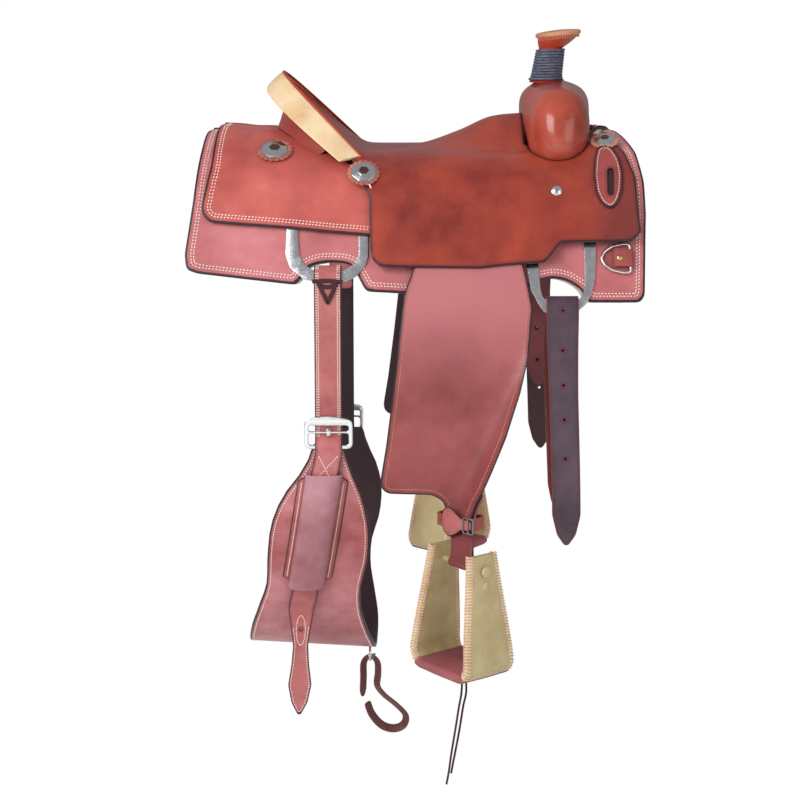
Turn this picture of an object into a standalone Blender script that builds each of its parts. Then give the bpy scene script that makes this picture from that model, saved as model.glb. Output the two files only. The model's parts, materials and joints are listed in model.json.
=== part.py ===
"""Roping saddle as an assembly of tree, leathers, rigging, stirrups and flank cinch."""
import math

import bmesh
import bpy
from mathutils import Matrix, Vector

# Frame: metres, +X towards the horn, +Z up, the off (right) side at -Y.
# The origin lies on the mid-plane where the saddle rests on a rack.

CLEAR = 0.0003

# The skirts hang in two planes that lean outwards by one in two.
LEAN = math.atan2(1.0, 2.0)
PLANE_Y = 0.175
TANGENT_W = 0.0391
CROWN_W = 0.175
SPINE_Z = 0.016
REAR_RISE = 0.054
REAR_RISE_FROM = -0.08
REAR_RISE_RUN = 0.26
FRONT_RISE = 0.044
FRONT_RISE_FROM = 0.195
FRONT_RISE_RUN = 0.10

# Leather thicknesses, and how far each layer stands off the skirt's face.
SKIRT_T = 0.005
FLEECE_T = 0.015
BAR_T = 0.0100
DEE_T = 0.004
JOCKEY_T = 0.004
STIRRUP_LEATHER_T = 0.007
FENDER_T = 0.005
SEAT_T = 0.005
STRAP_T = 0.004

SEAT_BASE = 0.0143
SEAT_TOP_LIFT = 0.004

# Cantle rim: an arch that leans back, and the roll bound in rawhide.
RIM_HALF = 0.170
RIM_TOP_X = -0.246
RIM_TOP_Z = 0.164
RIM_RUN_X = 0.120
RIM_DROP_Z = 0.140
ROLL_T = 0.009
FACE_REACH = 0.118

# Fork, horn and its wrap.
FORK_HALF = 0.162
FORK_TOP_Z = 0.146
COVER_T = 0.004
HORN_LEAN = math.radians(8.0)
NECK_R = 0.0195
NECK_FLARE = 0.0055
NECK_LEN = 0.057
HORN_BASE_X = 0.193
CAP_R = 0.037
CAP_TILT = math.radians(6.0)
WRAP_R = 0.00208
WRAP_TURNS = 11
WRAP_POINTS = 24

# Stirrup: tread turned about the vertical.
STIRRUP_TURN = math.radians(52.0)
STIRRUP_X = 0.047
STIRRUP_Y = 0.358
STIRRUP_TOP_Z = -0.572
STIRRUP_BOTTOM_Z = -0.757
STIRRUP_HALF_TOP = 0.046
STIRRUP_HALF_LOW = 0.066
PAD_T = 0.012
PAD_W_TOP = 0.054
PAD_W_LOW = 0.094
BOLT_R = 0.005
BOLT_DROP = 0.012

# Flank set.
BILLET_W = 0.043
CINCH_TOP_Z = -0.412
CINCH_LOW_Z = -0.82
CINCH_HALF_Y = 0.262
CINCH_T = 0.006
FAR_DROP = 0.088

LACE_D = 0.0034

# Lines along which every draped layer is bent, so that the layers stay parallel.
X_LINES = (-0.335, -0.290, -0.250, -0.210, -0.170, -0.125, -0.080, 0.195, 0.220, 0.245, 0.270, 0.295)
W_LINES = (-0.150, -0.125, -0.100, -0.075, -0.050, -0.028, -0.006, 0.016)

COLOURS = {
    "leather": (0.40, 0.08, 0.05, 1.0),
    "seat_leather": (0.50, 0.09, 0.04, 1.0),
    "fender_leather": (0.42, 0.11, 0.10, 1.0),
    "latigo": (0.08, 0.03, 0.035, 1.0),
    "rawhide": (0.68, 0.50, 0.25, 1.0),
    "fleece": (0.80, 0.74, 0.62, 1.0),
    "steel": (0.75, 0.76, 0.78, 1.0),
    "wood": (0.45, 0.30, 0.16, 1.0),
    "rubber": (0.03, 0.03, 0.045, 1.0),
}


def smooth(t):
    t = min(1.0, max(0.0, t))
    return t * t * (3.0 - 2.0 * t)


def lerp(a, b, t):
    return a + (b - a) * t


def table(points, t):
    """Read a smooth curve through (t, value...) rows at t."""
    if t <= points[0][0]:
        return points[0][1:]
    for low, high in zip(points, points[1:]):
        if t <= high[0]:
            k = smooth((t - low[0]) / (high[0] - low[0]))
            return tuple(lerp(a, b, k) for a, b in zip(low[1:], high[1:]))
    return points[-1][1:]


# Reference surface: the outer face of the skirts, the same on both sides.


def crown(x):
    """Height of the skirt's face at the spine."""
    rear = REAR_RISE * smooth((REAR_RISE_FROM - x) / REAR_RISE_RUN)
    front = FRONT_RISE * smooth((x - FRONT_RISE_FROM) / FRONT_RISE_RUN)
    return SPINE_Z + rear + front


def drape(side, x, w, off=0.0):
    """Point that lies off the skirt's face; w runs down the side."""
    slope = math.pi / 2 - LEAN
    if w >= TANGENT_W:
        y = PLANE_Y + w * math.sin(LEAN)
        z = -w * math.cos(LEAN)
        turn = slope
    else:
        top = crown(x)
        tangent = (top + TANGENT_W * math.cos(LEAN)) / math.cos(LEAN)
        flat = PLANE_Y - top * math.tan(LEAN) - tangent
        radius = tangent / math.tan(slope / 2)
        run = (w + CROWN_W) / (TANGENT_W + CROWN_W) * (flat + slope * radius)
        if run <= flat:
            y, z, turn = run, top, 0.0
        else:
            turn = (run - flat) / radius
            y = flat + radius * math.sin(turn)
            z = top - radius * (1.0 - math.cos(turn))
    y += off * math.sin(turn)
    z += off * math.cos(turn)
    return Vector((x, side * y, z))


def w_at(x, y_want):
    """The w whose drape point lies at |y|."""
    low, high = -CROWN_W, 0.25
    for _ in range(40):
        mid = (low + high) / 2
        if drape(1, x, mid).y < y_want:
            low = mid
        else:
            high = mid
    return (low + high) / 2


def bar_top(x, w):
    """Thickness of the bar over the skirt, thinner towards its edges."""
    ends = smooth((0.262 - abs(x + 0.0)) / 0.05)
    sides = smooth((0.012 - w) / 0.05)
    return CLEAR + lerp(0.004, BAR_T, ends * sides)


def jockey_off(x, w):
    """Height of the rear jockey's inner face: it clears the dee and the bar."""
    bar = bar_top(x, w) if x > -0.275 and w < 0.02 else 0.0
    near = smooth((x + 0.30) / 0.05) * smooth((0.045 - w) / 0.05)
    return max(DEE_T + 2 * CLEAR, lerp(DEE_T + 2 * CLEAR, BAR_T + 6 * CLEAR, near), bar + 5 * CLEAR)


def seat_centre(x):
    """Height of the seat's top along the spine."""
    rows = [(-0.17, 0.046), (-0.08, 0.041), (-0.02, 0.044), (0.05, 0.068), (0.10, 0.090), (0.16, 0.097)]
    return table(rows, x)[0]


def seat_off(x, w):
    """Height of the seat leather's inner face over the skirt."""
    return lerp(SEAT_BASE, SEAT_BASE + SEAT_TOP_LIFT, smooth((0.05 - w) / 0.05))


def rim(y):
    m = (abs(y) / RIM_HALF) ** 2
    return Vector((RIM_TOP_X + RIM_RUN_X * m, y, RIM_TOP_Z - RIM_DROP_Z * m))


def roll(y):
    """From the rim to the roll's lower, rear edge."""
    m = min(1.0, abs(y) / RIM_HALF)
    side = 1.0 if y >= 0 else -1.0
    back = -0.025 - 0.007 * math.sin(math.pi * m) - 0.003 * m
    return Vector((back, side * 0.014 * m, -0.023 + 0.017 * m * m))


def seat_point(side, x, w):
    """Outer face of the seat leather, with its dish and cantle face."""
    p = drape(side, x, w, seat_off(x, w) + SEAT_T)
    y = abs(p.y)
    if x < 0.162:
        half = lerp(0.105, 0.085, smooth((x + 0.05) / 0.15))
        spine = drape(side, x, -CROWN_W, seat_off(x, -CROWN_W) + SEAT_T).z
        lift = seat_centre(x) - spine
        p.z += lift * (1.0 - smooth(y / (half * 1.35)))
    if y < RIM_HALF:
        edge = rim(y)
        height = edge.z - 0.001 - p.z
        if height > 0:
            reach = FACE_REACH * (height / 0.12) ** 0.8 + 0.012
            gone = max(0.0, x - edge.x) / reach
            if gone < 1.0:
                p.z += height * (1.0 - gone) ** 1.6
    return p


def normal_of(place, x, w, flip):
    h = 0.0008
    a = place(x + h, w) - place(x - h, w)
    b = place(x, w + h) - place(x, w - h)
    n = a.cross(b)
    if n.length < 1e-12:
        return Vector((0, 0, 1))
    return n.normalized() * flip


def material(name):
    mat = bpy.data.materials.get(name)
    if mat is None:
        mat = bpy.data.materials.new(name)
        mat.use_nodes = True
        shader = mat.node_tree.nodes["Principled BSDF"]
        shader.inputs["Base Color"].default_value = COLOURS[name.split("__")[0]]
        shader.inputs["Roughness"].default_value = 0.25 if name.startswith("steel") else 0.55
        shader.inputs["Metallic"].default_value = 1.0 if name.startswith("steel") else 0.0
    return mat


def finish(bm, name, finish_name, origin=None, soft=False):
    """Turn a bmesh into a named object with outward faces."""
    bmesh.ops.remove_doubles(bm, verts=bm.verts, dist=1e-6)
    bmesh.ops.dissolve_degenerate(bm, edges=bm.edges, dist=1e-7)
    bmesh.ops.triangulate(bm, faces=[f for f in bm.faces if len(f.verts) > 4])
    bmesh.ops.recalc_face_normals(bm, faces=bm.faces)
    if bm.calc_volume(signed=True) < 0:
        bmesh.ops.reverse_faces(bm, faces=bm.faces)
    if origin is not None:
        bmesh.ops.translate(bm, verts=bm.verts, vec=-Vector(origin))
    mesh = bpy.data.meshes.new(name)
    bm.to_mesh(mesh)
    bm.free()
    if soft:
        for poly in mesh.polygons:
            poly.use_smooth = True
        mesh.set_sharp_from_angle(angle=math.radians(35.0))
    obj = bpy.data.objects.new(name, mesh)
    bpy.context.scene.collection.objects.link(obj)
    if origin is not None:
        obj.location = Vector(origin)
    mesh.materials.append(material(finish_name + "__" + name))
    return obj


def rounded(points, radius, steps=3):
    """Round the corners of a closed outline with arcs."""
    out = []
    count = len(points)
    for i, here in enumerate(points):
        a = Vector(points[i - 1]) - Vector(here)
        b = Vector(points[(i + 1) % count]) - Vector(here)
        if a.length < 1e-9 or b.length < 1e-9:
            continue
        ua, ub = a.normalized(), b.normalized()
        angle = ua.angle(ub)
        if angle > math.radians(165.0):
            out.append(tuple(here))
            continue
        cut = min(radius / math.tan(angle / 2), a.length * 0.45, b.length * 0.45)
        p, q = Vector(here) + ua * cut, Vector(here) + ub * cut
        for k in range(steps + 1):
            t = k / steps
            bend = p.lerp(Vector(here), t).lerp(Vector(here).lerp(q, t), t)
            out.append((bend.x, bend.y))
    return out


def flat_region(outline, holes=(), cut_x=(), cut_w=(), flat_from=None):
    """Fill an outline in the flat and cut it along lines; the plane part needs no x lines."""
    bm = bmesh.new()
    if holes:
        edges = []
        for loop in (outline,) + tuple(holes):
            verts = [bm.verts.new((x, w, 0.0)) for x, w in loop]
            for i, v in enumerate(verts):
                edges.append(bm.edges.new((v, verts[(i + 1) % len(verts)])))
        bmesh.ops.triangle_fill(bm, use_beauty=True, use_dissolve=False, edges=edges)
    else:
        bm.faces.new([bm.verts.new((x, w, 0.0)) for x, w in outline])
    for axis, cuts in ((1, cut_w), (0, cut_x)):
        for value in cuts:
            co = [0.0, 0.0, 0.0]
            co[axis] = value
            no = [0.0, 0.0, 0.0]
            no[axis] = 1.0
            faces = bm.faces[:]
            if axis == 0 and flat_from is not None:
                faces = [f for f in faces if flat_from(f.calc_center_median())]
            edges = list({e for f in faces for e in f.edges})
            verts = list({v for f in faces for v in f.verts})
            bmesh.ops.bisect_plane(bm, geom=verts + edges + faces, dist=1e-6, plane_co=co, plane_no=no)
    bmesh.ops.remove_doubles(bm, verts=bm.verts, dist=2e-5)
    return bm


def split_cells(bm):
    """Cut every four-sided cell along the same diagonal, and fill the rest."""
    for face in [f for f in bm.faces if len(f.verts) == 4]:
        low = min(face.verts, key=lambda v: v.co.x * 0.731 + v.co.y)
        verts = list(face.verts)
        i = verts.index(low)
        bmesh.utils.face_split(face, verts[i], verts[(i + 2) % 4])
    bmesh.ops.triangulate(bm, faces=[f for f in bm.faces if len(f.verts) > 3])


def slab(bm, outer, inner):
    """Give a flat region two faces and a wall all round."""
    split_cells(bm)
    flat_verts = list(bm.verts)
    flat_faces = [[v for v in f.verts] for f in bm.faces]
    rims = [tuple(e.verts) for e in bm.edges if len(e.link_faces) == 1]
    out = bmesh.new()
    top = {v: out.verts.new(outer(v.co.x, v.co.y)) for v in flat_verts}
    low = {v: out.verts.new(inner(v.co.x, v.co.y)) for v in flat_verts}
    for verts in flat_faces:
        out.faces.new([top[v] for v in verts])
        out.faces.new([low[v] for v in reversed(verts)])
    for a, b in rims:
        out.faces.new([top[a], top[b], low[b], low[a]])
    bm.free()
    return out


def draped(name, finish_name, side, outline, outer, inner, holes=(), cut_x=(), cut_w=(), soft=True):
    """A sheet that follows the skirt's face between two offsets."""
    bm = flat_region(outline, holes, cut_x, cut_w, lambda c: c.y < TANGENT_W)
    body = slab(
        bm,
        lambda x, w: drape(side, x, w, outer(x, w)),
        lambda x, w: drape(side, x, w, inner(x, w)),
    )
    return finish(body, name, finish_name, soft=soft)


def const(value):
    return lambda x, w: value


def loft(rings, closed=False):
    """Skin rings of equal length; the ends are capped unless the run closes."""
    bm = bmesh.new()
    rows = [[bm.verts.new(p) for p in ring] for ring in rings]
    pairs = list(zip(rows, rows[1:]))
    if closed:
        pairs.append((rows[-1], rows[0]))
    count = len(rows[0])
    for a, b in pairs:
        for i in range(count):
            j = (i + 1) % count
            bm.faces.new([a[i], a[j], b[j], b[i]])
    if not closed:
        bm.faces.new(list(reversed(rows[0])))
        bm.faces.new(rows[-1])
    return bm


def revolve(profile, centre, axis, count=20):
    """Turn (radius, height) pairs about an axis; radius 0 closes a pole."""
    axis = Vector(axis).normalized()
    side = axis.orthogonal().normalized()
    other = axis.cross(side)
    bm = bmesh.new()
    rings = []
    for radius, height in profile:
        mid = Vector(centre) + axis * height
        if radius <= 0.0:
            rings.append([bm.verts.new(mid)])
            continue
        ring = []
        for i in range(count):
            a = 2 * math.pi * i / count
            ring.append(bm.verts.new(mid + (side * math.cos(a) + other * math.sin(a)) * radius))
        rings.append(ring)
    for a, b in zip(rings, rings[1:]):
        for i in range(count):
            j = (i + 1) % count
            if len(a) == 1:
                bm.faces.new([a[0], b[j], b[i]])
            elif len(b) == 1:
                bm.faces.new([a[i], a[j], b[0]])
            else:
                bm.faces.new([a[i], a[j], b[j], b[i]])
    return bm


def swept(path, shape, up, closed):
    """Carry a flat section (across, along up) along a path."""
    rings = []
    count = len(path)
    for i, p in enumerate(path):
        before = path[i - 1] if closed or i else path[i]
        after = path[(i + 1) % count] if closed or i < count - 1 else path[i]
        run = (Vector(after) - Vector(before)).normalized()
        across = run.cross(Vector(up)).normalized()
        lift = across.cross(run).normalized()
        rings.append([Vector(p) + across * a + lift * b for a, b in shape])
    return loft(rings, closed)


def circle(radius, count):
    turns = [2 * math.pi * i / count for i in range(count)]
    return [(radius * math.cos(a), radius * math.sin(a)) for a in turns]


def spline(points, per):
    """Catmull-Rom curve through route points, ends held."""
    pts = [Vector(p) for p in points]
    out = []
    for i in range(len(pts) - 1):
        a = pts[max(0, i - 1)]
        b, c = pts[i], pts[i + 1]
        d = pts[min(len(pts) - 1, i + 2)]
        for k in range(per):
            t = k / per
            out.append(
                0.5 * ((2 * b) + (c - a) * t + (2 * a - 5 * b + 4 * c - d) * t * t
                       + (3 * b - a - 3 * c + d) * t * t * t)
            )
    out.append(pts[-1])
    return out


def strap(name, finish_name, rows, thickness):
    """A strip through rows of (rear x, front x, y, z), thick along its normal."""
    path = [Vector((0.0, r[2], r[3])) for r in rows]
    rings = []
    for i, row in enumerate(rows):
        before = path[max(0, i - 1)]
        after = path[min(len(path) - 1, i + 1)]
        run = (after - before).normalized()
        n = run.cross(Vector((1, 0, 0))).normalized() * (thickness / 2)
        rear = Vector((row[0], 0, 0)) + path[i]
        front = Vector((row[1], 0, 0)) + path[i]
        rings.append([rear - n, front - n, front + n, rear + n])
    return finish(loft(rings), name, finish_name, soft=True)


# Outlines: (x, w) pairs read off the side view, for one side.
SKIRT = [
    (-0.3545, -0.174), (-0.3678, -0.132), (-0.3711, -0.064), (-0.3793, 0.036), (-0.3901, 0.127),
    (-0.3870, 0.152), (-0.3695, 0.1585), (-0.3017, 0.1668), (-0.2118, 0.1775), (-0.2057, 0.164),
    (-0.1935, 0.147), (-0.1780, 0.1415), (-0.1619, 0.1400), (-0.1440, 0.1405), (-0.1270, 0.1440),
    (-0.1177, 0.1600), (-0.1034, 0.1883), (-0.0422, 0.1916), (0.0441, 0.1982), (0.1068, 0.2015),
    (0.1574, 0.1790), (0.1748, 0.1690), (0.1937, 0.1660), (0.2140, 0.1710), (0.2342, 0.1850),
    (0.2447, 0.2064), (0.3277, 0.2064), (0.3344, 0.1949), (0.3406, 0.0596), (0.3378, 0.0115),
    (0.3290, -0.0411), (0.3038, -0.110), (0.2900, -0.128), (0.1500, -0.135), (-0.1500, -0.135),
    (-0.2400, -0.140), (-0.2700, -0.174),
]
REAR_JOCKEY = [
    (-0.3400, -0.174), (-0.3480, -0.135), (-0.3524, -0.018), (-0.3652, 0.051), (-0.3616, 0.0665),
    (-0.3487, 0.0766), (-0.2870, 0.0817), (-0.2221, 0.0867), (-0.1605, 0.0934), (-0.0720, 0.1010),
    (-0.0720, 0.020), (-0.110, -0.010), (-0.135, -0.030), (-0.165, -0.062), (-0.190, -0.085),
    (-0.215, -0.115), (-0.232, -0.150), (-0.234, -0.174),
]
REAR_DEE = [
    (-0.2275, 0.040), (-0.2305, 0.128), (-0.2230, 0.1517), (-0.2023, 0.1690), (-0.1880, 0.1730),
    (-0.1370, 0.1735), (-0.1191, 0.1655), (-0.1034, 0.1450), (-0.1004, 0.1317), (-0.1006, 0.0999),
    (-0.1015, 0.040),
]
REAR_DEE_HOLE = [
    (-0.2135, 0.056), (-0.2095, 0.1284), (-0.2011, 0.1450), (-0.1884, 0.1550), (-0.1365, 0.1560),
    (-0.1208, 0.1430), (-0.1150, 0.1284), (-0.1155, 0.056),
]
FRONT_DEE = [
    (0.1500, 0.070), (0.1498, 0.1467), (0.1546, 0.1848), (0.1660, 0.2090), (0.1750, 0.2240),
    (0.2000, 0.2276), (0.2282, 0.2225), (0.2426, 0.2100), (0.2509, 0.1914), (0.2562, 0.1682),
    (0.2593, 0.1133), (0.2600, 0.070),
]
FRONT_DEE_HOLE = [
    (0.1670, 0.088), (0.1680, 0.1467), (0.1700, 0.1850), (0.1740, 0.2045), (0.2310, 0.2045),
    (0.2380, 0.1920), (0.2405, 0.1765), (0.2410, 0.1300), (0.2410, 0.088),
]
SEAT = [
    (-0.1071, -0.002), (-0.1071, 0.0187), (-0.0990, 0.0414), (-0.0971, 0.1268), (-0.0939, 0.1417),
    (-0.0813, 0.1533), (-0.0500, 0.1549), (0.0752, 0.1566), (0.1175, 0.1516), (0.1771, 0.1467),
    (0.1883, 0.1334), (0.2029, 0.1135), (0.3145, 0.1118), (0.3323, 0.0968), (0.3301, 0.0666),
    (0.3310, 0.0100), (0.3215, -0.0314), (0.2970, -0.0753), (0.2726, -0.0902), (0.2670, -0.0950),
    (0.2660, -0.0370), (0.1560, -0.0340), (0.1530, -0.0900),
]
KEEPER = [
    (0.2606, -0.0302), (0.2563, 0.0115), (0.2691, 0.0498), (0.2846, 0.0599), (0.3011, 0.0366),
    (0.3027, 0.0052), (0.2925, -0.0294), (0.2774, -0.0396),
]
KEEPER_SLOT = [(0.2800, 0.0005), (0.2870, 0.0005), (0.2862, 0.0354), (0.2795, 0.0354)]
CONCHO_SPOTS = {"rear": (-0.2512, -0.0429), "cantle": (-0.1075, 0.0040), "front": (0.2790, -0.0586)}
SCREW_SPOT = (0.1978, 0.0300)
CONCHO_LIFT = 0.0004


def build_tree():
    for side, tag in ((-1, "right"), (1, "left")):
        inner_w = w_at(0.0, 0.045)
        outline = rounded(
            [(-0.262, inner_w), (-0.262, 0.000), (-0.15, 0.008), (0.15, 0.008), (0.262, -0.010),
             (0.262, inner_w)],
            0.03, 4,
        )
        draped("tree_bar_" + tag, "wood", side, outline, bar_top, const(2 * CLEAR),
               cut_x=X_LINES, cut_w=W_LINES)

    def floor(x, y):
        w = w_at(x, min(y, 0.16))
        if y < 0.052:
            arch = math.sqrt(max(0.0, 1.0 - (y / 0.056) ** 2))
            return lerp(drape(1, x, w_at(x, 0.056), bar_top(x, -0.1)).z + CLEAR, 0.092, arch)
        return drape(1, x, w, bar_top(x, w) + 2 * CLEAR).z

    rows = [
        (0.0, 0.165, 0.268, 0.072, FORK_TOP_Z), (0.05, 0.162, 0.267, 0.066, 0.1435),
        (0.09, 0.157, 0.264, 0.050, 0.138), (0.125, 0.154, 0.258, 0.030, 0.128),
        (0.145, 0.158, 0.250, 0.0300, 0.112), (0.157, 0.178, 0.232, 0.052, 0.092),
        (FORK_HALF, 0.198, 0.212, 0.066, 0.076),
    ]
    stations = [0.0, 0.028, 0.050, 0.058, 0.085, 0.110, 0.130, 0.145, 0.155, 0.160, FORK_HALF]
    last = 16

    def swell_floor(x, y):
        low, high = -0.12, 0.10
        for _ in range(24):
            mid = (low + high) / 2
            if seat_point(1, x, mid).y < y:
                low = mid
            else:
                high = mid
        return seat_point(1, x, low).z + 0.0010

    def section(y, inset, clear, start):
        angles = [math.radians(lerp(start, 180.0 - start, i / last)) for i in range(last + 1)]
        x0, x1, z0, z1 = table(rows, abs(y))
        a = max(0.001, (x1 - x0) / 2 - inset)
        h = max(0.001, (z1 - z0) / 2 - inset)
        cx, cz = (x0 + x1) / 2, (z0 + z1) / 2
        ring = []
        for t in angles:
            c, s = math.cos(t), math.sin(t)
            x = cx + a * math.copysign(abs(c) ** 0.65, c)
            z = cz + h * math.copysign(abs(s) ** 0.65, s)
            if abs(y) < 0.122:
                z = max(z, floor(x, abs(y)) + clear)
            else:
                z = max(z, swell_floor(x, min(abs(y), 0.16)) + inset)
            ring.append(Vector((x, y, z)))
        return ring

    ys = [-s for s in reversed(stations[1:])] + stations
    half_wood = [0.0, 0.028, 0.050, 0.058, 0.078, 0.098]
    wood = [-y for y in reversed(half_wood[1:])] + half_wood
    lift = {0.0: 0.0050, 0.028: 0.0050}
    sections = [section(y, COVER_T + 0.0036, lift.get(abs(y), 0.0003), -84.0) for y in wood]
    finish(loft(sections), "tree_fork", "wood", soft=True)

    def cover_ring(y):
        start = lerp(-40.0, -84.0, smooth((abs(y) - 0.105) / 0.025))
        outer = section(y, 0.0, 0.0020, start)
        inner = section(y * 0.974, COVER_T, 0.0034, start)
        return outer, inner

    bm = bmesh.new()
    outer_rows = []
    inner_rows = []
    for y in ys:
        outer, inner = cover_ring(y)
        outer_rows.append([bm.verts.new(p) for p in outer])
        inner_rows.append([bm.verts.new(p) for p in inner])
    for k in range(len(ys) - 1):
        for i in range(last):
            a, b = outer_rows[k], outer_rows[k + 1]
            bm.faces.new([a[i], a[i + 1], b[i + 1], b[i]])
            a, b = inner_rows[k], inner_rows[k + 1]
            bm.faces.new([a[i + 1], a[i], b[i], b[i + 1]])
        for i in (0, last):
            bm.faces.new([outer_rows[k][i], inner_rows[k][i], inner_rows[k + 1][i], outer_rows[k + 1][i]])
    for k in (0, len(ys) - 1):
        bm.faces.new(outer_rows[k])
        bm.faces.new(inner_rows[k])
        bm.faces.new([outer_rows[k][0], outer_rows[k][last], inner_rows[k][last], inner_rows[k][0]])
    finish(bm, "fork_cover", "seat_leather", soft=True)


def wall_x(y, z):
    """Back of the cantle, leaning back towards the top."""
    edge = rim(y)
    return edge.x + 0.0045 - 0.22 * (z - edge.z + 0.023)


def build_cantle():
    ys = [RIM_HALF * 0.985 * math.sin(math.radians(a)) for a in range(-80, 81, 8)]
    rings = []
    for y in ys:
        h = 0.0005
        run = (rim(y + h) - rim(y - h)).normalized()
        r = roll(y)
        down = run.cross(r).normalized()
        if down.z > 0:
            down = -down
        f = rim(y)
        ring = []
        thick = ROLL_T * (1.0 - 0.45 * (abs(y) / RIM_HALF) ** 4)
        across = [0.25, 0.34, 0.5, 0.90, 1.0]
        over = [0.06, 0.0, -0.10, 0.08, 0.40]
        for t, d in zip(across, over):
            ring.append(f + r * t + down * (thick * d))
        for t, d in zip(reversed(across), (0.70, 0.96, 0.92, 0.45, 0.16)):
            ring.append(f + r * t + down * (thick * d))
        rings.append(ring)
    finish(loft(rings), "cantle_binding", "rawhide", soft=True)

    def top_z(y):
        return rim(y).z + roll(y).z * 0.40 - ROLL_T - 0.0045

    def low_z(y, x):
        w = w_at(x, min(abs(y), 0.17))
        return drape(1, x, w, jockey_off(x, w) + JOCKEY_T + 0.0032).z

    ys = [0.141 * math.sin(math.radians(a)) for a in range(-90, 91, 10)]
    bm = bmesh.new()
    grid = []
    for y in ys:
        z1 = top_z(y)
        z0 = low_z(y, wall_x(y, 0.07))
        z0 = low_z(y, wall_x(y, z0))
        column = []
        for k in range(5):
            z = lerp(z0 + 0.0004, z1, k / 4)
            slope = 2 * RIM_RUN_X * y / RIM_HALF ** 2
            n = Vector((-1.0, slope, 0.0)).normalized()
            p = Vector((wall_x(y, z), y, z))
            column.append((p, p - n * 0.003))
        grid.append(column)
    verts = [[(bm.verts.new(a), bm.verts.new(b)) for a, b in column] for column in grid]
    for i in range(len(verts) - 1):
        for k in range(4):
            a, b, c, d = verts[i][k], verts[i + 1][k], verts[i + 1][k + 1], verts[i][k + 1]
            bm.faces.new([a[0], b[0], c[0], d[0]])
            bm.faces.new([d[1], c[1], b[1], a[1]])
        for k in (0, 4):
            a, b = verts[i][k], verts[i + 1][k]
            bm.faces.new([a[0], a[1], b[1], b[0]])
    for i in (0, len(verts) - 1):
        for k in range(4):
            a, b = verts[i][k], verts[i][k + 1]
            bm.faces.new([a[0], b[0], b[1], a[1]])
    finish(bm, "cantle_back", "leather", soft=True)

    rings = []
    for y in [0.128 * math.sin(math.radians(a)) for a in range(-90, 91, 12)]:
        slope = 2 * RIM_RUN_X * y / RIM_HALF ** 2
        gap = 0.0036 * math.sqrt(1 + slope * slope)
        z1 = top_z(y) - 0.012
        x_low = wall_x(y, 0.07)
        w = w_at(x_low, abs(y))
        z0 = drape(1, x_low, w, jockey_off(x_low, w) + JOCKEY_T).z + 0.0040
        back = [Vector((wall_x(y, z) + gap, y, z)) for z in (lerp(z0, z1, t) for t in (0.0, 0.5, 1.0))]
        front = [p + Vector((t, 0, 0)) for p, t in zip(reversed(back), (0.004, 0.010, 0.014))]
        rings.append(back + front)
    finish(loft(rings), "tree_cantle", "wood", soft=True)


def seat_outline():
    """Both sides' jockeys, the dish and the cantle face as one closed outline."""
    right = list(SEAT)
    rear = []
    for y in (0.166, 0.155, 0.142, 0.128, 0.112, 0.096, 0.078, 0.060, 0.040, 0.020):
        p = rim(y)
        x = p.x + 0.0012
        rear.append((x, w_at(x, y)))
    half = rear[::-1] + right
    return half


def build_seat():
    half = seat_outline()

    def mirror_x(pts):
        return [(x, -2 * CROWN_W - w) for x, w in reversed(pts)]
    centre_rear = [(RIM_TOP_X + 0.0012, -CROWN_W)]
    centre_front = [(0.1530, -CROWN_W)]
    outline = centre_rear + half + centre_front + mirror_x(half)

    def place(x, w):
        if w < -CROWN_W:
            return seat_point(-1, x, -2 * CROWN_W - w)
        return seat_point(1, x, w)

    cut_x = [-0.236, -0.226, -0.212, -0.194, -0.172, -0.146, -0.115, -0.075, -0.03, 0.02, 0.065, 0.11, 0.165,
             0.195,
             0.220, 0.245, 0.270, 0.295]
    ws = [-0.145, -0.115, -0.085, -0.060, -0.036, -0.014, 0.008, 0.028, 0.05]
    cut_w = sorted(ws + [-2 * CROWN_W - w for w in ws] + [-CROWN_W])

    def layer(top, bottom):
        def outer(x, w):
            return place(x, w) + normal_of(place, x, w, 1.0) * top

        def inner(x, w):
            return place(x, w) + normal_of(place, x, w, 1.0) * bottom
        return outer, inner

    def above(c):
        return -2 * CROWN_W - 0.05 < c.y < 0.05

    bm = flat_region(outline, (), cut_x, cut_w, above)
    outer, inner = layer(0.0, -SEAT_T)
    finish(slab(bm, outer, inner), "seat", "seat_leather", soft=True)

    base = [(-0.165, -0.150), (-0.150, -0.090), (-0.120, -0.066), (0.0, -0.060), (0.10, -0.060),
            (0.140, -0.075),
            (0.146, -0.12)]
    outline = [(-0.165, -CROWN_W)] + base + [(0.146, -CROWN_W)] + mirror_x(base)
    bm = flat_region(outline, (), cut_x, cut_w)
    outer, inner = layer(-SEAT_T - 0.0013, -SEAT_T - 0.0043)
    finish(slab(bm, outer, inner), "ground_seat", "leather", soft=True)


def horn_axis():
    return Vector((math.sin(HORN_LEAN), 0.0, math.cos(HORN_LEAN)))


def neck_radius(t):
    """Radius of the bare neck along its length, flaring at the foot."""
    return NECK_R + 0.003 * (1 - t) + NECK_FLARE * max(0.0, 1 - t / 0.25) ** 2


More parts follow.
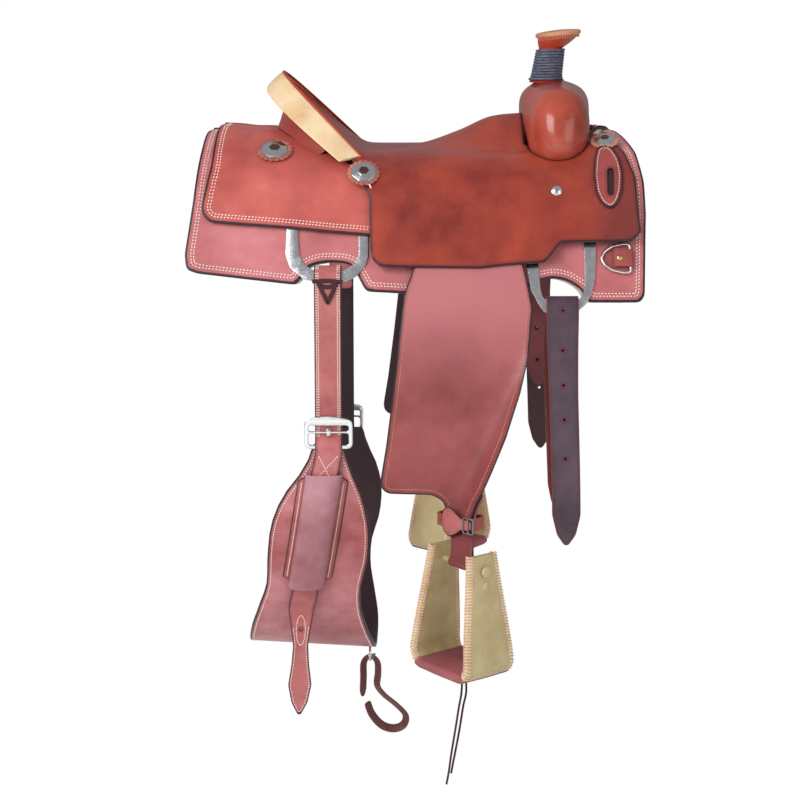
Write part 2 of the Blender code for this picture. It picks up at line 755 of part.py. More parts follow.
def build_horn():
    axis = horn_axis()
    base = Vector((HORN_BASE_X, 0.0, FORK_TOP_Z + 0.0006))
    tilt = Vector((-math.sin(CAP_TILT), 0.0, math.cos(CAP_TILT)))
    ahead = Vector((math.cos(CAP_TILT), 0.0, math.sin(CAP_TILT)))
    count = 24
    rings = []
    for t in (0.0, 0.08, 0.16, 0.25, 0.5, 0.75, 1.0):
        mid = base + axis * (NECK_LEN * t)
        r = neck_radius(t)
        ring = []
        for i in range(count):
            a = 2 * math.pi * i / count
            side = Vector((math.cos(a), math.sin(a), 0.0))
            p = mid + side * r
            if t == 0.0:
                p.z = base.z
            ring.append(p)
        rings.append(ring)
    top = base + axis * NECK_LEN
    cap_mid = top + Vector((0.0125, 0.0, 0.0185))
    for k, (grow, rise) in enumerate(((0.35, 0.35), (0.75, 0.75), (1.0, 1.0))):
        mid = top.lerp(cap_mid, rise)
        ring = []
        for i in range(count):
            a = 2 * math.pi * i / count
            r = lerp(NECK_R, CAP_R * 0.90, grow ** 0.9)
            way = ahead.lerp(Vector((1, 0, 0)), 1 - grow)
            ring.append(mid + way * (r * math.cos(a)) + Vector((0, r * math.sin(a), 0)))
        rings.append(ring)
    finish(loft(rings), "horn", "seat_leather", soft=True)
    foot = cap_mid + tilt * CLEAR
    profile = [(0.0, 0.0), (CAP_R * 0.93, 0.0), (CAP_R, 0.0025), (CAP_R + 0.001, 0.0055),
               (CAP_R - 0.002, 0.0085),
               (CAP_R - 0.006, 0.0092), (CAP_R * 0.5, 0.0105), (0.0, 0.011)]
    finish(revolve(profile, foot, tilt, 28), "horn_cap", "rawhide", soft=True)

    points = []
    pitch = (NECK_LEN - 0.0058) / WRAP_TURNS
    total = WRAP_TURNS * WRAP_POINTS
    for k in range(total + 1):
        t = k / total
        rise = 0.0030 + pitch * WRAP_TURNS * t
        f = rise / NECK_LEN
        r = neck_radius(f) + WRAP_R + 0.0006
        a = 2 * math.pi * k / WRAP_POINTS
        points.append(base + axis * rise + Vector((math.cos(a) * r, math.sin(a) * r, 0.0)))
    first = points[0] + (points[0] - points[1]).normalized() * (2 * WRAP_R)
    final = points[-1] + (points[-1] - points[-2]).normalized() * (2 * WRAP_R)
    points = [first] + points + [final]
    least = 1.0
    for k in range(1, len(points) - 1 - WRAP_POINTS):
        for j in (-1, 0, 1):
            q = k + WRAP_POINTS + j
            if 0 < q < len(points):
                least = min(least, (points[k] - points[q]).length)
    print("horn wrap least self-gap mm %.3f" % ((least - 2 * WRAP_R) * 1000))
    tube("horn_wrap", "rubber", points, WRAP_R, 1)


def tube(name, finish_name, points, radius, resolution):
    """A cord: a poly curve with a round section and filled ends."""
    curve = bpy.data.curves.new(name, "CURVE")
    curve.dimensions = "3D"
    curve.bevel_depth = radius
    curve.bevel_resolution = resolution
    curve.use_fill_caps = True
    line = curve.splines.new("POLY")
    line.points.add(len(points) - 1)
    for p, q in zip(line.points, points):
        p.co = (q[0], q[1], q[2], 1.0)
    obj = bpy.data.objects.new(name, curve)
    bpy.context.scene.collection.objects.link(obj)
    curve.materials.append(material(finish_name + "__" + name))
    return obj


def build_side_leathers():
    for side, tag in ((-1, "right"), (1, "left")):
        cut_w = W_LINES + (TANGENT_W,)
        skirt = rounded(SKIRT, 0.008, 2)
        draped("skirt_" + tag, "leather", side, skirt, const(0.0), const(-SKIRT_T),
               cut_x=X_LINES, cut_w=cut_w)
        middle_x = sum(p[0] for p in SKIRT) / len(SKIRT)
        inset = []
        for x, w in SKIRT:
            k = 0.006 / max(0.05, abs(x - middle_x))
            lift = 0.006 if w > 0.1 else 0.0
            inset.append((lerp(x, middle_x, min(0.1, k)), w - lift))
        draped("skirt_lining_" + tag, "fleece", side, inset, const(-SKIRT_T - 4 * CLEAR),
               const(-SKIRT_T - 4 * CLEAR - FLEECE_T),
               cut_x=X_LINES, cut_w=cut_w)

        rear = rounded(REAR_JOCKEY, 0.006, 2)
        draped("rear_jockey_" + tag, "leather", side, rear,
               lambda x, w: jockey_off(x, w) + JOCKEY_T, jockey_off,
               cut_x=X_LINES, cut_w=cut_w + (0.0465,))

        dees = (("rear_dee_", REAR_DEE, REAR_DEE_HOLE), ("front_dee_", FRONT_DEE, FRONT_DEE_HOLE))
        for part, outline, hole in dees:
            draped(part + tag, "steel", side, rounded(outline, 0.008, 2), const(CLEAR + DEE_T), const(CLEAR),
                   holes=(rounded(hole, 0.006, 2),), soft=False)

        def on_seat(height):
            def place(x, w):
                spot = seat_point(side, x, w)
                n = normal_of(lambda a, b: seat_point(side, a, b), x, w, float(side))
                return spot + n * height
            return place
        keeper = rounded(KEEPER, 0.006, 3)
        bm = flat_region(keeper, (KEEPER_SLOT,), [0.275, 0.29], [-0.02, 0.01, 0.03, TANGENT_W])
        finish(slab(bm, on_seat(0.0040), on_seat(0.0009)), "latigo_keeper_" + tag, "leather", soft=True)

        for spot_name, (x, w) in CONCHO_SPOTS.items():
            if spot_name == "rear":
                p = drape(side, x, w, jockey_off(x, w) + JOCKEY_T)
                n = (drape(side, x, w, 0.1) - drape(side, x, w, 0.0)).normalized()
            else:
                p = seat_point(side, x, w)
                n = normal_of(lambda a, b: seat_point(side, a, b), x, w, float(side))
            profile = [(0.0, 0.0), (0.0205, 0.0), (0.0205, 0.0035), (0.0175, 0.0055), (0.0100, 0.0090),
                       (0.0095, 0.0078), (0.0, 0.0078)]
            concho = revolve(profile, p + n * CONCHO_LIFT, n, 16)
            finish(concho, "concho_" + spot_name + "_" + tag, "steel")
        x, w = SCREW_SPOT
        p = seat_point(side, x, w)
        n = normal_of(lambda a, b: seat_point(side, a, b), x, w, float(side))
        profile = [(0.0, 0.0), (0.0080, 0.0), (0.0080, 0.0012), (0.0062, 0.0026), (0.0, 0.0030)]
        finish(revolve(profile, p + n * 0.0002, n, 16), "seat_screw_" + tag, "steel", soft=True)
        build_breast_dee(side, tag)


def build_breast_dee(side, tag):
    """A dee folded back on its straight bar, in a chape riveted to the skirt."""
    lift = DEE_T * 0.5 + 0.0040
    ring = [(0.3125, 0.112), (0.3125, 0.160), (0.300, 0.1595), (0.283, 0.155), (0.272, 0.147),
            (0.2665, 0.136),
            (0.272, 0.125), (0.283, 0.117), (0.300, 0.1125)]
    ring = rounded(ring, 0.006, 2)
    path = [drape(side, x, w, lift) for x, w in ring]
    n = (drape(side, 0.3, 0.13, 1.0) - drape(side, 0.3, 0.13, 0.0)).normalized()
    finish(swept(path, circle(0.0022, 8), n, True), "breast_dee_" + tag, "steel", soft=True)
    flat = 0.0019
    bar_r = 0.0022 + 0.0005
    x0, x_lip, x1 = 0.2730, 0.2870, 0.3125
    w0, w1 = 0.1215, 0.1505
    low = CLEAR
    outer_r = bar_r + flat
    mid = lift
    profile = [(x0, low), (x1, mid - outer_r)]
    for k in range(1, 8):
        a = -math.pi / 2 + math.pi * k / 8
        profile.append((x1 + outer_r * math.cos(a), mid + outer_r * math.sin(a)))
    profile += [(x1, mid + outer_r), (x_lip, mid + outer_r - 0.0006), (x_lip, mid + bar_r - 0.0006),
                (x1, mid + bar_r)]
    for k in range(1, 6):
        a = math.pi / 2 - math.pi * k / 6
        profile.append((x1 + bar_r * math.cos(a), mid + bar_r * math.sin(a)))
    profile += [(x1, mid - bar_r), (x0 + 0.001, low + flat)]
    rings = []
    for w in (w0, w1):
        rings.append([drape(side, x, w, off) for x, off in profile])
    finish(loft(rings), "breast_chape_" + tag, "leather")


# Fender outline in the side view: (x, w) on the leaning plane down to the bend, then z.
FENDER_EDGE = [
    (-0.0100, 0.075), (-0.0296, 0.1563), (-0.0438, 0.1976), (-0.0540, 0.2850), (-0.0620, 0.3560),
    (-0.0720, 0.4350), (-0.0810, 0.4900), (-0.0800, 0.5020), (-0.0700, 0.5110), (0.0000, 0.5130),
    (0.0180, 0.5230), (0.0290, 0.5600), (0.0560, 0.5600), (0.0680, 0.5230), (0.0800, 0.5000),
    (0.0930, 0.4700), (0.1150, 0.4150), (0.1370, 0.3450), (0.1500, 0.2900), (0.1573, 0.2189),
    (0.1460, 0.1563), (0.1200, 0.075),
]
BEND_W = 0.222
BEND_R = 0.20
CREASE = ((0.1530, 0.2300), (0.0180, 0.5230))
CURL_MAX = math.radians(46.0)


def hang(side, x, w, off):
    """Fender and stirrup leather: flat on the skirt, then plumb, curled at the front."""
    if w <= BEND_W:
        base = drape(side, x, max(w, TANGENT_W), 0.0)
        if w < TANGENT_W:
            step = Vector((0, side * math.sin(LEAN), -math.cos(LEAN)))
            base = base + step * (w - TANGENT_W)
        n = Vector((0, side * math.cos(LEAN), math.sin(LEAN)))
        return base + n * off
    start = drape(side, x, BEND_W, 0.0)
    turn = min(LEAN, (w - BEND_W) / BEND_R)
    lean = LEAN - turn
    y = start.y * side + BEND_R * (math.cos(lean) - math.cos(LEAN))
    z = start.z - BEND_R * (math.sin(LEAN) - math.sin(lean))
    if (w - BEND_W) / BEND_R > LEAN:
        z -= w - BEND_W - BEND_R * LEAN
    y += math.cos(lean) * off
    z += math.sin(lean) * off
    y += curl(x, w)
    return Vector((x, side * y, z))


def curl(x, w):
    """Outward reach of the leather in front of the crease."""
    (xa, wa), (xb, wb) = CREASE
    length = math.hypot(xb - xa, wb - wa)
    ux, uw = (xb - xa) / length, (wb - wa) / length
    dist = (x - xa) * (-uw) + (w - wa) * ux
    dist = -dist
    if dist <= 0:
        return 0.0
    soft = 0.030
    rise = math.tan(CURL_MAX)
    if dist < soft:
        reach = rise * dist * dist / (2 * soft)
    else:
        reach = rise * (dist - soft / 2)
    return reach * smooth((w - BEND_W) / 0.12)


def build_fenders():
    for side, tag in ((-1, "right"), (1, "left")):
        cut_w = [BEND_W, 0.26, 0.30, 0.34, 0.39, 0.44, 0.48, 0.52]
        cut_x = [0.02, 0.04, 0.06, 0.08, 0.105, 0.13]
        lift = STIRRUP_LEATHER_T + 6 * CLEAR
        bm = flat_region(rounded(FENDER_EDGE, 0.010, 2), (), cut_x, cut_w)
        finish(slab(bm, lambda x, w: hang(side, x, w, lift + FENDER_T), lambda x, w: hang(side, x, w, lift)),
               "fender_" + tag, "fender_leather", soft=True)


def stirrup_frame_of(side):
    """Tread direction (out and forward) and foot direction."""
    a = Vector((math.cos(STIRRUP_TURN), side * math.sin(STIRRUP_TURN), 0.0))
    b = Vector((math.sin(STIRRUP_TURN), -side * math.cos(STIRRUP_TURN), 0.0))
    return a, b


# Stirrup leather: distance down, then its rear and front edges in x.
LEATHER_EDGES = [
    (0.018, 0.0220, 0.0850), (0.200, 0.0200, 0.0880), (0.500, 0.0220, 0.0800), (0.560, 0.0310, 0.0650),
    (0.700, 0.0310, 0.0650),
]
LEATHER_TURN_W = 0.560


def leather_point(side, x, w, off):
    """The stirrup leather follows the fender, then turns square to the bolt."""
    a, b = stirrup_frame_of(side)
    hung = hang(side, x, w, off)
    square = Vector((STIRRUP_X, side * STIRRUP_Y, hung.z)) + a * ((x - 0.048) * 1.5)
    square -= b * (off - STIRRUP_LEATHER_T / 2 - CLEAR)
    return hung.lerp(square, smooth((w - LEATHER_TURN_W) / 0.038))


def build_stirrup_leather(side, tag, cutter):
    """Two thicknesses of leather that end in an eye around the stirrup bolt."""
    rings = []
    bolt_z = STIRRUP_TOP_Z - BOLT_DROP
    half = STIRRUP_LEATHER_T / 2
    eye = BOLT_R + CLEAR + 0.0032
    rows = [0.018, TANGENT_W, 0.12, BEND_W, 0.26, 0.30, 0.34, 0.39, 0.44, 0.48, 0.50, 0.52, 0.54, 0.560,
            0.572, 0.585, 0.599]
    first = hang(side, STIRRUP_X, 0.599, 0.0).z

    def row(w, z, thick):
        rear, front = table(LEATHER_EDGES, w)
        columns = [rear, lerp(rear, 0.040, 0.35), lerp(rear, 0.040, 0.7), 0.040, 0.060, front]
        ring = [leather_point(side, x, w, half + CLEAR + thick) for x in columns]
        ring += [leather_point(side, x, w, half + CLEAR - thick) for x in reversed(columns)]
        if z is not None:
            ring = [Vector((p.x, p.y, z)) for p in ring]
        return ring
    for w in rows:
        if w < 0.59 or first > bolt_z + eye:
            rings.append(row(w, None, half))
    lead = math.degrees(math.asin(half / eye))
    for turn in (lead, 45.0, 68.0, 90.0, 112.0, 135.0, 158.0):
        phi = math.radians(turn)
        rings.append(row(0.62, bolt_z + eye * math.cos(phi), eye * math.sin(phi)))
    leather = finish(loft(rings), "stirrup_leather_" + tag, "latigo", soft=True)
    bore(leather, cutter)


def bore(solid, cutter):
    cut = solid.modifiers.new("bolt_holes", "BOOLEAN")
    cut.object = cutter
    cut.operation = "DIFFERENCE"
    cut.solver = "EXACT"


def build_stirrups():
    for side, tag in ((-1, "right"), (1, "left")):
        a, b = stirrup_frame_of(side)
        mid = Vector((STIRRUP_X, side * STIRRUP_Y, 0.0))
        height = STIRRUP_TOP_Z - STIRRUP_BOTTOM_Z
        route = []
        for k in range(7):
            t = k / 6
            half = lerp(STIRRUP_HALF_TOP, STIRRUP_HALF_LOW, t)
            route.append((-half, lerp(height + 0.012, 0.030, t), lerp(PAD_W_TOP, PAD_W_LOW, t)))
        for k in range(1, 5):
            ang = math.pi / 2 * k / 4
            reach = -STIRRUP_HALF_LOW + 0.020 * (1 - math.cos(ang))
            route.append((reach, 0.030 - 0.022 * math.sin(ang), PAD_W_LOW))
        route.append((0.0, 0.006, PAD_W_LOW))
        route += [(-p[0], p[1], p[2]) for p in reversed(route[:-1])]
        rings = []
        for i, (s, h, width) in enumerate(route):
            s0, h0, _ = route[max(0, i - 1)]
            s1, h1, _ = route[min(len(route) - 1, i + 1)]
            run = (a * (s1 - s0) + Vector((0, 0, h1 - h0))).normalized()
            n = run.cross(b).normalized()
            p = mid + a * s + Vector((0, 0, STIRRUP_BOTTOM_Z + h))
            ring = []
            for across, thick in ((-0.5, -0.32), (-0.42, -0.5), (0.42, -0.5), (0.5, -0.32), (0.5, 0.32),
                                  (0.42, 0.5), (-0.42, 0.5), (-0.5, 0.32)):
                ring.append(p + b * (width * across) + n * (PAD_T * thick))
            rings.append(ring)
        frame = finish(loft(rings), "stirrup_frame_" + tag, "rawhide", soft=True)
        bolt_z = STIRRUP_TOP_Z - BOLT_DROP
        centre = mid + Vector((0, 0, bolt_z))
        reach = STIRRUP_HALF_TOP + PAD_T / 2 + 0.0105
        bored = BOLT_R + CLEAR
        profile = [(0.0, -reach - 0.01), (bored, -reach - 0.01), (bored, reach + 0.01), (0.0, reach + 0.01)]
        cutter = finish(revolve(profile, centre, a, 16), "bolt_cutter_" + tag, "steel")
        cutter.hide_render = True
        cutter.display_type = "WIRE"
        bore(frame, cutter)
        build_stirrup_leather(side, tag, cutter)
        head = 0.0095
        profile = [(0.0, -reach), (head, -reach), (head, -reach + 0.0045), (BOLT_R, -reach + 0.0045),
                   (BOLT_R, reach - 0.0045), (head, reach - 0.0045), (head, reach), (0.0, reach)]
        finish(revolve(profile, centre, a, 16), "stirrup_bolt_" + tag, "steel", soft=False)


def build_hobbles():
    for side, tag in ((-1, "right"), (1, "left")):
        p0 = hang(side, 0.028, 0.538, 0.0)
        p1 = hang(side, 0.070, 0.538, 0.0)
        a = (p1 - p0)
        a.z = 0.0
        length = a.length
        a.normalize()
        out = Vector((0, side, 0))
        out = (out - a * out.dot(a)).normalized()
        mid = (p0 + p1) / 2
        half = length / 2 + 0.0067
        low, high = -0.0085, 0.0200
        rings = []
        for s, o in ((-half, low), (half, low), (half, high), (-half, high)):
            q = mid + a * s + out * o
            o2 = low - 0.0035 if o == low else high + 0.0035
            s2 = s - 0.0035 if s < 0 else s + 0.0035
            r = mid + a * s2 + out * o2
            up = Vector((0, 0, 0.010))
            rings.append([q - up, r - up, r + up, q + up])
        finish(loft(rings, closed=True), "hobble_strap_" + tag, "fender_leather", soft=False)


def cinch_line(near, t, side_off, x=-0.2):
    """Point (y, z) of the cinch's inner face, from a buckle to the lowest point."""
    top = CINCH_TOP_Z if near else CINCH_TOP_Z - FAR_DROP
    a = math.pi / 2 * t
    y = CINCH_HALF_Y * math.cos(a)
    z = top - (top - CINCH_LOW_Z) * math.sin(a)
    ny = math.cos(a) * (top - CINCH_LOW_Z)
    nz = -math.sin(a) * CINCH_HALF_Y
    length = math.hypot(ny, nz)
    y += side_off * ny / length
    z += side_off * nz / length
    z -= 0.06 * math.sin(a) * (x + 0.2)
    return (-y if near else y), z


CINCH_EDGES = [
    (0.00, -0.1880, -0.1400), (0.06, -0.2020, -0.1300), (0.14, -0.2380, -0.1100),
    (0.22, -0.2580, -0.1000), (0.32, -0.2660, -0.1020), (0.42, -0.2700, -0.1140),
    (0.52, -0.2850, -0.1140), (0.64, -0.3000, -0.1040), (0.78, -0.3080, -0.0940),
    (1.00, -0.3100, -0.0900),
]


def build_flank():
    rings = []
    steps_t = [i / 16 for i in range(17)]
    line = [(True, t) for t in steps_t] + [(False, t) for t in reversed(steps_t[:-1])]
    for near, t in line:
        rear, front = table(CINCH_EDGES, t)
        shift = 0.0 if near else 0.020 * (1 - t)
        ring = []
        for x, off in ((rear, 0.0), (front, 0.0), (front, CINCH_T), (rear, CINCH_T)):
            y, z = cinch_line(near, t, off, x)
            ring.append(Vector((x + shift, y, z)))
        rings.append(ring)
    finish(loft(rings), "flank_cinch", "fender_leather", soft=True)

    for near, side, tag in ((True, -1, "right"), (False, 1, "left")):
        drop = 0.0 if near else FAR_DROP
        shift = 0.0 if near else 0.006
        rear, front = -0.1850 + shift, -0.1850 + shift + BILLET_W
        rows = []
        back_y, front_y = 0.2365, 0.2625
        top = drape(1, 0.0, 0.1555, 0.0).z + 0.0030
        rows.append((rear, front, side * back_y, -0.235))
        rows.append((rear, front, side * back_y, top - 0.008))
        rows.append((rear, front, side * (back_y + 0.0015), top + 0.0005))
        rows.append((rear, front, side * (back_y + 0.006), top + 0.0040))
        rows.append((rear, front, side * (front_y - 0.0065), top + 0.0010))
        rows.append((rear, front, side * (front_y - 0.0015), top - 0.0055))
        rows.append((rear, front, side * front_y, top - 0.014))
        rows.append((rear, front, side * front_y, -0.30))
        buckle_z = -0.394 - drop
        rows.append((rear, front, side * (front_y + 0.0010), buckle_z + 0.045))
        rows.append((rear, front, side * (front_y + 0.0022), buckle_z + 0.010))
        rows.append((rear, front, side * (front_y + 0.0026), buckle_z - 0.006))
        rows.append((rear, front, side * (front_y + 0.0105), buckle_z - 0.0145))
        rows.append((rear, front, side * (front_y + 0.0135), buckle_z - 0.0215))
        rows.append((rear, front, side * (front_y + 0.0125), buckle_z - 0.034))
        for t in (0.095, 0.14, 0.185, 0.23, 0.275, 0.32, 0.365, 0.41, 0.455, 0.50):
            y, z = cinch_line(near, t, CINCH_T + 0.0095, rear + BILLET_W / 2 - 0.055 * t)
            if z > buckle_z - 0.05:
                continue
            slide = -0.055 * t
            rows.append((rear + slide, front + slide, y, z))
        y, z = rows[-1][2], rows[-1][3]
        slide = rows[-1][0] - rear
        tail = [(0.03, 0.004), (0.08, 0.009), (0.13, 0.006), (0.165, 0.003), (0.19, 0.012), (0.208, 0.019)]
        if near:
            for d, narrow in tail:
                drift = slide - 0.05 * d
                rows.append((rear + drift + narrow, front + drift - narrow, y, z - d))
        strap("flank_billet_" + tag, "leather", rows, STRAP_T)
        build_buckle(side, tag, rear + BILLET_W / 2, side * (front_y - 0.0005), buckle_z)
    build_sleeve()
    build_connector()


def build_buckle(side, tag, x, y, z):
    """A framed buckle with a centre bar and a tongue that turns on it."""
    half_w, half_h = 0.0385, 0.026
    rail = 0.0065
    outline = rounded([(x - half_w, z + half_h * 0.8), (x - half_w, z - half_h), (x + half_w, z - half_h),
                       (x + half_w, z + half_h * 0.8), (x, z + half_h * 1.05)], 0.010, 3)
    bar_low = z - 0.0005
    bar = 0.0036
    left, right = x - half_w + rail, x + half_w - rail
    high, mid_z, low = z + half_h * 0.72 - rail, bar_low + bar, z - half_h + rail
    top_hole = rounded([(left, high), (left, mid_z), (right, mid_z), (right, high)], 0.003, 2)
    low_hole = rounded([(left, bar_low), (left, low), (right, low), (right, bar_low)], 0.004, 2)
    bm = flat_region(outline, (top_hole, low_hole))
    lift = 0.0075
    thick = 0.0032

    def face(off):
        return lambda px, pz: Vector((px, y + side * (lift + off), pz))
    finish(slab(bm, face(thick), face(0.0)), "flank_buckle_" + tag, "steel")
    mid = Vector((x, y + side * (lift + thick / 2), bar_low + bar / 2))
    ring = []
    for k in range(12):
        ang = 2 * math.pi * k / 12
        ring.append(mid + Vector((0, side * 0.0029 * math.cos(ang), 0.0060 * math.sin(ang))))
    shape = [(-0.0008, -0.003), (0.0008, -0.003), (0.0008, 0.003), (-0.0008, 0.003)]
    bm = swept(ring, shape, (1, 0, 0), True)
    finish(bm, "buckle_tongue_" + tag, "steel", origin=mid, soft=False)


def build_sleeve():
    """A leather tube on the near half that holds the billet's tail."""
    rings = []
    for k in range(9):
        t = lerp(0.095, 0.455, k / 8)
        slide = -0.055 * t
        rear, front = -0.1850 + slide, -0.1850 + slide + BILLET_W
        mid = (rear + front) / 2
        y0, z0 = cinch_line(True, t, CINCH_T + 0.0009, mid)
        y1, z1 = cinch_line(True, t, CINCH_T + 0.0195, mid)
        ya, za = cinch_line(True, t, CINCH_T + 0.0028, mid)
        yb, zb = cinch_line(True, t, CINCH_T + 0.0175, mid)
        outer = []
        inner = []
        for f, g in ((-0.10, 0.0), (1.10, 0.0), (1.10, 0.45), (0.95, 0.85), (0.5, 1.0), (0.05, 0.85),
                     (-0.10, 0.45)):
            x = lerp(rear, front, f)
            outer.append(Vector((x, lerp(y0, y1, g), lerp(z0, z1, g))))
        for f, g in ((-0.055, 0.0), (1.055, 0.0), (1.055, 0.48), (0.93, 0.87), (0.5, 1.0), (0.07, 0.87),
                     (-0.055, 0.48)):
            x = lerp(rear, front, f)
            inner.append(Vector((x, lerp(ya, yb, g), lerp(za, zb, g))))
        rings.append((outer, inner))
    bm = bmesh.new()
    rows = [([bm.verts.new(p) for p in o], [bm.verts.new(p) for p in i]) for o, i in rings]
    count = 7
    for a, b in zip(rows, rows[1:]):
        for i in range(count):
            j = (i + 1) % count
            bm.faces.new([a[0][i], a[0][j], b[0][j], b[0][i]])
            bm.faces.new([a[1][j], a[1][i], b[1][i], b[1][j]])
    for row in (rows[0], rows[-1]):
        for i in range(count):
            j = (i + 1) % count
            bm.faces.new([row[0][i], row[0][j], row[1][j], row[1][i]])
    finish(bm, "billet_sleeve", "fender_leather", soft=True)


def build_connector():
    """The hobble strap that hangs from the cinch's front edge by a snap."""
    top = Vector((-0.1030, 0.0, CINCH_LOW_Z - 0.018))
    bends = ((0.0, 0.0), (-0.0080, -0.004), (-0.0135, -0.010), (-0.0135, -0.018), (-0.0100, -0.0247),
             (0.0, -0.0254), (0.0100, -0.0254))
    path = [top + Vector((0.0, dy, dz)) for dy, dz in bends]
    finish(swept(path, circle(0.0022, 8), (1, 0, 0), False), "connector_snap", "steel", soft=True)
    route = [
        (-0.1085, -0.945), (-0.1000, -0.968), (-0.0830, -0.988), (-0.0620, -0.995), (-0.0440, -0.988),
        (-0.0400, -0.970), (-0.0560, -0.951), (-0.0780, -0.932), (-0.0905, -0.914), (-0.0890, -0.890),
        (-0.0905, -0.870), (-0.1020, -0.8590), (-0.1140, -0.870), (-0.1150, -0.900), (-0.1165, -0.935),
    ]
    pts = spline([(x, 0.0, z) for x, z in route], 3)
    shape = [(-0.0014, -0.009), (0.0014, -0.009), (0.0014, 0.009), (-0.0014, 0.009)]
    finish(swept(pts, shape, (0, 1, 0), False), "connector_strap", "latigo", soft=True)


def build_front_billets():
    top = drape(1, 0.2, 0.2045, 0.0).z + 0.0016
    back_y, front_y = 0.2605, 0.2850
    billets = ((-1, "off_billet", -0.530, -0.575), (1, "near_latigo", -0.420, -0.545))
    for side, tag, low_back, low_front in billets:
        rear0, front0 = 0.1785, 0.2290
        rows = []

        def span(z, tip):
            lean = 0.012 * smooth((top - z) / 0.4)
            narrow = 0.004 * smooth((top - z) / 0.3) + 0.021 * smooth((z - tip - 0.048) / -0.048)
            return rear0 + lean + narrow, front0 + lean - narrow
        for k in range(8):
            z = lerp(low_back, top - 0.010, k / 7)
            r, f = span(z, low_back - 0.02)
            behind = 0.004 * smooth((top - z) / 0.1)
            rows.append((r - behind, f - behind, side * back_y, z))
        r, f = span(top, low_front)
        rows.append((r, f, side * (back_y + 0.0015), top + 0.0005))
        rows.append((r, f, side * (back_y + 0.0060), top + 0.0040))
        rows.append((r, f, side * (front_y - 0.0065), top + 0.0010))
        rows.append((r, f, side * (front_y - 0.0015), top - 0.0055))
        for k in range(9):
            z = lerp(top - 0.014, low_front, k / 8)
            r, f = span(z, low_front)
            rows.append((r, f, side * front_y, z))
        strap(tag, "latigo", rows, STRAP_T)


# Laces: a thong tied at the right stirrup's bottom, its two tails hanging.
LACE_ROUTES = {
    "stirrup_lace_a": [
        (0.0480, -0.3700, -0.7569), (0.0470, -0.3715, -0.7900), (0.0430, -0.3720, -0.8150),
        (0.0380, -0.3715, -0.8500), (0.0320, -0.3710, -0.8900), (0.0275, -0.3705, -0.9250),
        (0.0240, -0.3705, -0.9450),
    ],
    "stirrup_lace_b": [
        (0.0530, -0.3700, -0.7568), (0.0545, -0.3690, -0.7900), (0.0500, -0.3670, -0.8150),
        (0.0450, -0.3665, -0.8500), (0.0400, -0.3665, -0.8800), (0.0350, -0.3665, -0.9080),
        (0.0315, -0.3665, -0.9280),
    ],
}


def build_laces():
    for name, route in LACE_ROUTES.items():
        tube(name, "leather", spline(route, 5), LACE_D / 2, 2)


def main():
    for obj in list(bpy.data.objects):
        bpy.data.objects.remove(obj, do_unlink=True)
    build_tree()
    build_cantle()
    build_seat()
    build_horn()
    build_side_leathers()
    build_fenders()
    build_stirrups()
    build_hobbles()
    build_front_billets()
    build_flank()
    build_laces()


main()
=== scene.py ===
"""Looks of a roping saddle: leathers, stitching, rawhide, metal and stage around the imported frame."""

from __future__ import annotations

import json
import logging
import math
from dataclasses import dataclass
from enum import Enum
from math import cos, pi, radians, sin, tan
from typing import Callable, Iterable, NamedTuple, Sequence

import bmesh
import bpy
import numpy as np
from bmesh.types import BMesh, BMFace, BMVert
from bpy.types import Material, Node, NodeSocket, NodeTree, Object
from mathutils import Matrix, Vector, noise

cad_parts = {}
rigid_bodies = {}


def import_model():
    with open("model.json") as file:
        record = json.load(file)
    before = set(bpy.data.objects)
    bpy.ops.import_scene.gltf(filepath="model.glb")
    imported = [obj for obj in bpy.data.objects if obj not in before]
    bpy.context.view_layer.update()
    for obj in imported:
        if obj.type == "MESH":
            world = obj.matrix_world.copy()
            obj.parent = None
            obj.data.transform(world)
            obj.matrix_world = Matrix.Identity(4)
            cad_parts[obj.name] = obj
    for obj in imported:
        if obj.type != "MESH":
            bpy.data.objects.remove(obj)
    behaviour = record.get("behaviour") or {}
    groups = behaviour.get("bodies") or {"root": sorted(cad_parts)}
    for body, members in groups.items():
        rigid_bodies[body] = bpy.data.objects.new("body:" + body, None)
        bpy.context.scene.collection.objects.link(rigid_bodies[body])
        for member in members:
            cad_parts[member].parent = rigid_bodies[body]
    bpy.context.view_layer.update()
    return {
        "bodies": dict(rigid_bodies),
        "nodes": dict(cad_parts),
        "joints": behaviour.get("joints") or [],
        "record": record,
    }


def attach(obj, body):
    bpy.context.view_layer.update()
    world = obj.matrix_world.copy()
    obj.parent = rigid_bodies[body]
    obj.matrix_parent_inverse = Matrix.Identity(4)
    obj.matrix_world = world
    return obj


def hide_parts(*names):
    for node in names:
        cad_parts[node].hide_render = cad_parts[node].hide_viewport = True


Flat = tuple[float, float]
Triple = tuple[float, float, float]
Colour = Triple
Line = Sequence[Flat]
Test = Callable[[float, float], bool]
Place = Callable[[float, float, float], Vector]

LOG = logging.getLogger("saddle")
MM = 0.001
STIRRUP_TURN = radians(52.0)


class Side(Enum):
    """The two sides of the saddle, valued by the sign of Y."""

    RIGHT = -1
    LEFT = 1

    @property
    def tag(self) -> str:
        """Name of the side as the CAD nodes use it."""
        return self.name.lower()


def smooth(t: float) -> float:
    """Ease from 0 to 1."""
    t = min(1.0, max(0.0, t))
    return t * t * (3.0 - 2.0 * t)


def lerp(a: float, b: float, t: float) -> float:
    """Blend two numbers."""
    return a + (b - a) * t


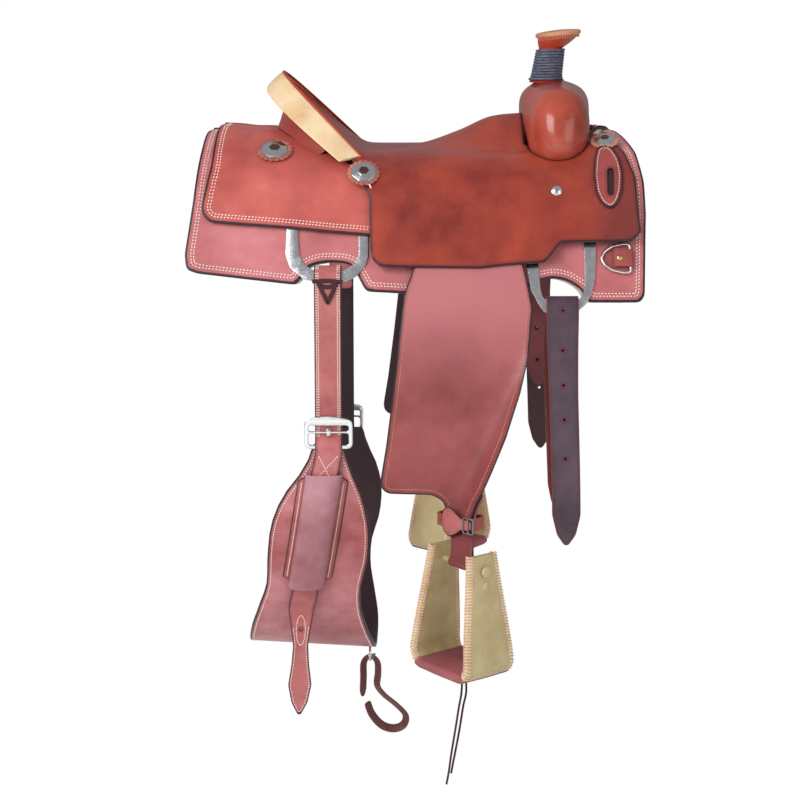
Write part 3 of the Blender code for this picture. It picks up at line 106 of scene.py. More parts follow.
def table(rows: Sequence[Sequence[float]], t: float) -> tuple[float, ...]:
    """Read an eased curve through rows of (t, value...).

    Args:
        rows: Rows in rising order of t.
        t: Where to read.

    Returns:
        The values at t, held beyond both ends.
    """
    if t <= rows[0][0]:
        return tuple(rows[0][1:])
    for low, high in zip(rows, rows[1:]):
        if t <= high[0]:
            k = smooth((t - low[0]) / (high[0] - low[0]))
            return tuple(lerp(a, b, k) for a, b in zip(low[1:], high[1:]))
    return tuple(rows[-1][1:])


def glide(rows: Sequence[Sequence[float]], at: float) -> tuple[float, ...]:
    """Columns of a table at a place, on smooth curves through its rows.

    Args:
        rows: Rows of the place and its values, in order.
        at: The place.

    Returns:
        The values there.
    """
    i = max(0, min(len(rows) - 2, sum(1 for r in rows if r[0] <= at) - 1))
    a, b = rows[i], rows[i + 1]
    before, after = rows[max(0, i - 1)], rows[min(len(rows) - 1, i + 2)]
    gap = b[0] - a[0]
    k = min(1.0, max(0.0, (at - a[0]) / gap))
    bends = (2 * k ** 3 - 3 * k ** 2 + 1, k ** 3 - 2 * k ** 2 + k, 3 * k ** 2 - 2 * k ** 3, k ** 3 - k ** 2)
    values = []
    for c in range(1, len(a)):
        lean_a = (b[c] - before[c]) / (b[0] - before[0]) * gap
        lean_b = (after[c] - a[c]) / (after[0] - a[0]) * gap
        values.append(bends[0] * a[c] + bends[1] * lean_a + bends[2] * b[c] + bends[3] * lean_b)
    return tuple(values)


def spline(points: Sequence[Vector], per: int) -> list[Vector]:
    """Pass a Catmull-Rom curve through route points.

    Args:
        points: Route points, ends held.
        per: Steps between two route points.

    Returns:
        Points along the curve.
    """
    pts = [Vector(p) for p in points]
    out = []
    for i in range(len(pts) - 1):
        a, b = pts[max(0, i - 1)], pts[i]
        c, d = pts[i + 1], pts[min(len(pts) - 1, i + 2)]
        for k in range(per):
            t = k / per
            out.append(0.5 * (2 * b + (c - a) * t + (2 * a - 5 * b + 4 * c - d) * t * t
                              + (3 * b - a - 3 * c + d) * t ** 3))
    out.append(pts[-1])
    return out


@dataclass(frozen=True)
class SaddleForm:
    """The reference surface that every leather follows, as the CAD part has it."""

    lean: float = math.atan2(1.0, 2.0)
    plane_y: float = 0.175
    tangent_w: float = 0.0391
    crown_w: float = 0.175
    spine_z: float = 0.016
    skirt_t: float = 0.005
    fleece_t: float = 0.015
    bar_t: float = 0.010
    dee_t: float = 0.004
    jockey_t: float = 0.004
    fender_t: float = 0.005
    stirrup_leather_t: float = 0.007
    seat_t: float = 0.005
    seat_base: float = 0.0143
    seat_top_lift: float = 0.004
    clear: float = 0.0003
    rim_half: float = 0.170
    rim_top: Flat = (-0.246, 0.164)
    rim_fall: Flat = (0.140, 0.136)
    wall_fall: float = 0.120
    face_reach: float = 0.118
    bend_w: float = 0.222
    bend_r: float = 0.20
    crease: tuple[Flat, Flat] = ((0.1530, 0.2300), (0.0180, 0.5230))
    curl_max: float = radians(46.0)

    def crown(self, x: float) -> float:
        """Height of the skirt's face at the spine."""
        rear = 0.054 * smooth((-0.08 - x) / 0.26)
        front = 0.044 * smooth((x - 0.195) / 0.10)
        return self.spine_z + rear + front

    def drape(self, side: int, x: float, w: float, off: float = 0.0) -> Vector:
        """Point off the skirt's face.

        Args:
            side: Sign of Y.
            x: Place along the saddle.
            w: Way down the side, from the shoulder line.
            off: Height over the face.

        Returns:
            The point in metres.
        """
        slope = pi / 2 - self.lean
        if w >= self.tangent_w:
            y = self.plane_y + w * sin(self.lean)
            z = -w * cos(self.lean)
            turn = slope
        else:
            top = self.crown(x)
            tangent = (top + self.tangent_w * cos(self.lean)) / cos(self.lean)
            flat = self.plane_y - top * tan(self.lean) - tangent
            radius = tangent / tan(slope / 2)
            run = (w + self.crown_w) / (self.tangent_w + self.crown_w) * (flat + slope * radius)
            if run <= flat:
                y, z, turn = run, top, 0.0
            else:
                turn = (run - flat) / radius
                y = flat + radius * sin(turn)
                z = top - radius * (1.0 - cos(turn))
        y += off * sin(turn)
        z += off * cos(turn)
        return Vector((x, side * y, z))

    def w_at(self, x: float, y: float) -> float:
        """The w whose point lies at |y|."""
        low, high = -self.crown_w, 0.25
        for _ in range(30):
            mid = (low + high) / 2
            if self.drape(1, x, mid).y < y:
                low = mid
            else:
                high = mid
        return (low + high) / 2

    def bar_top(self, x: float, w: float) -> float:
        """Thickness of the tree bar over the skirt."""
        ends = smooth((0.262 - abs(x)) / 0.05)
        sides = smooth((0.012 - w) / 0.05)
        return self.clear + lerp(0.004, self.bar_t, ends * sides)

    def jockey_off(self, x: float, w: float) -> float:
        """Height of the rear jockey's inner face."""
        bar = self.bar_top(x, w) if x > -0.275 and w < 0.02 else 0.0
        near = smooth((x + 0.30) / 0.05) * smooth((0.045 - w) / 0.05)
        low = self.dee_t + 2 * self.clear
        return max(low, lerp(low, self.bar_t + 6 * self.clear, near), bar + 5 * self.clear)

    def front_lift(self, x: float, w: float) -> float:
        """How far the skirt rises over its face in front of the bars, up to the seat."""
        return 0.0132 * smooth((x - 0.266) / 0.022) * smooth((0.075 - w) / 0.07)

    def seat_off(self, x: float, w: float) -> float:
        """Height of the seat leather's inner face."""
        return lerp(self.seat_base, self.seat_base + self.seat_top_lift, smooth((0.05 - w) / 0.05))

    def rim(self, y: float) -> Vector:
        """Front edge of the cantle's rim."""
        m = (abs(y) / self.rim_half) ** 2
        return Vector((self.rim_top[0] + self.rim_fall[0] * m, y, self.rim_top[1] - self.rim_fall[1] * m))

    def roll(self, y: float) -> Vector:
        """From the rim to the rear edge of the cantle's roll."""
        m = min(1.0, abs(y) / self.rim_half)
        side = 1.0 if y >= 0 else -1.0
        back = -0.025 - 0.008 * sin(pi * m) - 0.007 * m
        return Vector((back, side * 0.014 * m, -0.023 + 0.017 * m * m))

    def wall_x(self, y: float, z: float) -> float:
        """Back of the cantle, which leans back towards its top."""
        m = (abs(y) / self.rim_half) ** 2
        return self.rim_top[0] + self.wall_fall * m + 0.0045 - 0.22 * (z - self.rim(y).z + 0.023)

    def seat_centre(self, x: float) -> float:
        """Height of the seat along the spine."""
        rows = [(-0.17, 0.046), (-0.08, 0.041), (-0.02, 0.044), (0.05, 0.068), (0.10, 0.090), (0.16, 0.097)]
        return glide(rows, max(rows[0][0], min(rows[-1][0], x)))[0]

    def seat_point(self, side: int, x: float, w: float) -> Vector:
        """Outer face of the seat leather, with its dish and the cantle's face."""
        p = self.drape(side, x, w, self.seat_off(x, w) + self.seat_t)
        y = abs(p.y)
        if x < 0.162:
            half = lerp(0.105, 0.085, smooth((x + 0.05) / 0.15))
            spine = self.drape(side, x, -self.crown_w, self.seat_off(x, -self.crown_w) + self.seat_t).z
            p.z += (self.seat_centre(x) - spine) * (1.0 - smooth(y / (half * 1.35)))
        if y < self.rim_half:
            edge = self.rim(y)
            height = edge.z - 0.001 - p.z
            if height > 0:
                reach = self.face_reach * (height / 0.12) ** 0.8 + 0.012
                gone = max(0.0, x - edge.x) / reach
                if gone < 1.0:
                    p.z += height * (1.0 - gone) ** 1.6
        return p

    def whole_seat(self, x: float, w: float) -> Vector:
        """Seat face over both sides: w past the spine crosses to the other side."""
        if w < -self.crown_w:
            return self.seat_point(-1, x, -2 * self.crown_w - w)
        return self.seat_point(1, x, w)

    def curl(self, x: float, w: float) -> float:
        """Outward reach of the fender in front of its crease."""
        (xa, wa), (xb, wb) = self.crease
        length = math.hypot(xb - xa, wb - wa)
        ux, uw = (xb - xa) / length, (wb - wa) / length
        dist = (x - xa) * uw - (w - wa) * ux
        if dist <= 0:
            return 0.0
        soft = 0.030
        rise = tan(self.curl_max)
        reach = rise * dist * dist / (2 * soft) if dist < soft else rise * (dist - soft / 2)
        return reach * smooth((w - self.bend_w) / 0.12)

    def hang(self, side: int, x: float, w: float, off: float) -> Vector:
        """Fender and stirrup leather: flat on the skirt, then plumb and curled."""
        if w <= self.bend_w:
            base = self.drape(side, x, max(w, self.tangent_w), 0.0)
            if w < self.tangent_w:
                step = Vector((0, side * sin(self.lean), -cos(self.lean)))
                base = base + step * (w - self.tangent_w)
            return base + Vector((0, side * cos(self.lean), sin(self.lean))) * off
        start = self.drape(side, x, self.bend_w, 0.0)
        along = (w - self.bend_w) / self.bend_r
        turned = self.lean - min(self.lean, along)
        y = start.y * side + self.bend_r * (cos(turned) - cos(self.lean))
        z = start.z - self.bend_r * (sin(self.lean) - sin(turned))
        if along > self.lean:
            z -= w - self.bend_w - self.bend_r * self.lean
        y += cos(turned) * off + self.curl(x, w)
        z += sin(turned) * off
        return Vector((x, side * y, z))


FORM = SaddleForm()


def mm_line(*values: float) -> tuple[Flat, ...]:
    """Points in metres from pairs of millimetres."""
    return tuple((a * MM, b * MM) for a, b in zip(values[::2], values[1::2]))


def box(x0: float, y0: float, x1: float, y1: float) -> list[Flat]:
    """Corners of a rectangle."""
    return [(x0, y0), (x1, y0), (x1, y1), (x0, y1)]


def run_along(line: np.ndarray) -> np.ndarray:
    """Way along a polyline at each of its points."""
    return np.concatenate([[0.0], np.cumsum(np.linalg.norm(np.diff(line, axis=0), axis=1))])


def stitch_at(centre: Vector, long: Vector, across: Vector, up: Vector) -> Matrix:
    """Where a pill lies, from its middle and its three axes."""
    return Matrix.Translation(centre) @ Matrix((long, across, up)).transposed().to_4x4()


def normal_of(face: Callable[[float, float], Vector], a: float, b: float, like: Vector) -> Vector:
    """Normal of a formed face, turned to the side of a given direction."""
    h = 0.0008
    n = (face(a + h, b) - face(a - h, b)).cross(face(a, b + h) - face(a, b - h))
    if n.length < 1e-12:
        return like.normalized()
    n.normalize()
    return n if n.dot(like) >= 0 else -n


def seat_spot(side: Side, x: float, w: float) -> tuple[Vector, Vector]:
    """Point and outward normal on the seat's face."""
    def face(a: float, b: float) -> Vector:
        return FORM.seat_point(side.value, a, b)
    return face(x, w), normal_of(face, x, w, Vector((0.0, side.value, 0.5)))


def rounded(points: Sequence[Flat], radius: float, steps: int = 4) -> list[Flat]:
    """Round the corners of a closed outline.

    Args:
        points: Corners in order.
        radius: Corner radius, cut down where an edge is short.
        steps: Chords in each corner.

    Returns:
        The rounded outline.
    """
    out: list[Flat] = []
    count = len(points)
    for i, here in enumerate(points):
        a = Vector(points[i - 1]) - Vector(here)
        b = Vector(points[(i + 1) % count]) - Vector(here)
        if a.length < 1e-9 or b.length < 1e-9:
            continue
        angle = a.normalized().angle(b.normalized())
        if angle > radians(172.0):
            out.append((here[0], here[1]))
            continue
        cut = min(radius / tan(angle / 2), a.length * 0.45, b.length * 0.45)
        p, q = Vector(here) + a.normalized() * cut, Vector(here) + b.normalized() * cut
        for k in range(steps + 1):
            t = k / steps
            bend = p.lerp(Vector(here), t).lerp(Vector(here).lerp(q, t), t)
            out.append((bend.x, bend.y))
    return out


def even(points: Sequence[Flat], step: float, closed: bool = True) -> list[Flat]:
    """Space points evenly along a polyline.

    Args:
        points: The line's points.
        step: Largest spacing wanted.
        closed: Whether the last point joins the first.

    Returns:
        Evenly spaced points; an open line keeps both ends.
    """
    pts = np.array(list(points) + ([points[0]] if closed else []), float)
    run = run_along(pts)
    count = max(3, int(math.ceil(run[-1] / step)))
    where = np.linspace(0.0, run[-1], count + 1)
    if closed:
        where = where[:-1]
    xs, ys = np.interp(where, run, pts[:, 0]), np.interp(where, run, pts[:, 1])
    return list(zip(xs.tolist(), ys.tolist()))


def softened(points: Sequence[Flat], radius: float, step: float) -> list[Flat]:
    """Outline with round corners and no kinks, evenly spaced."""
    line = even(rounded(points, radius), step)
    pts = np.array(line)
    for _ in range(3):
        pts = 0.25 * np.roll(pts, 1, axis=0) + 0.5 * pts + 0.25 * np.roll(pts, -1, axis=0)
    return [tuple(p) for p in pts.tolist()]


def distance_to(points: np.ndarray, line: Sequence[Flat]) -> np.ndarray:
    """Distance of flat points to a closed line."""
    a = np.array(line, float)
    b = np.roll(a, -1, axis=0)
    ab = b - a
    length = np.maximum((ab ** 2).sum(1), 1e-18)
    best = np.full(len(points), 1e9)
    for start in range(0, len(points), 2000):
        p = points[start:start + 2000, None, :]
        t = np.clip(((p - a) * ab).sum(2) / length, 0.0, 1.0)
        near = a + t[..., None] * ab
        best[start:start + 2000] = np.sqrt(((p - near) ** 2).sum(2)).min(1)
    return best


def inside_line(line: Sequence[Flat], inset: float) -> list[list[Flat]]:
    """Lines that run at a fixed distance inside a closed outline.

    Args:
        line: The outline.
        inset: The distance.

    Returns:
        One list of points for each unbroken run.
    """
    pts = np.array(even(line, 0.0012))
    ahead = np.roll(pts, -2, axis=0) - np.roll(pts, 2, axis=0)
    ahead /= np.maximum(np.linalg.norm(ahead, axis=1)[:, None], 1e-9)
    area = 0.5 * np.sum(pts[:, 0] * np.roll(pts[:, 1], -1) - np.roll(pts[:, 0], -1) * pts[:, 1])
    n = np.stack([-ahead[:, 1], ahead[:, 0]], 1) * (1.0 if area > 0 else -1.0)
    moved = pts + n * inset
    keep = distance_to(moved, even(line, 0.003)) > inset * 0.965
    return [[tuple(p) for p in moved[keep].tolist()]]


def finished_mesh(bm: BMesh, name: str, sharp: float = 40.0) -> Object:
    """Turn a bmesh into an object with outward, smooth faces.

    Args:
        bm: The closed mesh; it is freed.
        name: Name of the new object.
        sharp: Angle in degrees past which an edge stays sharp.

    Returns:
        The linked object, at the origin.
    """
    bmesh.ops.recalc_face_normals(bm, faces=bm.faces)
    if bm.calc_volume(signed=True) < 0:
        bmesh.ops.reverse_faces(bm, faces=bm.faces)
    mesh = bpy.data.meshes.new(name)
    bm.to_mesh(mesh)
    bm.free()
    mesh.shade_smooth()
    mesh.set_sharp_from_angle(angle=radians(sharp))
    obj = bpy.data.objects.new(name, mesh)
    bpy.context.scene.collection.objects.link(obj)
    return obj


@dataclass
class Plate:
    """A piece cut flat, with round edges, and then formed in place.

    Flat coordinates are the form's own: x and the way down for leathers, or x and
    the way along for straps.
    """

    name: str
    outline: Sequence[Flat]
    thickness: float
    place: Place
    holes: Sequence[Sequence[Flat]] = ()
    edge: float = 0.0014
    edge_steps: int = 3
    cell: float = 0.008

    def build(self) -> Object:
        """Cut, thicken, round and form the plate.

        Returns:
            The object, with a UV map in metres and an "edge" attribute that holds
            the distance to the cut edge in metres.
        """
        bm = bmesh.new()
        faces = self._cut(bm)
        self._thicken(bm, faces)
        self._divide(bm)
        flat = np.array([tuple(v.co) for v in bm.verts])
        lines = [even(self.outline, 0.004)] + [even(h, 0.002) for h in self.holes]
        dist = np.min([distance_to(flat[:, :2], line) for line in lines], axis=0)
        dist *= np.where(flat[:, 2] > self.thickness * 0.4, 1.0, 0.0)
        layer = bm.verts.layers.float.new("edge")
        uv = bm.loops.layers.uv.new("cut")
        for face in bm.faces:
            for loop in face.loops:
                loop[uv].uv = (loop.vert.co.x, loop.vert.co.y)
        for vert, d in zip(bm.verts, dist):
            vert[layer] = float(d)
            vert.co = self.place(*vert.co)
        return finished_mesh(bm, self.name)

    def _cut(self, bm: BMesh) -> list[BMFace]:
        """Fill the outline, leaving its holes open."""
        if not self.holes:
            return [bm.faces.new([bm.verts.new((x, w, 0.0)) for x, w in self.outline])]
        edges = []
        for line in (self.outline, *self.holes):
            verts = [bm.verts.new((x, w, 0.0)) for x, w in line]
            edges += [bm.edges.new((v, verts[(i + 1) % len(verts)])) for i, v in enumerate(verts)]
        bmesh.ops.triangle_fill(bm, use_beauty=True, use_dissolve=False, edges=edges)
        return list(bm.faces)

    def _thicken(self, bm: BMesh, faces: list[BMFace]) -> None:
        """Raise the cut shape to its thickness and round its edges over."""
        up = bmesh.ops.extrude_face_region(bm, geom=faces, use_keep_orig=True)
        raised = [g for g in up["geom"] if isinstance(g, BMVert)]
        bmesh.ops.translate(bm, verts=raised, vec=(0.0, 0.0, self.thickness))
        bmesh.ops.recalc_face_normals(bm, faces=bm.faces)
        if self.edge <= 0.0:
            return
        rims = [e for e in bm.edges if len(e.link_faces) == 2
                and abs(e.link_faces[0].normal.z) + abs(e.link_faces[1].normal.z) > 0.9
                and abs(e.link_faces[0].normal.z) * abs(e.link_faces[1].normal.z) < 0.1]
        bmesh.ops.bevel(bm, geom=rims, offset=min(self.edge, self.thickness * 0.46), offset_type="OFFSET",
                        segments=self.edge_steps, profile=0.5, affect="EDGES", material=-1, clamp_overlap=True)

    def _divide(self, bm: BMesh) -> None:
        """Cut the plate into cells small enough to be bent."""
        for axis in (0, 1):
            values = [p[axis] for p in self.outline]
            low, high = min(values), max(values)
            count = max(1, round((high - low) / self.cell))
            for i in range(1, count):
                normal = Vector((1 - axis, axis, 0))
                bmesh.ops.bisect_plane(bm, geom=bm.verts[:] + bm.edges[:] + bm.faces[:], dist=1e-6,
                                       plane_co=normal * lerp(low, high, i / count), plane_no=normal)
        bmesh.ops.remove_doubles(bm, verts=bm.verts, dist=1e-6)


def formed_grid(name: str, rings: Sequence[Sequence[Vector]], looped: bool = False,
                sharp: float = 40.0) -> Object:
    """Skin closed rings of points, in order.

    Args:
        name: Name of the object.
        rings: Rings with the same number of points each.
        looped: Whether the last ring joins the first; else the end rings are filled.
        sharp: Angle in degrees past which an edge stays sharp.

    Returns:
        The object, with a UV map along and around the piece.
    """
    bm = bmesh.new()
    around, along = len(rings[0]), len(rings)
    bmesh.ops.create_grid(bm, x_segments=around, y_segments=along - (0 if looped else 1), size=1.0, calc_uvs=False)
    bm.verts.ensure_lookup_table()
    uv = bm.loops.layers.uv.new("cut")
    order = sorted(bm.verts, key=lambda v: (round(v.co.y, 5), round(v.co.x, 5)))
    spot = {v: (i // (around + 1), i % (around + 1)) for i, v in enumerate(order)}
    for face in bm.faces:
        for loop in face.loops:
            j, i = spot[loop.vert]
            loop[uv].uv = (i / around, j / max(1, along - 1))
    for vert, (j, i) in spot.items():
        vert.co = rings[j % along][i % around]
    bmesh.ops.remove_doubles(bm, verts=bm.verts, dist=1e-7)
    if not looped:
        bmesh.ops.holes_fill(bm, edges=[e for e in bm.edges if e.is_boundary], sides=0)
    return finished_mesh(bm, name, sharp)


def lathe(name: str, profile: Sequence[Flat], centre: Vector, axis: Vector, steps: int = 48,
          sharp: float = 35.0) -> Object:
    """Turn a profile of (radius, height) about an axis by a full spin."""
    bm = bmesh.new()
    verts = [bm.verts.new((r, 0.0, h)) for r, h in profile]
    edges = [bm.edges.new(pair) for pair in zip(verts, verts[1:])]
    bmesh.ops.spin(bm, geom=verts + edges, cent=(0, 0, 0), axis=(0, 0, 1), angle=2 * pi, steps=steps,
                   use_merge=True)
    bmesh.ops.remove_doubles(bm, verts=bm.verts, dist=1e-6)
    turn = Vector((0, 0, 1)).rotation_difference(axis.normalized()).to_matrix().to_4x4()
    bmesh.ops.transform(bm, matrix=Matrix.Translation(centre) @ turn, verts=bm.verts)
    return finished_mesh(bm, name, sharp)


def round_section(width: float, thick: float, corner: float) -> list[Flat]:
    """Rectangle with round corners, as (across, up) pairs."""
    a, b = width / 2, thick / 2
    return rounded(box(-a, -b, a, b), corner, 3)


def bar_section(width: float, thick: float, corner: float) -> Callable[[float], list[Flat]]:
    """The same round-cornered section all along, from millimetres."""
    ring = round_section(width * MM, thick * MM, corner * MM)
    return lambda t: ring


def round_band(width: float, thick: float, corner: float) -> list[Flat]:
    """A round-cornered section that stands on its base line."""
    return [(a, b + thick / 2) for a, b in round_section(width, thick, corner)]


def carried(path: Sequence[Vector], section: Callable[[float], Sequence[Flat]], up: Vector,
            closed: bool = False) -> list[list[Vector]]:
    """Rings of a section carried along a path.

    Args:
        path: Points of the path.
        section: Section as (across, up) pairs, for a way along from 0 to 1.
        up: Direction that the section's second axis keeps near.
        closed: Whether the path joins itself.

    Returns:
        One ring of points for each path point.
    """
    rings = []
    count = len(path)
    for i, p in enumerate(path):
        before = path[i - 1] if closed or i else path[i]
        after = path[(i + 1) % count] if closed or i < count - 1 else path[i]
        run = (Vector(after) - Vector(before)).normalized()
        across = run.cross(up).normalized()
        lift = across.cross(run).normalized()
        rings.append([Vector(p) + across * a + lift * b for a, b in section(i / max(1, count - 1))])
    return rings


def circle(radius: float, count: int) -> list[Flat]:
    """Round section."""
    return [(radius * cos(2 * pi * i / count), radius * sin(2 * pi * i / count))
            for i in range(count)]


def template(sides: int, rings: int) -> tuple[np.ndarray, np.ndarray]:
    """A small pill along X, one long and one across, as vertices and faces."""
    bm = bmesh.new()
    bmesh.ops.create_uvsphere(bm, u_segments=sides, v_segments=rings, radius=0.5)
    bmesh.ops.rotate(bm, verts=bm.verts, cent=(0, 0, 0), matrix=Matrix.Rotation(pi / 2, 3, "Y"))
    bmesh.ops.triangulate(bm, faces=[f for f in bm.faces if len(f.verts) > 4])
    bm.verts.ensure_lookup_table()
    verts = np.array([tuple(v.co) for v in bm.verts])
    faces = np.array([[v.index for v in f.verts] + ([f.verts[2].index] if len(f.verts) == 3 else [])
                      for f in bm.faces])
    bm.free()
    return verts, faces


def repeated(name: str, verts: np.ndarray, faces: np.ndarray, spots: Sequence[Matrix]) -> Object:
    """Copy a small shape to many spots, as one mesh.

    Args:
        name: Name of the object.
        verts: The small shape's points.
        faces: Its faces of four corners, the last one doubled in a triangle.
        spots: A matrix for each copy.

    Returns:
        The object.
    """
    homog = np.concatenate([verts, np.ones((len(verts), 1))], axis=1)
    mats = np.array([np.array(m) for m in spots])
    points = np.einsum("nij,kj->nki", mats, homog)[:, :, :3].reshape(-1, 3)
    loops = []
    for k in range(len(spots)):
        base = k * len(verts)
        for face in faces.tolist():
            corners = face[:3] if face[3] == face[2] else face
            loops.append([c + base for c in corners])
    mesh = bpy.data.meshes.new(name)
    mesh.from_pydata(points.tolist(), [], loops)
    mesh.shade_smooth()
    obj = bpy.data.objects.new(name, mesh)
    bpy.context.scene.collection.objects.link(obj)
    return obj


@dataclass(frozen=True)
class Thread:
    """A row of stitches along a seam, with its sizes in millimetres."""

    pitch: float = 5.4
    length: float = 3.7
    width: float = 2.2
    sink: float = 0.15
    slant: float = 0.10

    def sew(self, name: str, lines: Iterable[Line], place: Place, top: float, where: Test | None) -> Object | None:
        """Lay stitches on a formed plate.

        Args:
            name: Name of the object.
            lines: Seam lines in the plate's flat coordinates.
            place: The plate's forming function.
            top: Height of the plate's face.
            where: Test that leaves stitches out where it is false.

        Returns:
            One object that holds all stitches, or None if there are none.
        """
        pitch, wide = self.pitch * MM, self.width * MM
        spots: list[Matrix] = []
        for line in lines:
            pts = even(line, pitch, closed=False)
            for a, b in zip(pts, pts[1:]):
                mid = ((a[0] + b[0]) / 2, (a[1] + b[1]) / 2)
                if not 1e-5 <= math.dist(a, b) <= pitch * 2.2 or (where and not where(*mid)):
                    continue
                centre = place(*mid, top - self.sink * MM)
                run = (place(*b, top) - place(*a, top)).normalized()
                up = (place(*mid, top + MM) - centre).normalized()
                run = (run + up.cross(run).normalized() * self.slant).normalized()
                across = up.cross(run).normalized()
                spots.append(stitch_at(centre, run * (self.length * MM), across * wide, up * wide))
        return repeated(name, *template(6, 4), spots) if spots else None


WIDE_STITCH = Thread()


def srgb(red: float, green: float, blue: float) -> Colour:
    """Linear colour of a display colour given in 0 to 255."""
    return tuple(((c / 255.0 + 0.055) / 1.055) ** 2.4 if c > 10 else c / 255.0 / 12.92
                 for c in (red, green, blue))


class Bench:
    """A short hand for laying out shader nodes."""

    def __init__(self, tree: NodeTree) -> None:
        """Work on one node tree."""
        self.tree = tree

    def put(self, target: NodeSocket, value: object) -> None:
        """Feed a socket with a link or a plain value."""
        if isinstance(value, NodeSocket):
            self.tree.links.new(value, target)
        elif isinstance(value, tuple) and len(value) == 3 and target.type == "RGBA":
            target.default_value = (*value, 1.0)
        else:
            target.default_value = value

    def node(self, kind: str, inputs: dict[str | int, object] | None = None, **props: object) -> Node:
        """Add a node, set its properties and feed its inputs."""
        made = self.tree.nodes.new(kind)
        for key, value in props.items():
            setattr(made, key, value)
        for key, value in (inputs or {}).items():
            self.put(made.inputs[key], value)
        return made

    def math(self, operation: str, a: object, b: object = 0.0, c: object = 0.0,
             clamp: bool = False) -> NodeSocket:
        """One math node."""
        return self.node("ShaderNodeMath", {0: a, 1: b, 2: c}, operation=operation, use_clamp=clamp).outputs[0]

    def ramp(self, value: object, low: object, high: object, out_low: float = 0.0,
             out_high: float = 1.0) -> NodeSocket:
        """Smoothly map a range to another."""
        made = self.node("ShaderNodeMapRange", {"Value": value, "From Min": low, "From Max": high, "To Min": out_low,
                                                "To Max": out_high}, interpolation_type="SMOOTHSTEP")
        return made.outputs[0]

    def mix(self, factor: object, a: object, b: object, blend: str = "MIX") -> NodeSocket:
        """Mix two colours."""
        made = self.node("ShaderNodeMix", data_type="RGBA", blend_type=blend)
        self.put(made.inputs[0], factor)
        self.put(made.inputs[6], a)
        self.put(made.inputs[7], b)
        return made.outputs[2]

    def noise(self, vector: object, scale: object, detail: float = 3.0, rough: float = 0.55) -> NodeSocket:
        """Soft noise between 0 and 1."""
        made = self.node("ShaderNodeTexNoise", {"Vector": vector, "Scale": scale, "Detail": detail,
                                                "Roughness": rough})
        return made.outputs["Fac"]

    def cells(self, vector: object, scale: object) -> NodeSocket:
        """Distance to the nearest of scattered points."""
        return self.node("ShaderNodeTexVoronoi", {"Vector": vector, "Scale": scale}).outputs["Distance"]

    def group(self, tree: NodeTree, inputs: dict[str, object]) -> Node:
        """Place a shared node group."""
        made = self.tree.nodes.new("ShaderNodeGroup")
        made.node_tree = tree
        for key, value in inputs.items():
            self.put(made.inputs[key], value)
        return made


def shared_group(name: str, takes: dict[str, tuple[str, object]], gives: dict[str, str],
                 fill: Callable[[Bench, dict, dict], None]) -> NodeTree:
    """Make a node group once, and hand it back later.

    Args:
        name: Name of the group.
        takes: Input names with their kind and usual value.
        gives: Output names with their kind.
        fill: Lays out the inside, given the inputs and the output sockets.

    Returns:
        The node group.
    """
    found = bpy.data.node_groups.get(name)
    if found:
        return found
    tree = bpy.data.node_groups.new(name, "ShaderNodeTree")
    for key, (kind, usual) in takes.items():
        made = tree.interface.new_socket(name=key, in_out="INPUT", socket_type="NodeSocket" + kind)
        if usual is not None:
            made.default_value = usual
    for key, kind in gives.items():
        tree.interface.new_socket(name=key, in_out="OUTPUT", socket_type="NodeSocket" + kind)
    source = tree.nodes.new("NodeGroupInput")
    sink = tree.nodes.new("NodeGroupOutput")
    fill(Bench(tree), {s.name: s for s in source.outputs if s.name}, {s.name: s for s in sink.inputs if s.name})
    return tree


def hide_grain() -> NodeTree:
    """Fine pores and long creases of a smooth hide, as a height."""

    def fill(bench: Bench, given: dict, out: dict) -> None:
        pores = bench.cells(given["Vector"], bench.math("MULTIPLY", given["Scale"], 1.0))
        fine = bench.noise(given["Vector"], bench.math("MULTIPLY", given["Scale"], 0.45), 4.0, 0.6)
        broad = bench.noise(given["Vector"], 22.0, 2.0, 0.5)
        height = bench.math("MULTIPLY_ADD", pores, 0.35, bench.math("MULTIPLY", fine, 0.8))
        height = bench.math("MULTIPLY_ADD", broad, given["Swell"], height)
        bench.put(out["Height"], height)

    return shared_group("hide_grain", {"Vector": ("Vector", None), "Scale": ("Float", 900.0),
                                       "Swell": ("Float", 2.0)}, {"Height": "Float"}, fill)


def hide_colour() -> NodeTree:
    """Cloudy colour of oiled leather, with faint rubbed marks."""

    def fill(bench: Bench, given: dict, out: dict) -> None:
        cloud = bench.noise(given["Vector"], 9.0, 4.0, 0.6)
        patch = bench.noise(given["Vector"], 38.0, 3.0, 0.6)
        speck = bench.noise(given["Vector"], 420.0, 3.0, 0.7)
        deep = bench.mix(bench.ramp(cloud, 0.30, 0.70), given["Dark"], given["Light"])
        tone = bench.mix(bench.ramp(patch, 0.25, 0.75, 0.15, 0.65), deep, given["Colour"])
        tone = bench.mix(bench.ramp(speck, 0.55, 0.85, 0.0, 0.35), tone, given["Dark"])
        bench.put(out["Colour"], tone)
        bench.put(out["Patch"], patch)

    kinds = {"Vector": ("Vector", None), "Colour": ("Color", None), "Dark": ("Color", None),
             "Light": ("Color", None)}
    return shared_group("hide_colour", kinds, {"Colour": "Color", "Patch": "Float"}, fill)


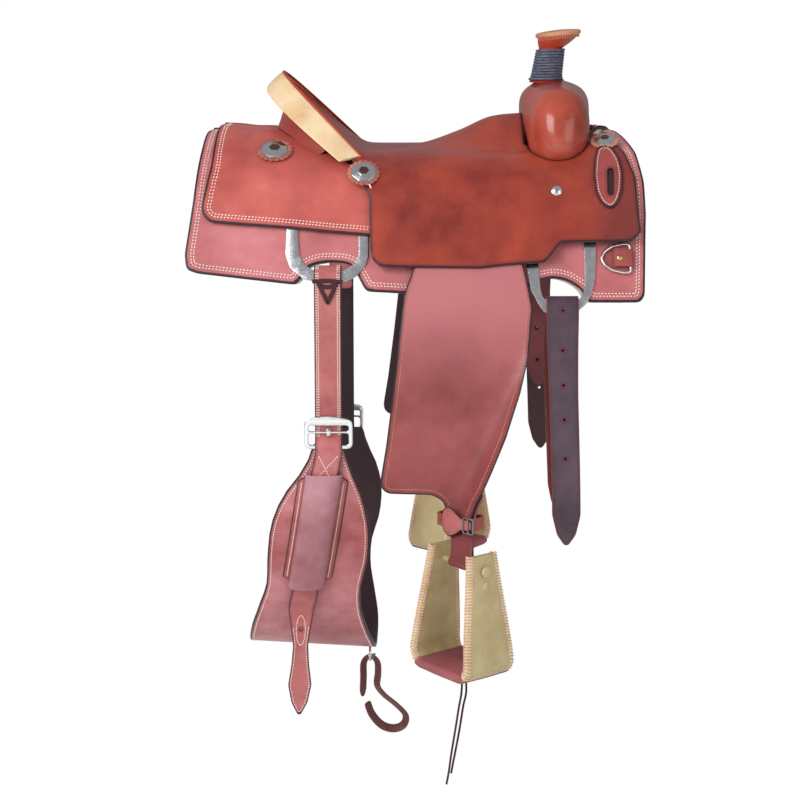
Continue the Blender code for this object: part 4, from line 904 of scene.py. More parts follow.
def painted_edge() -> NodeTree:
    """Band of edge paint and the darker rubbed band beside it."""

    def fill(bench: Bench, given: dict, out: dict) -> None:
        wander = bench.noise(given["Vector"], 90.0, 2.0, 0.5)
        near = bench.math("MULTIPLY_ADD", wander, 0.0012, bench.math("SUBTRACT", given["Distance"], 0.0006))
        band = bench.ramp(near, given["Width"], bench.math("ADD", given["Width"], 0.0007), 1.0, 0.0)
        rubbed = bench.ramp(near, given["Width"], bench.math("ADD", given["Width"], 0.006), 1.0, 0.0)
        bench.put(out["Paint"], band)
        bench.put(out["Rubbed"], rubbed)

    return shared_group("painted_edge", {"Vector": ("Vector", None), "Distance": ("Float", 0.0),
                                         "Width": ("Float", 0.002)}, {"Paint": "Float", "Rubbed": "Float"}, fill)


def seam_groove() -> NodeTree:
    """Groove along a seam at a set distance from the cut edge."""

    def fill(bench: Bench, given: dict, out: dict) -> None:
        off = bench.math("ABSOLUTE", bench.math("SUBTRACT", given["Distance"], given["Inset"]))
        bench.put(out["Groove"], bench.ramp(off, 0.0003, 0.0013, 1.0, 0.0))

    return shared_group("seam_groove", {"Distance": ("Float", 0.0), "Inset": ("Float", 0.006)},
                        {"Groove": "Float"}, fill)


def rubbed_metal() -> NodeTree:
    """Fine scratches and cloudy patches of handled metal."""

    def fill(bench: Bench, given: dict, out: dict) -> None:
        stretched = bench.node("ShaderNodeMapping", {"Vector": given["Vector"], "Scale": (1.0, 0.12, 0.5)})
        scratch = bench.noise(stretched.outputs[0], 900.0, 4.0, 0.7)
        cloud = bench.noise(given["Vector"], 60.0, 3.0, 0.6)
        bench.put(out["Scratch"], scratch)
        bench.put(out["Cloud"], cloud)

    return shared_group("rubbed_metal", {"Vector": ("Vector", None)}, {"Scratch": "Float", "Cloud": "Float"}, fill)


def blank_material(name: str) -> tuple[Material, Bench, Node, NodeSocket]:
    """New material with its bench, its Principled shader and Object coordinates."""
    mat = bpy.data.materials.new(name)
    mat.use_nodes = True
    bench = Bench(mat.node_tree)
    shader = mat.node_tree.nodes["Principled BSDF"]
    return mat, bench, shader, bench.node("ShaderNodeTexCoord").outputs["Object"]


@dataclass(frozen=True)
class Leather:
    """Smooth oiled leather with painted edges."""

    name: str
    colour: Colour
    dark: Colour
    light: Colour
    paint: Colour = srgb(52, 32, 38)
    paint_width: float = 2.0 * MM
    roughness: float = 0.42
    coat: float = 0.25
    pores: float = 900.0
    depth: float = 0.10
    seams: tuple[float, ...] = ()
    has_edge: bool = True
    fade: tuple[str, float, float, Colour] | None = None
    gloss: float = 0.30
    slot: str = "skirt_leather"

    def make(self) -> Material:
        """Lay out the material."""
        mat, bench, shader, spot = blank_material(self.name)
        tone = bench.group(hide_colour(), {"Vector": spot, "Colour": self.colour, "Dark": self.dark,
                                           "Light": self.light})
        grain = bench.group(hide_grain(), {"Vector": spot, "Scale": self.pores, "Swell": 2.0})
        colour = tone.outputs["Colour"]
        height = grain.outputs["Height"]
        # Colour ramp along one axis: on the fender it is painted light, lighter towards the top; on the seat it only
        # darkens the colour towards the front.
        if self.fade:
            axis, start, end, ramp_colour = self.fade
            way = bench.node("ShaderNodeSeparateXYZ", {0: spot}).outputs[axis]
            colour = bench.mix(bench.ramp(way, start, end, 0.0, 0.8), colour, ramp_colour)
        rough = bench.ramp(tone.outputs["Patch"], 0.2, 0.8, self.roughness - 0.05, self.roughness + 0.08)
        if self.has_edge:
            near = bench.node("ShaderNodeAttribute", attribute_name="edge").outputs["Fac"]
            edge = bench.group(painted_edge(), {"Vector": spot, "Distance": near, "Width": self.paint_width})
            colour = bench.mix(bench.math("MULTIPLY", edge.outputs["Rubbed"], 0.45), colour, self.dark)
            for inset in self.seams:
                groove = bench.group(seam_groove(), {"Distance": near, "Inset": inset}).outputs["Groove"]
                # Darken the colour along each seam groove: painted shade in the groove.
                colour = bench.mix(bench.math("MULTIPLY", groove, 0.35), colour, self.dark)
                height = bench.math("MULTIPLY_ADD", groove, -4.0, height)
            colour = bench.mix(edge.outputs["Paint"], colour, self.paint)
        bump = bench.node("ShaderNodeBump", {"Height": height, "Strength": self.depth, "Distance": 0.001})
        bench.put(shader.inputs["Base Color"], colour)
        bench.put(shader.inputs["Roughness"], rough)
        bench.put(shader.inputs["Normal"], bump.outputs[0])
        shader.inputs["Coat Weight"].default_value = self.coat
        shader.inputs["Coat Roughness"].default_value = self.gloss
        shader.inputs["Specular IOR Level"].default_value = 0.30
        return mat


@dataclass(frozen=True)
class Metal:
    """Bright metal with fine handling marks."""

    name: str
    colour: Colour = (0.86, 0.86, 0.87)
    roughness: float = 0.20
    slot: str = "steel"

    def make(self) -> Material:
        """Lay out the material."""
        mat, bench, shader, spot = blank_material(self.name)
        marks = bench.group(rubbed_metal(), {"Vector": spot})
        low = tuple(c * 0.88 for c in self.colour)
        shade = bench.mix(bench.ramp(marks.outputs["Cloud"], 0.2, 0.8), low, self.colour)
        rough = bench.ramp(marks.outputs["Cloud"], 0.3, 0.75, self.roughness - 0.03, self.roughness + 0.05)
        bump = bench.node("ShaderNodeBump", {"Height": marks.outputs["Scratch"], "Strength": 0.02,
                                             "Distance": 0.0001})
        bench.put(shader.inputs["Base Color"], shade)
        bench.put(shader.inputs["Roughness"], rough)
        bench.put(shader.inputs["Normal"], bump.outputs[0])
        shader.inputs["Metallic"].default_value = 1.0
        return mat


@dataclass(frozen=True)
class Rawhide:
    """Dried hide: cloudy tan with faint veins, a little glossy."""

    name: str
    colour: Colour
    dark: Colour
    light: Colour
    roughness: float = 0.40
    depth: float = 0.25
    slot: str = "rawhide"

    def make(self) -> Material:
        """Lay out the material."""
        mat, bench, shader, spot = blank_material(self.name)
        tone = bench.group(hide_colour(), {"Vector": spot, "Colour": self.colour, "Dark": self.dark,
                                           "Light": self.light})
        veins = bench.ramp(bench.cells(spot, 55.0), 0.0, 0.12, 1.0, 0.0)
        colour = bench.mix(bench.math("MULTIPLY", veins, 0.25), tone.outputs["Colour"], self.dark)
        grain = bench.group(hide_grain(), {"Vector": spot, "Scale": 500.0, "Swell": 3.0})
        bump = bench.node("ShaderNodeBump", {"Height": grain.outputs["Height"], "Strength": self.depth,
                                             "Distance": 0.001})
        rough = bench.ramp(tone.outputs["Patch"], 0.2, 0.8, self.roughness - 0.08, self.roughness + 0.10)
        bench.put(shader.inputs["Base Color"], colour)
        bench.put(shader.inputs["Roughness"], rough)
        bench.put(shader.inputs["Normal"], bump.outputs[0])
        shader.inputs["Coat Weight"].default_value = 0.3
        shader.inputs["Coat Roughness"].default_value = 0.25
        return mat


@dataclass(frozen=True)
class Fibre:
    """Fleece, thread, felt and wood: soft or dry stuff with a streaky colour."""

    name: str
    colour: Colour
    dark: Colour
    scale: float = 600.0
    stretch: Triple = (1.0, 1.0, 1.0)
    depth: float = 0.5
    height_mm: float = 0.6
    roughness: float = 0.9
    sheen: float = 0.0
    slot: str = "skirt_leather"

    def make(self) -> Material:
        """Lay out the material."""
        mat, bench, shader, spot = blank_material(self.name)
        drawn = bench.node("ShaderNodeMapping", {"Vector": spot, "Scale": self.stretch}).outputs[0]
        fine = bench.noise(drawn, self.scale, 4.0, 0.65)
        broad = bench.noise(drawn, self.scale * 0.12, 3.0, 0.6)
        both = bench.math("MULTIPLY_ADD", broad, 0.6, bench.math("MULTIPLY", fine, 0.4))
        bump = bench.node("ShaderNodeBump", {"Height": both, "Strength": self.depth,
                                             "Distance": self.height_mm * MM})
        bench.put(shader.inputs["Base Color"], bench.mix(bench.ramp(both, 0.3, 0.7), self.dark, self.colour))
        bench.put(shader.inputs["Roughness"], bench.ramp(fine, 0.2, 0.8, self.roughness - 0.08, self.roughness))
        bench.put(shader.inputs["Normal"], bump.outputs[0])
        shader.inputs["Sheen Weight"].default_value = self.sheen
        return mat


Finish = Leather | Metal | Rawhide | Fibre


class Shop:
    """Makes each finish once, and dresses pieces and ties them to the frame."""

    def __init__(self) -> None:
        """Start with no finish made."""
        self.made: dict[str, Material] = {}

    def paint(self, obj: Object, finish: Finish) -> None:
        """Put a finish on a whole object."""
        if finish.name not in self.made:
            self.made[finish.name] = finish.make()
        obj.data.materials.clear()
        obj.data.materials.append(self.made[finish.name])

    def fit(self, obj: Object, finish: Finish, node: str = "", body: str = "saddle", slot: str = "") -> Object:
        """Dress a piece and tie it to its body.

        Args:
            obj: The piece, at the origin.
            finish: Its finish.
            node: CAD node that it replaces, if any.
            body: Body that it rides on.
            slot: Material slot of the record, where it isn't the finish's own; it is not used.

        Returns:
            The piece.
        """
        self.paint(obj, finish)
        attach(obj, body)
        slot or finish.slot
        if node:
            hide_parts(node)
        LOG.info("%s: %d faces on %s", obj.name, len(obj.data.polygons), body)
        return obj

    def cut(self, name: str, outline: Line, thick: float, place: Place, finish: Finish, node: str = "",
            body: str = "saddle", slot: str = "", **how: object) -> Object:
        """Cut, form and fit a plate; how holds the plate's own settings."""
        return self.fit(Plate(name, outline, thick, place, **how).build(), finish, node, body, slot)

    def skin(self, name: str, rings: Sequence[Sequence[Vector]], finish: Finish, node: str = "",
             body: str = "saddle", slot: str = "", **how: object) -> Object:
        """Skin rings of points and fit the piece."""
        return self.fit(formed_grid(name, rings, **how), finish, node, body, slot)

    def sew(self, name: str, thread: Thread, lines: Iterable[Line], place: Place, top: float,
            where: Test | None = None, finish: Finish | None = None, body: str = "saddle", slot: str = "") -> None:
        """Sew a row of stitches, white unless a finish is given, and tie it to a body."""
        obj = thread.sew(name, lines, place, top, where)
        if obj:
            self.fit(obj, finish or WHITE_THREAD, "", body, slot)


SKIRT_LEATHER = Leather("skirt_leather", srgb(202, 114, 114), srgb(168, 86, 88), srgb(218, 138, 144),
                        seams=(9.5 * MM, 14.0 * MM), paint_width=3.2 * MM, coat=0.12)
JOCKEY_LEATHER = Leather("jockey_leather", srgb(194, 90, 82), srgb(164, 70, 64), srgb(214, 108, 98),
                         seams=(9.5 * MM, 14.0 * MM), roughness=0.38, coat=0.15, paint_width=3.2 * MM)
# The seat's ramp darkens it towards the front.
SEAT_LEATHER = Leather("seat_leather", srgb(156, 58, 46), srgb(116, 38, 34), srgb(184, 76, 52), roughness=0.34,
                       coat=0.30, depth=0.07, paint_width=2.6 * MM, fade=("X", 0.22, 0.32, srgb(118, 52, 50)),
                       gloss=0.22, slot="seat_leather")
SWELL_LEATHER = Leather("swell_leather", srgb(176, 70, 52), srgb(128, 42, 32), srgb(198, 90, 68), roughness=0.30,
                        coat=0.75, depth=0.06, has_edge=False, gloss=0.16, slot="seat_leather")
# The fender's ramp lightens it towards its top: painted light.
FENDER_LEATHER = Leather("fender_leather", srgb(148, 68, 66), srgb(120, 50, 50), srgb(168, 88, 88), roughness=0.38,
                         coat=0.20, seams=(8.0 * MM,), depth=0.12, paint_width=2.4 * MM,
                         fade=("Z", -0.34, -0.16, srgb(200, 122, 126)), slot="fender_leather")
STRAP_LEATHER = Leather("strap_leather", srgb(188, 104, 102), srgb(146, 68, 66), srgb(208, 132, 132), roughness=0.40,
                        coat=0.15, seams=(3.4 * MM,), paint_width=1.2 * MM)
CINCH_LEATHER = Leather("cinch_leather", srgb(190, 108, 108), srgb(150, 72, 72), srgb(214, 146, 152), roughness=0.38,
                        coat=0.15, seams=(6.5 * MM,), paint_width=2.2 * MM, slot="fender_leather")
LATIGO = Leather("latigo_leather", srgb(82, 60, 72), srgb(56, 38, 50), srgb(100, 82, 94), paint=srgb(124, 46, 44),
                 paint_width=1.1 * MM, roughness=0.36, coat=0.2, slot="latigo_leather")
NEAR_LATIGO = Leather("near_latigo_leather", srgb(116, 50, 54), srgb(84, 36, 42), srgb(132, 60, 62),
                      paint=srgb(60, 26, 30), paint_width=0.9 * MM, slot="latigo_leather")
TREAD_LEATHER = Leather("tread_leather", srgb(156, 84, 90), srgb(118, 58, 64), srgb(176, 104, 108), roughness=0.55,
                        coat=0.0, depth=0.5, pores=420.0, has_edge=False, slot="latigo_leather")
THONG_LEATHER = Leather("thong_leather", srgb(64, 34, 38), srgb(44, 24, 28), srgb(84, 46, 46), roughness=0.6,
                        coat=0.0, depth=0.3, has_edge=False, slot="latigo_leather")
HORN_RED = Leather("horn_leather", srgb(186, 62, 42), srgb(134, 38, 28), srgb(204, 84, 56), roughness=0.34,
                   coat=0.2, has_edge=False, slot="horn_leather")
BINDING_HIDE = Rawhide("binding_rawhide", srgb(236, 200, 146), srgb(202, 152, 92), srgb(248, 228, 194))
PAD_HIDE = Rawhide("stirrup_rawhide", srgb(190, 168, 114), srgb(152, 126, 76), srgb(212, 196, 150), depth=0.45)
CAP_HIDE = Rawhide("cap_rawhide", srgb(202, 134, 94), srgb(150, 84, 54), srgb(226, 170, 130))
LACE_HIDE = Rawhide("lacing_rawhide", srgb(234, 192, 156), srgb(196, 138, 100), srgb(246, 220, 192))
KEEPER_LEATHER = Leather("keeper_leather", srgb(158, 68, 64), srgb(118, 46, 44), srgb(178, 88, 84),
                         coat=0.15, paint_width=2.0 * MM, seams=(5.2 * MM,))
CHAPE_LEATHER = Leather("chape_leather", srgb(172, 84, 78), srgb(128, 54, 50), srgb(190, 106, 98), coat=0.12,
                        has_edge=False)
ROSETTE = Leather("rosette_leather", srgb(176, 104, 92), srgb(112, 56, 50), srgb(214, 154, 136), roughness=0.45,
                  coat=0.0, depth=0.2, has_edge=False)
LATIGO_PLAIN = Leather("stirrup_leather", srgb(126, 58, 60), srgb(92, 40, 44), srgb(146, 74, 76), has_edge=False,
                       slot="latigo_leather")
STRAP_PLAIN = Leather("strap_leather_plain", srgb(168, 82, 76), srgb(130, 56, 52), srgb(188, 104, 98), coat=0.12,
                      has_edge=False, slot="fender_leather")
SLEEVE_LEATHER = Leather("sleeve_leather", srgb(180, 120, 126), srgb(142, 82, 88), srgb(200, 148, 158),
                         roughness=0.32, coat=0.3, has_edge=False, slot="fender_leather")
CONNECTOR_LEATHER = Leather("connector_leather", srgb(112, 66, 66), srgb(78, 44, 46), srgb(134, 84, 84),
                            paint=srgb(120, 66, 50), paint_width=0.8 * MM, slot="latigo_leather")
STEEL = Metal("bright_steel")
DARK_STEEL = Metal("dark_steel", (0.28, 0.28, 0.30), 0.32)
CANTLE_BACK = Leather("cantle_back_leather", srgb(166, 66, 56), srgb(128, 44, 40), srgb(186, 84, 66), roughness=0.36,
                      coat=0.30, depth=0.08, has_edge=False)
CONCHO_FACE = Metal("concho_face", (0.26, 0.14, 0.11), 0.28)
BRASS = Metal("brass", (0.72, 0.50, 0.22), 0.28)
WHITE_THREAD = Fibre("white_thread", srgb(254, 248, 240), srgb(236, 222, 208), scale=2200.0, depth=0.3,
                     height_mm=0.15, roughness=0.7)
TAN_THREAD = Fibre("tan_thread", srgb(232, 176, 140), srgb(196, 128, 94), scale=2200.0, depth=0.3,
                   height_mm=0.15, roughness=0.7)
FLEECE = Fibre("sheepskin", srgb(232, 222, 200), srgb(196, 180, 150), scale=330.0, depth=1.0, height_mm=5.0,
               sheen=0.5, slot="fleece")
WOOD = Fibre("tree_wood", srgb(196, 158, 110), srgb(150, 110, 70), scale=120.0, stretch=(0.15, 1.0, 1.0),
             depth=0.3, height_mm=0.3, roughness=0.6)
WRAP = Fibre("horn_wrap_rubber", srgb(112, 116, 136), srgb(56, 58, 76), scale=900.0, stretch=(1.0, 1.0, 3.0),
             depth=0.7, height_mm=0.5, roughness=0.5, slot="rubber_wrap")


@dataclass(frozen=True)
class Studio:
    """White studio: camera, floor, world and soft lights."""

    lens: float = 85.0
    spot: Triple = (-0.05, -3.2, 0.25)
    pitch: float = 78.6
    floor_z: float = -1.02

    def build(self) -> None:
        """Set the camera, the floor, the world and the lights."""
        scene = bpy.context.scene
        camera = bpy.data.objects.new("camera", bpy.data.cameras.new("camera"))
        scene.collection.objects.link(camera)
        camera.data.lens = self.lens
        camera.data.sensor_width = 36.0
        camera.data.clip_end = 60.0
        camera.location = self.spot
        camera.rotation_euler = (radians(self.pitch), 0.0, 0.0)
        scene.camera = camera
        scene.view_settings.view_transform = "Standard"
        self._floor()
        self._world()
        self._light("key", (-2.1, -2.5, 1.5), 2.4, 92.0)
        self._light("fill", (2.2, -2.6, 0.7), 2.4, 26.0)
        self._light("low", (-0.3, -2.6, -0.9), 2.2, 10.0)
        self._light("top", (-0.5, 0.4, 2.4), 2.4, 10.0, False)
        self._light("back", (-0.6, 2.6, 0.6), 2.2, 30.0, False)

    def _floor(self) -> None:
        """Pale floor that is plain white to the camera."""
        bm = bmesh.new()
        bmesh.ops.create_grid(bm, x_segments=1, y_segments=1, size=9.0)
        mesh = bpy.data.meshes.new("floor")
        bm.to_mesh(mesh)
        bm.free()
        floor = bpy.data.objects.new("floor", mesh)
        floor.location.z = self.floor_z
        bpy.context.scene.collection.objects.link(floor)
        mat = bpy.data.materials.new("floor")
        mat.use_nodes = True
        bench = Bench(mat.node_tree)
        shader = mat.node_tree.nodes["Principled BSDF"]
        shader.inputs["Base Color"].default_value = (0.82, 0.82, 0.82, 1.0)
        shader.inputs["Roughness"].default_value = 0.9
        white = bench.node("ShaderNodeEmission", {"Color": (1.0, 1.0, 1.0), "Strength": 1.0})
        mixed = bench.node("ShaderNodeMixShader", {0: bench.node("ShaderNodeLightPath").outputs["Is Camera Ray"],
                                                   1: shader.outputs[0], 2: white.outputs[0]})
        bench.put(mat.node_tree.nodes["Material Output"].inputs["Surface"], mixed.outputs[0])
        mesh.materials.append(mat)

    def _world(self) -> None:
        """Soft sky for light and reflections, plain white to the camera."""
        world = bpy.data.worlds.new("studio")
        bpy.context.scene.world = world
        world.use_nodes = True
        tree = world.node_tree
        bench = Bench(tree)
        way = bench.node("ShaderNodeSeparateXYZ", {0: bench.node("ShaderNodeTexCoord").outputs["Generated"]})
        height = bench.ramp(way.outputs["Z"], -0.6, 0.9)
        tone = bench.mix(height, srgb(150, 148, 148), srgb(206, 208, 212))
        rays = bench.node("ShaderNodeLightPath").outputs
        seen = rays["Is Camera Ray"]
        colour = bench.mix(seen, tone, (1.0, 1.0, 1.0))
        level = bench.math("MULTIPLY_ADD", rays["Is Glossy Ray"], -0.08, 0.55)
        back = tree.nodes["Background"]
        bench.put(back.inputs["Color"], colour)
        bench.put(back.inputs["Strength"], bench.math("MULTIPLY_ADD", seen, 0.45, level))

    def _light(self, name: str, spot: Triple, size: float, power: float,
               mirrored: bool = True) -> None:
        """A square soft light aimed at the saddle's middle."""
        data = bpy.data.lights.new(name, "AREA")
        data.size = size
        data.energy = power
        lamp = bpy.data.objects.new(name, data)
        lamp.location = spot
        lamp.visible_glossy = mirrored
        lamp.rotation_euler = (Vector((-0.02, 0.0, -0.35)) - Vector(spot)).to_track_quat("-Z", "Y").to_euler()
        bpy.context.scene.collection.objects.link(lamp)


@dataclass(frozen=True)
class Skirts:
    """Skirts with sheepskin linings, the rear jockeys and their seams."""

    skirt: Line = mm_line(
        -354.5, -174, -367.8, -132, -371.1, -64, -379.3, 36, -390.1, 127, -387, 152, -369.5, 158.5, -301.7, 166.8,
        -211.8, 177.5, -205.7, 164, -193.5, 147, -178, 141.5, -161.9, 140, -144, 140.5, -127, 144, -117.7, 160,
        -103.4, 188.3, -42.2, 191.6, 44.1, 198.2, 106.8, 201.5, 157.4, 179, 174.8, 169, 193.7, 166, 214, 171,
        234.2, 185, 244.7, 206.4, 327.7, 206.4, 334.4, 194.9, 340.6, 59.6, 337.8, 11.5, 329, -41.1, 303.8, -110,
        290, -128, 150, -135, -150, -135, -240, -140, -270, -174)
    jockey: Line = mm_line(
        -340, -174, -348, -135, -352.4, -18, -365.2, 51, -361.6, 66.5, -348.7, 76.6, -287, 81.7, -222.1, 86.7,
        -160.5, 93.4, -72, 101, -72, 20, -110, -10, -135, -30, -165, -62, -190, -85, -215, -115, -232, -150, -234, -174)
    rows: tuple[float, ...] = (9.5 * MM, 14.0 * MM)

    def build(self, shop: Shop) -> None:
        """Make both sides."""
        for side in Side:
            self._skirt(shop, side)
            self._lining(shop, side)
            self._jockey(shop, side)

    def _seams(self, line: Line) -> list[list[Flat]]:
        """The two rows of stitches inside an outline."""
        return [run for inset in self.rows for run in inside_line(line, inset)]

    def _skirt(self, shop: Shop, side: Side) -> None:
        """The skirt's leather and its two seams."""
        def place(x: float, w: float, h: float) -> Vector:
            return FORM.drape(side.value, x, w, h - FORM.skirt_t + FORM.front_lift(x, w))

        line = softened(self.skirt, 0.009, 0.003)
        shop.cut("skirt_leather_" + side.tag, line, FORM.skirt_t, place, SKIRT_LEATHER, "skirt_" + side.tag,
                 edge=1.9 * MM, cell=0.010)
        shop.sew("skirt_seams_" + side.tag, WIDE_STITCH, self._seams(line), place, FORM.skirt_t,
                 lambda x, w: w > -0.17 and (w > 0.06 or x < -0.34 or x > 0.28))

    def _lining(self, shop: Shop, side: Side) -> None:
        """Sheepskin under the skirt, with a tufted lower face."""
        middle, thick, inset = sum(p[0] for p in self.skirt) / len(self.skirt), FORM.fleece_t, []
        for x, w in self.skirt:
            k = 0.004 / max(0.05, abs(x - middle))
            inset.append((lerp(x, middle, min(0.1, k)), w - (0.004 if w > 0.1 else 0.0)))

        def place(x: float, w: float, h: float) -> Vector:
            tuft = noise.noise(Vector((x * 95.0, w * 95.0, 1.3))) + 0.5 * noise.noise(Vector((x * 210, w * 210, 5.1)))
            lift = FORM.front_lift(x, w) - thick - FORM.skirt_t - 0.3 * MM
            return FORM.drape(side.value, x, w, h + lift + 1.5 * MM * (1.0 - 0.75 * h / thick) * tuft)

        shop.cut("sheepskin_" + side.tag, softened(inset, 0.010, 0.004), thick, place, FLEECE,
                 "skirt_lining_" + side.tag, edge=5.0 * MM, edge_steps=4, cell=0.005)

    def _jockey(self, shop: Shop, side: Side) -> None:
        """The rear jockey's leather and its two seams."""
        def place(x: float, w: float, h: float) -> Vector:
            return FORM.drape(side.value, x, w, FORM.jockey_off(x, w) + h)

        line = softened(self.jockey, 0.007, 0.003)
        shop.cut("rear_jockey_leather_" + side.tag, line, FORM.jockey_t, place, JOCKEY_LEATHER,
                 "rear_jockey_" + side.tag, edge=1.6 * MM)
        shop.sew("rear_jockey_seams_" + side.tag, WIDE_STITCH, self._seams(line), place, FORM.jockey_t,
                 lambda x, w: x < -0.10 and (w > 0.03 or x < -0.33))


@dataclass(frozen=True)
class SeatLeather:
    """Seat with its jockeys and cantle face in one hide, the ground seat and the screws."""

    outline: Line = mm_line(
        -107.1, -2, -107.1, 18.7, -99, 41.4, -97.1, 126.8, -93.9, 141.7, -81.3, 153.3, -50, 154.9, 75.2, 156.6,
        117.5, 151.6, 177.1, 146.7, 188.3, 133.4, 202.9, 113.5, 314.5, 111.8, 329.6, 96.8, 326.8, 66.6, 323.2, 10,
        309, -31.4, 288, -64, 274, -78, 265, -85)
    ground: Line = mm_line(-165, -150, -150, -90, -120, -66, 0, -60, 100, -60, 140, -75, 146, -120)
    screw: Flat = (0.1978, 0.0300)

    @staticmethod
    def place_at(depth: float) -> Place:
        """Forming function whose height 0 lies a depth under the seat's face."""
        def place(x: float, w: float, h: float) -> Vector:
            like = Vector((0.3, -0.5 if w < -FORM.crown_w else 0.5, 0.8))
            return FORM.whole_seat(x, w) + normal_of(FORM.whole_seat, x, w, like) * (h - depth)
        return place

    @staticmethod
    def across(points: Line) -> list[Flat]:
        """The same line on the other side."""
        return [(x, -2 * FORM.crown_w - w) for x, w in reversed(points)]

    def line(self) -> list[Flat]:
        """The seat's whole outline."""
        rear = []
        for y in (0.020, 0.040, 0.060, 0.078, 0.096, 0.112, 0.128, 0.142, 0.155, 0.166):
            x = FORM.rim(y).x + 1.2 * MM
            rear.append((x, FORM.w_at(x, y)))
        half = rear + list(self.outline) + ForkCover().seat_cut()
        whole = [(FORM.rim_top[0] + 1.2 * MM, -FORM.crown_w)] + half + [(0.1530, -FORM.crown_w)] + self.across(half)
        return even(rounded(whole, 0.007), 0.003)

    def build(self, shop: Shop) -> None:
        """Make the seat, the ground seat and both screws."""
        shop.cut("seat_hide", self.line(), FORM.seat_t, self.place_at(FORM.seat_t), SEAT_LEATHER, "seat",
                 edge=1.9 * MM, cell=0.0065)
        ground = [(-0.165, -FORM.crown_w)] + list(self.ground) + [(0.146, -FORM.crown_w)] + self.across(self.ground)
        shop.cut("ground_seat_hide", even(rounded(ground, 0.006), 0.006), 3.0 * MM,
                 self.place_at(FORM.seat_t + 4.3 * MM), STRAP_LEATHER, "ground_seat", edge=1.0 * MM, cell=0.010)
        for side in Side:
            self._screw(shop, side)

    def _screw(self, shop: Shop, side: Side) -> None:
        """A slotted round head in a cup."""
        p, n = seat_spot(side, *self.screw)
        p += n * (0.2 * MM)
        profile = mm_line(0, 0, 8, 0, 8.2, 0.7, 7.2, 1.3, 6.4, 1.2, 6.2, 2, 4.8, 2.8, 2.5, 3.1, 0, 3.2)
        shop.fit(lathe("seat_screw_head_" + side.tag, profile, p, n, 40), STEEL, "seat_screw_" + side.tag)
        # The slot is a dark steel bar laid in the head, not cut into it: painted shade where the slot's recess would be
        # dark.
        run = Vector((1.0, 0.0, 0.35)).cross(n).normalized()
        path = [p + n * ((3.05 - 0.55 * t * t) * MM) + run * (t * 5.2 * MM) for t in (-1, -0.5, 0, 0.5, 1)]
        shop.skin("seat_screw_slot_" + side.tag, carried(path, bar_section(1.3, 0.5, 0.2), n), DARK_STEEL)


@dataclass(frozen=True)
class ForkCover:
    """Leather pulled over the fork and its swells."""

    half: float = 0.172
    round: float = 0.80
    neck_x: float = 0.196
    rows: tuple[tuple[float, ...], ...] = (
        (0.0, 0.151, 0.264, 0.072, 0.1480), (0.045, 0.152, 0.262, 0.060, 0.1460), (0.09, 0.1575, 0.2585, 0.008, 0.1425))
    tip: Flat = (0.2055, 0.060)

    def bounds(self, y: float) -> tuple[float, ...]:
        """Rear, front, low and high bound of the rib at a place across."""
        last = self.rows[-1]
        if y <= last[0]:
            return glide(self.rows, y)
        k = min(1.0, (y - last[0]) / (self.half - last[0]))
        share = max(0.01, (1.0 - k ** 2.3) ** (1.0 / 2.1))
        x, z = self.tip
        return tuple(lerp(mid, end, share) for mid, end in zip((x, x, z, z), last[1:]))

    def _floor(self, x: float, y: float) -> float:
        """Height of what lies under the fork."""
        if y < 0.052:
            wing = FORM.drape(1, x, FORM.w_at(x, 0.056), FORM.bar_top(x, -0.1)).z + FORM.clear
            return lerp(wing, 0.092, math.sqrt(max(0.0, 1.0 - (y / 0.056) ** 2)))
        w = FORM.w_at(x, min(y, 0.16))
        return FORM.drape(1, x, w, FORM.bar_top(x, w) + 2 * FORM.clear).z

    def holds(self, p: Vector, grow: float) -> bool:
        """Whether a point lies inside the swell, grown by a little."""
        x0, x1, z0, z1 = self.bounds(abs(p.y))
        reach = [abs((v - (low + high) / 2) / ((high - low) / 2 + grow)) ** (2.0 / self.round)
                 for v, low, high in ((p.x, x0, x1), (p.z, z0, z1))]
        return abs(p.y) < self.half and sum(reach) < 1.0

    def seat_cut(self) -> list[Flat]:
        """Cut edge of the seat round the swell, from the front ear to the spine."""
        rows = []
        for k in range(31):
            x = lerp(0.2600, 0.1565, 0.5 - 0.5 * cos(pi * k / 30))
            low, high = -0.088, 0.03
            for _ in range(22):
                mid = (low + high) / 2
                low, high = (mid, high) if self.holds(FORM.seat_point(1, x, mid), 0.2 * MM) else (low, mid)
            rows.append((x, low))
        return [(0.2640, rows[0][1] - 0.006)] + rows + [(0.1545, -0.0900)]

    def section(self, y: float, steps: int = 72) -> list[Vector]:
        """One rib of the fork, round from its foot."""
        x0, x1, z0, z1 = self.bounds(abs(y))
        ring = []
        for i in range(steps):
            t = 2 * pi * i / steps - pi / 2
            c, s = cos(t), sin(t)
            x = (x0 + x1) / 2 + (x1 - x0) / 2 * math.copysign(abs(c) ** self.round, c)
            z = (z0 + z1) / 2 + (z1 - z0) / 2 * math.copysign(abs(s) ** self.round, s)
            neck = math.exp(-((x - self.neck_x) / 0.027) ** 2 - (y / 0.026) ** 2)
            z = max(z + 6.5 * MM * neck * max(0.0, s), self._floor(x, abs(y)) + 0.8 * MM)
            ring.append(Vector((x, y, z)))
        return ring

    def build(self, shop: Shop) -> None:
        """Make the cover."""
        rings = [self.section(self.half * sin(radians(90.0 * k / 44))) for k in range(-44, 45)]
        shop.skin("swell_cover", rings, SWELL_LEATHER, "fork_cover", sharp=60.0)


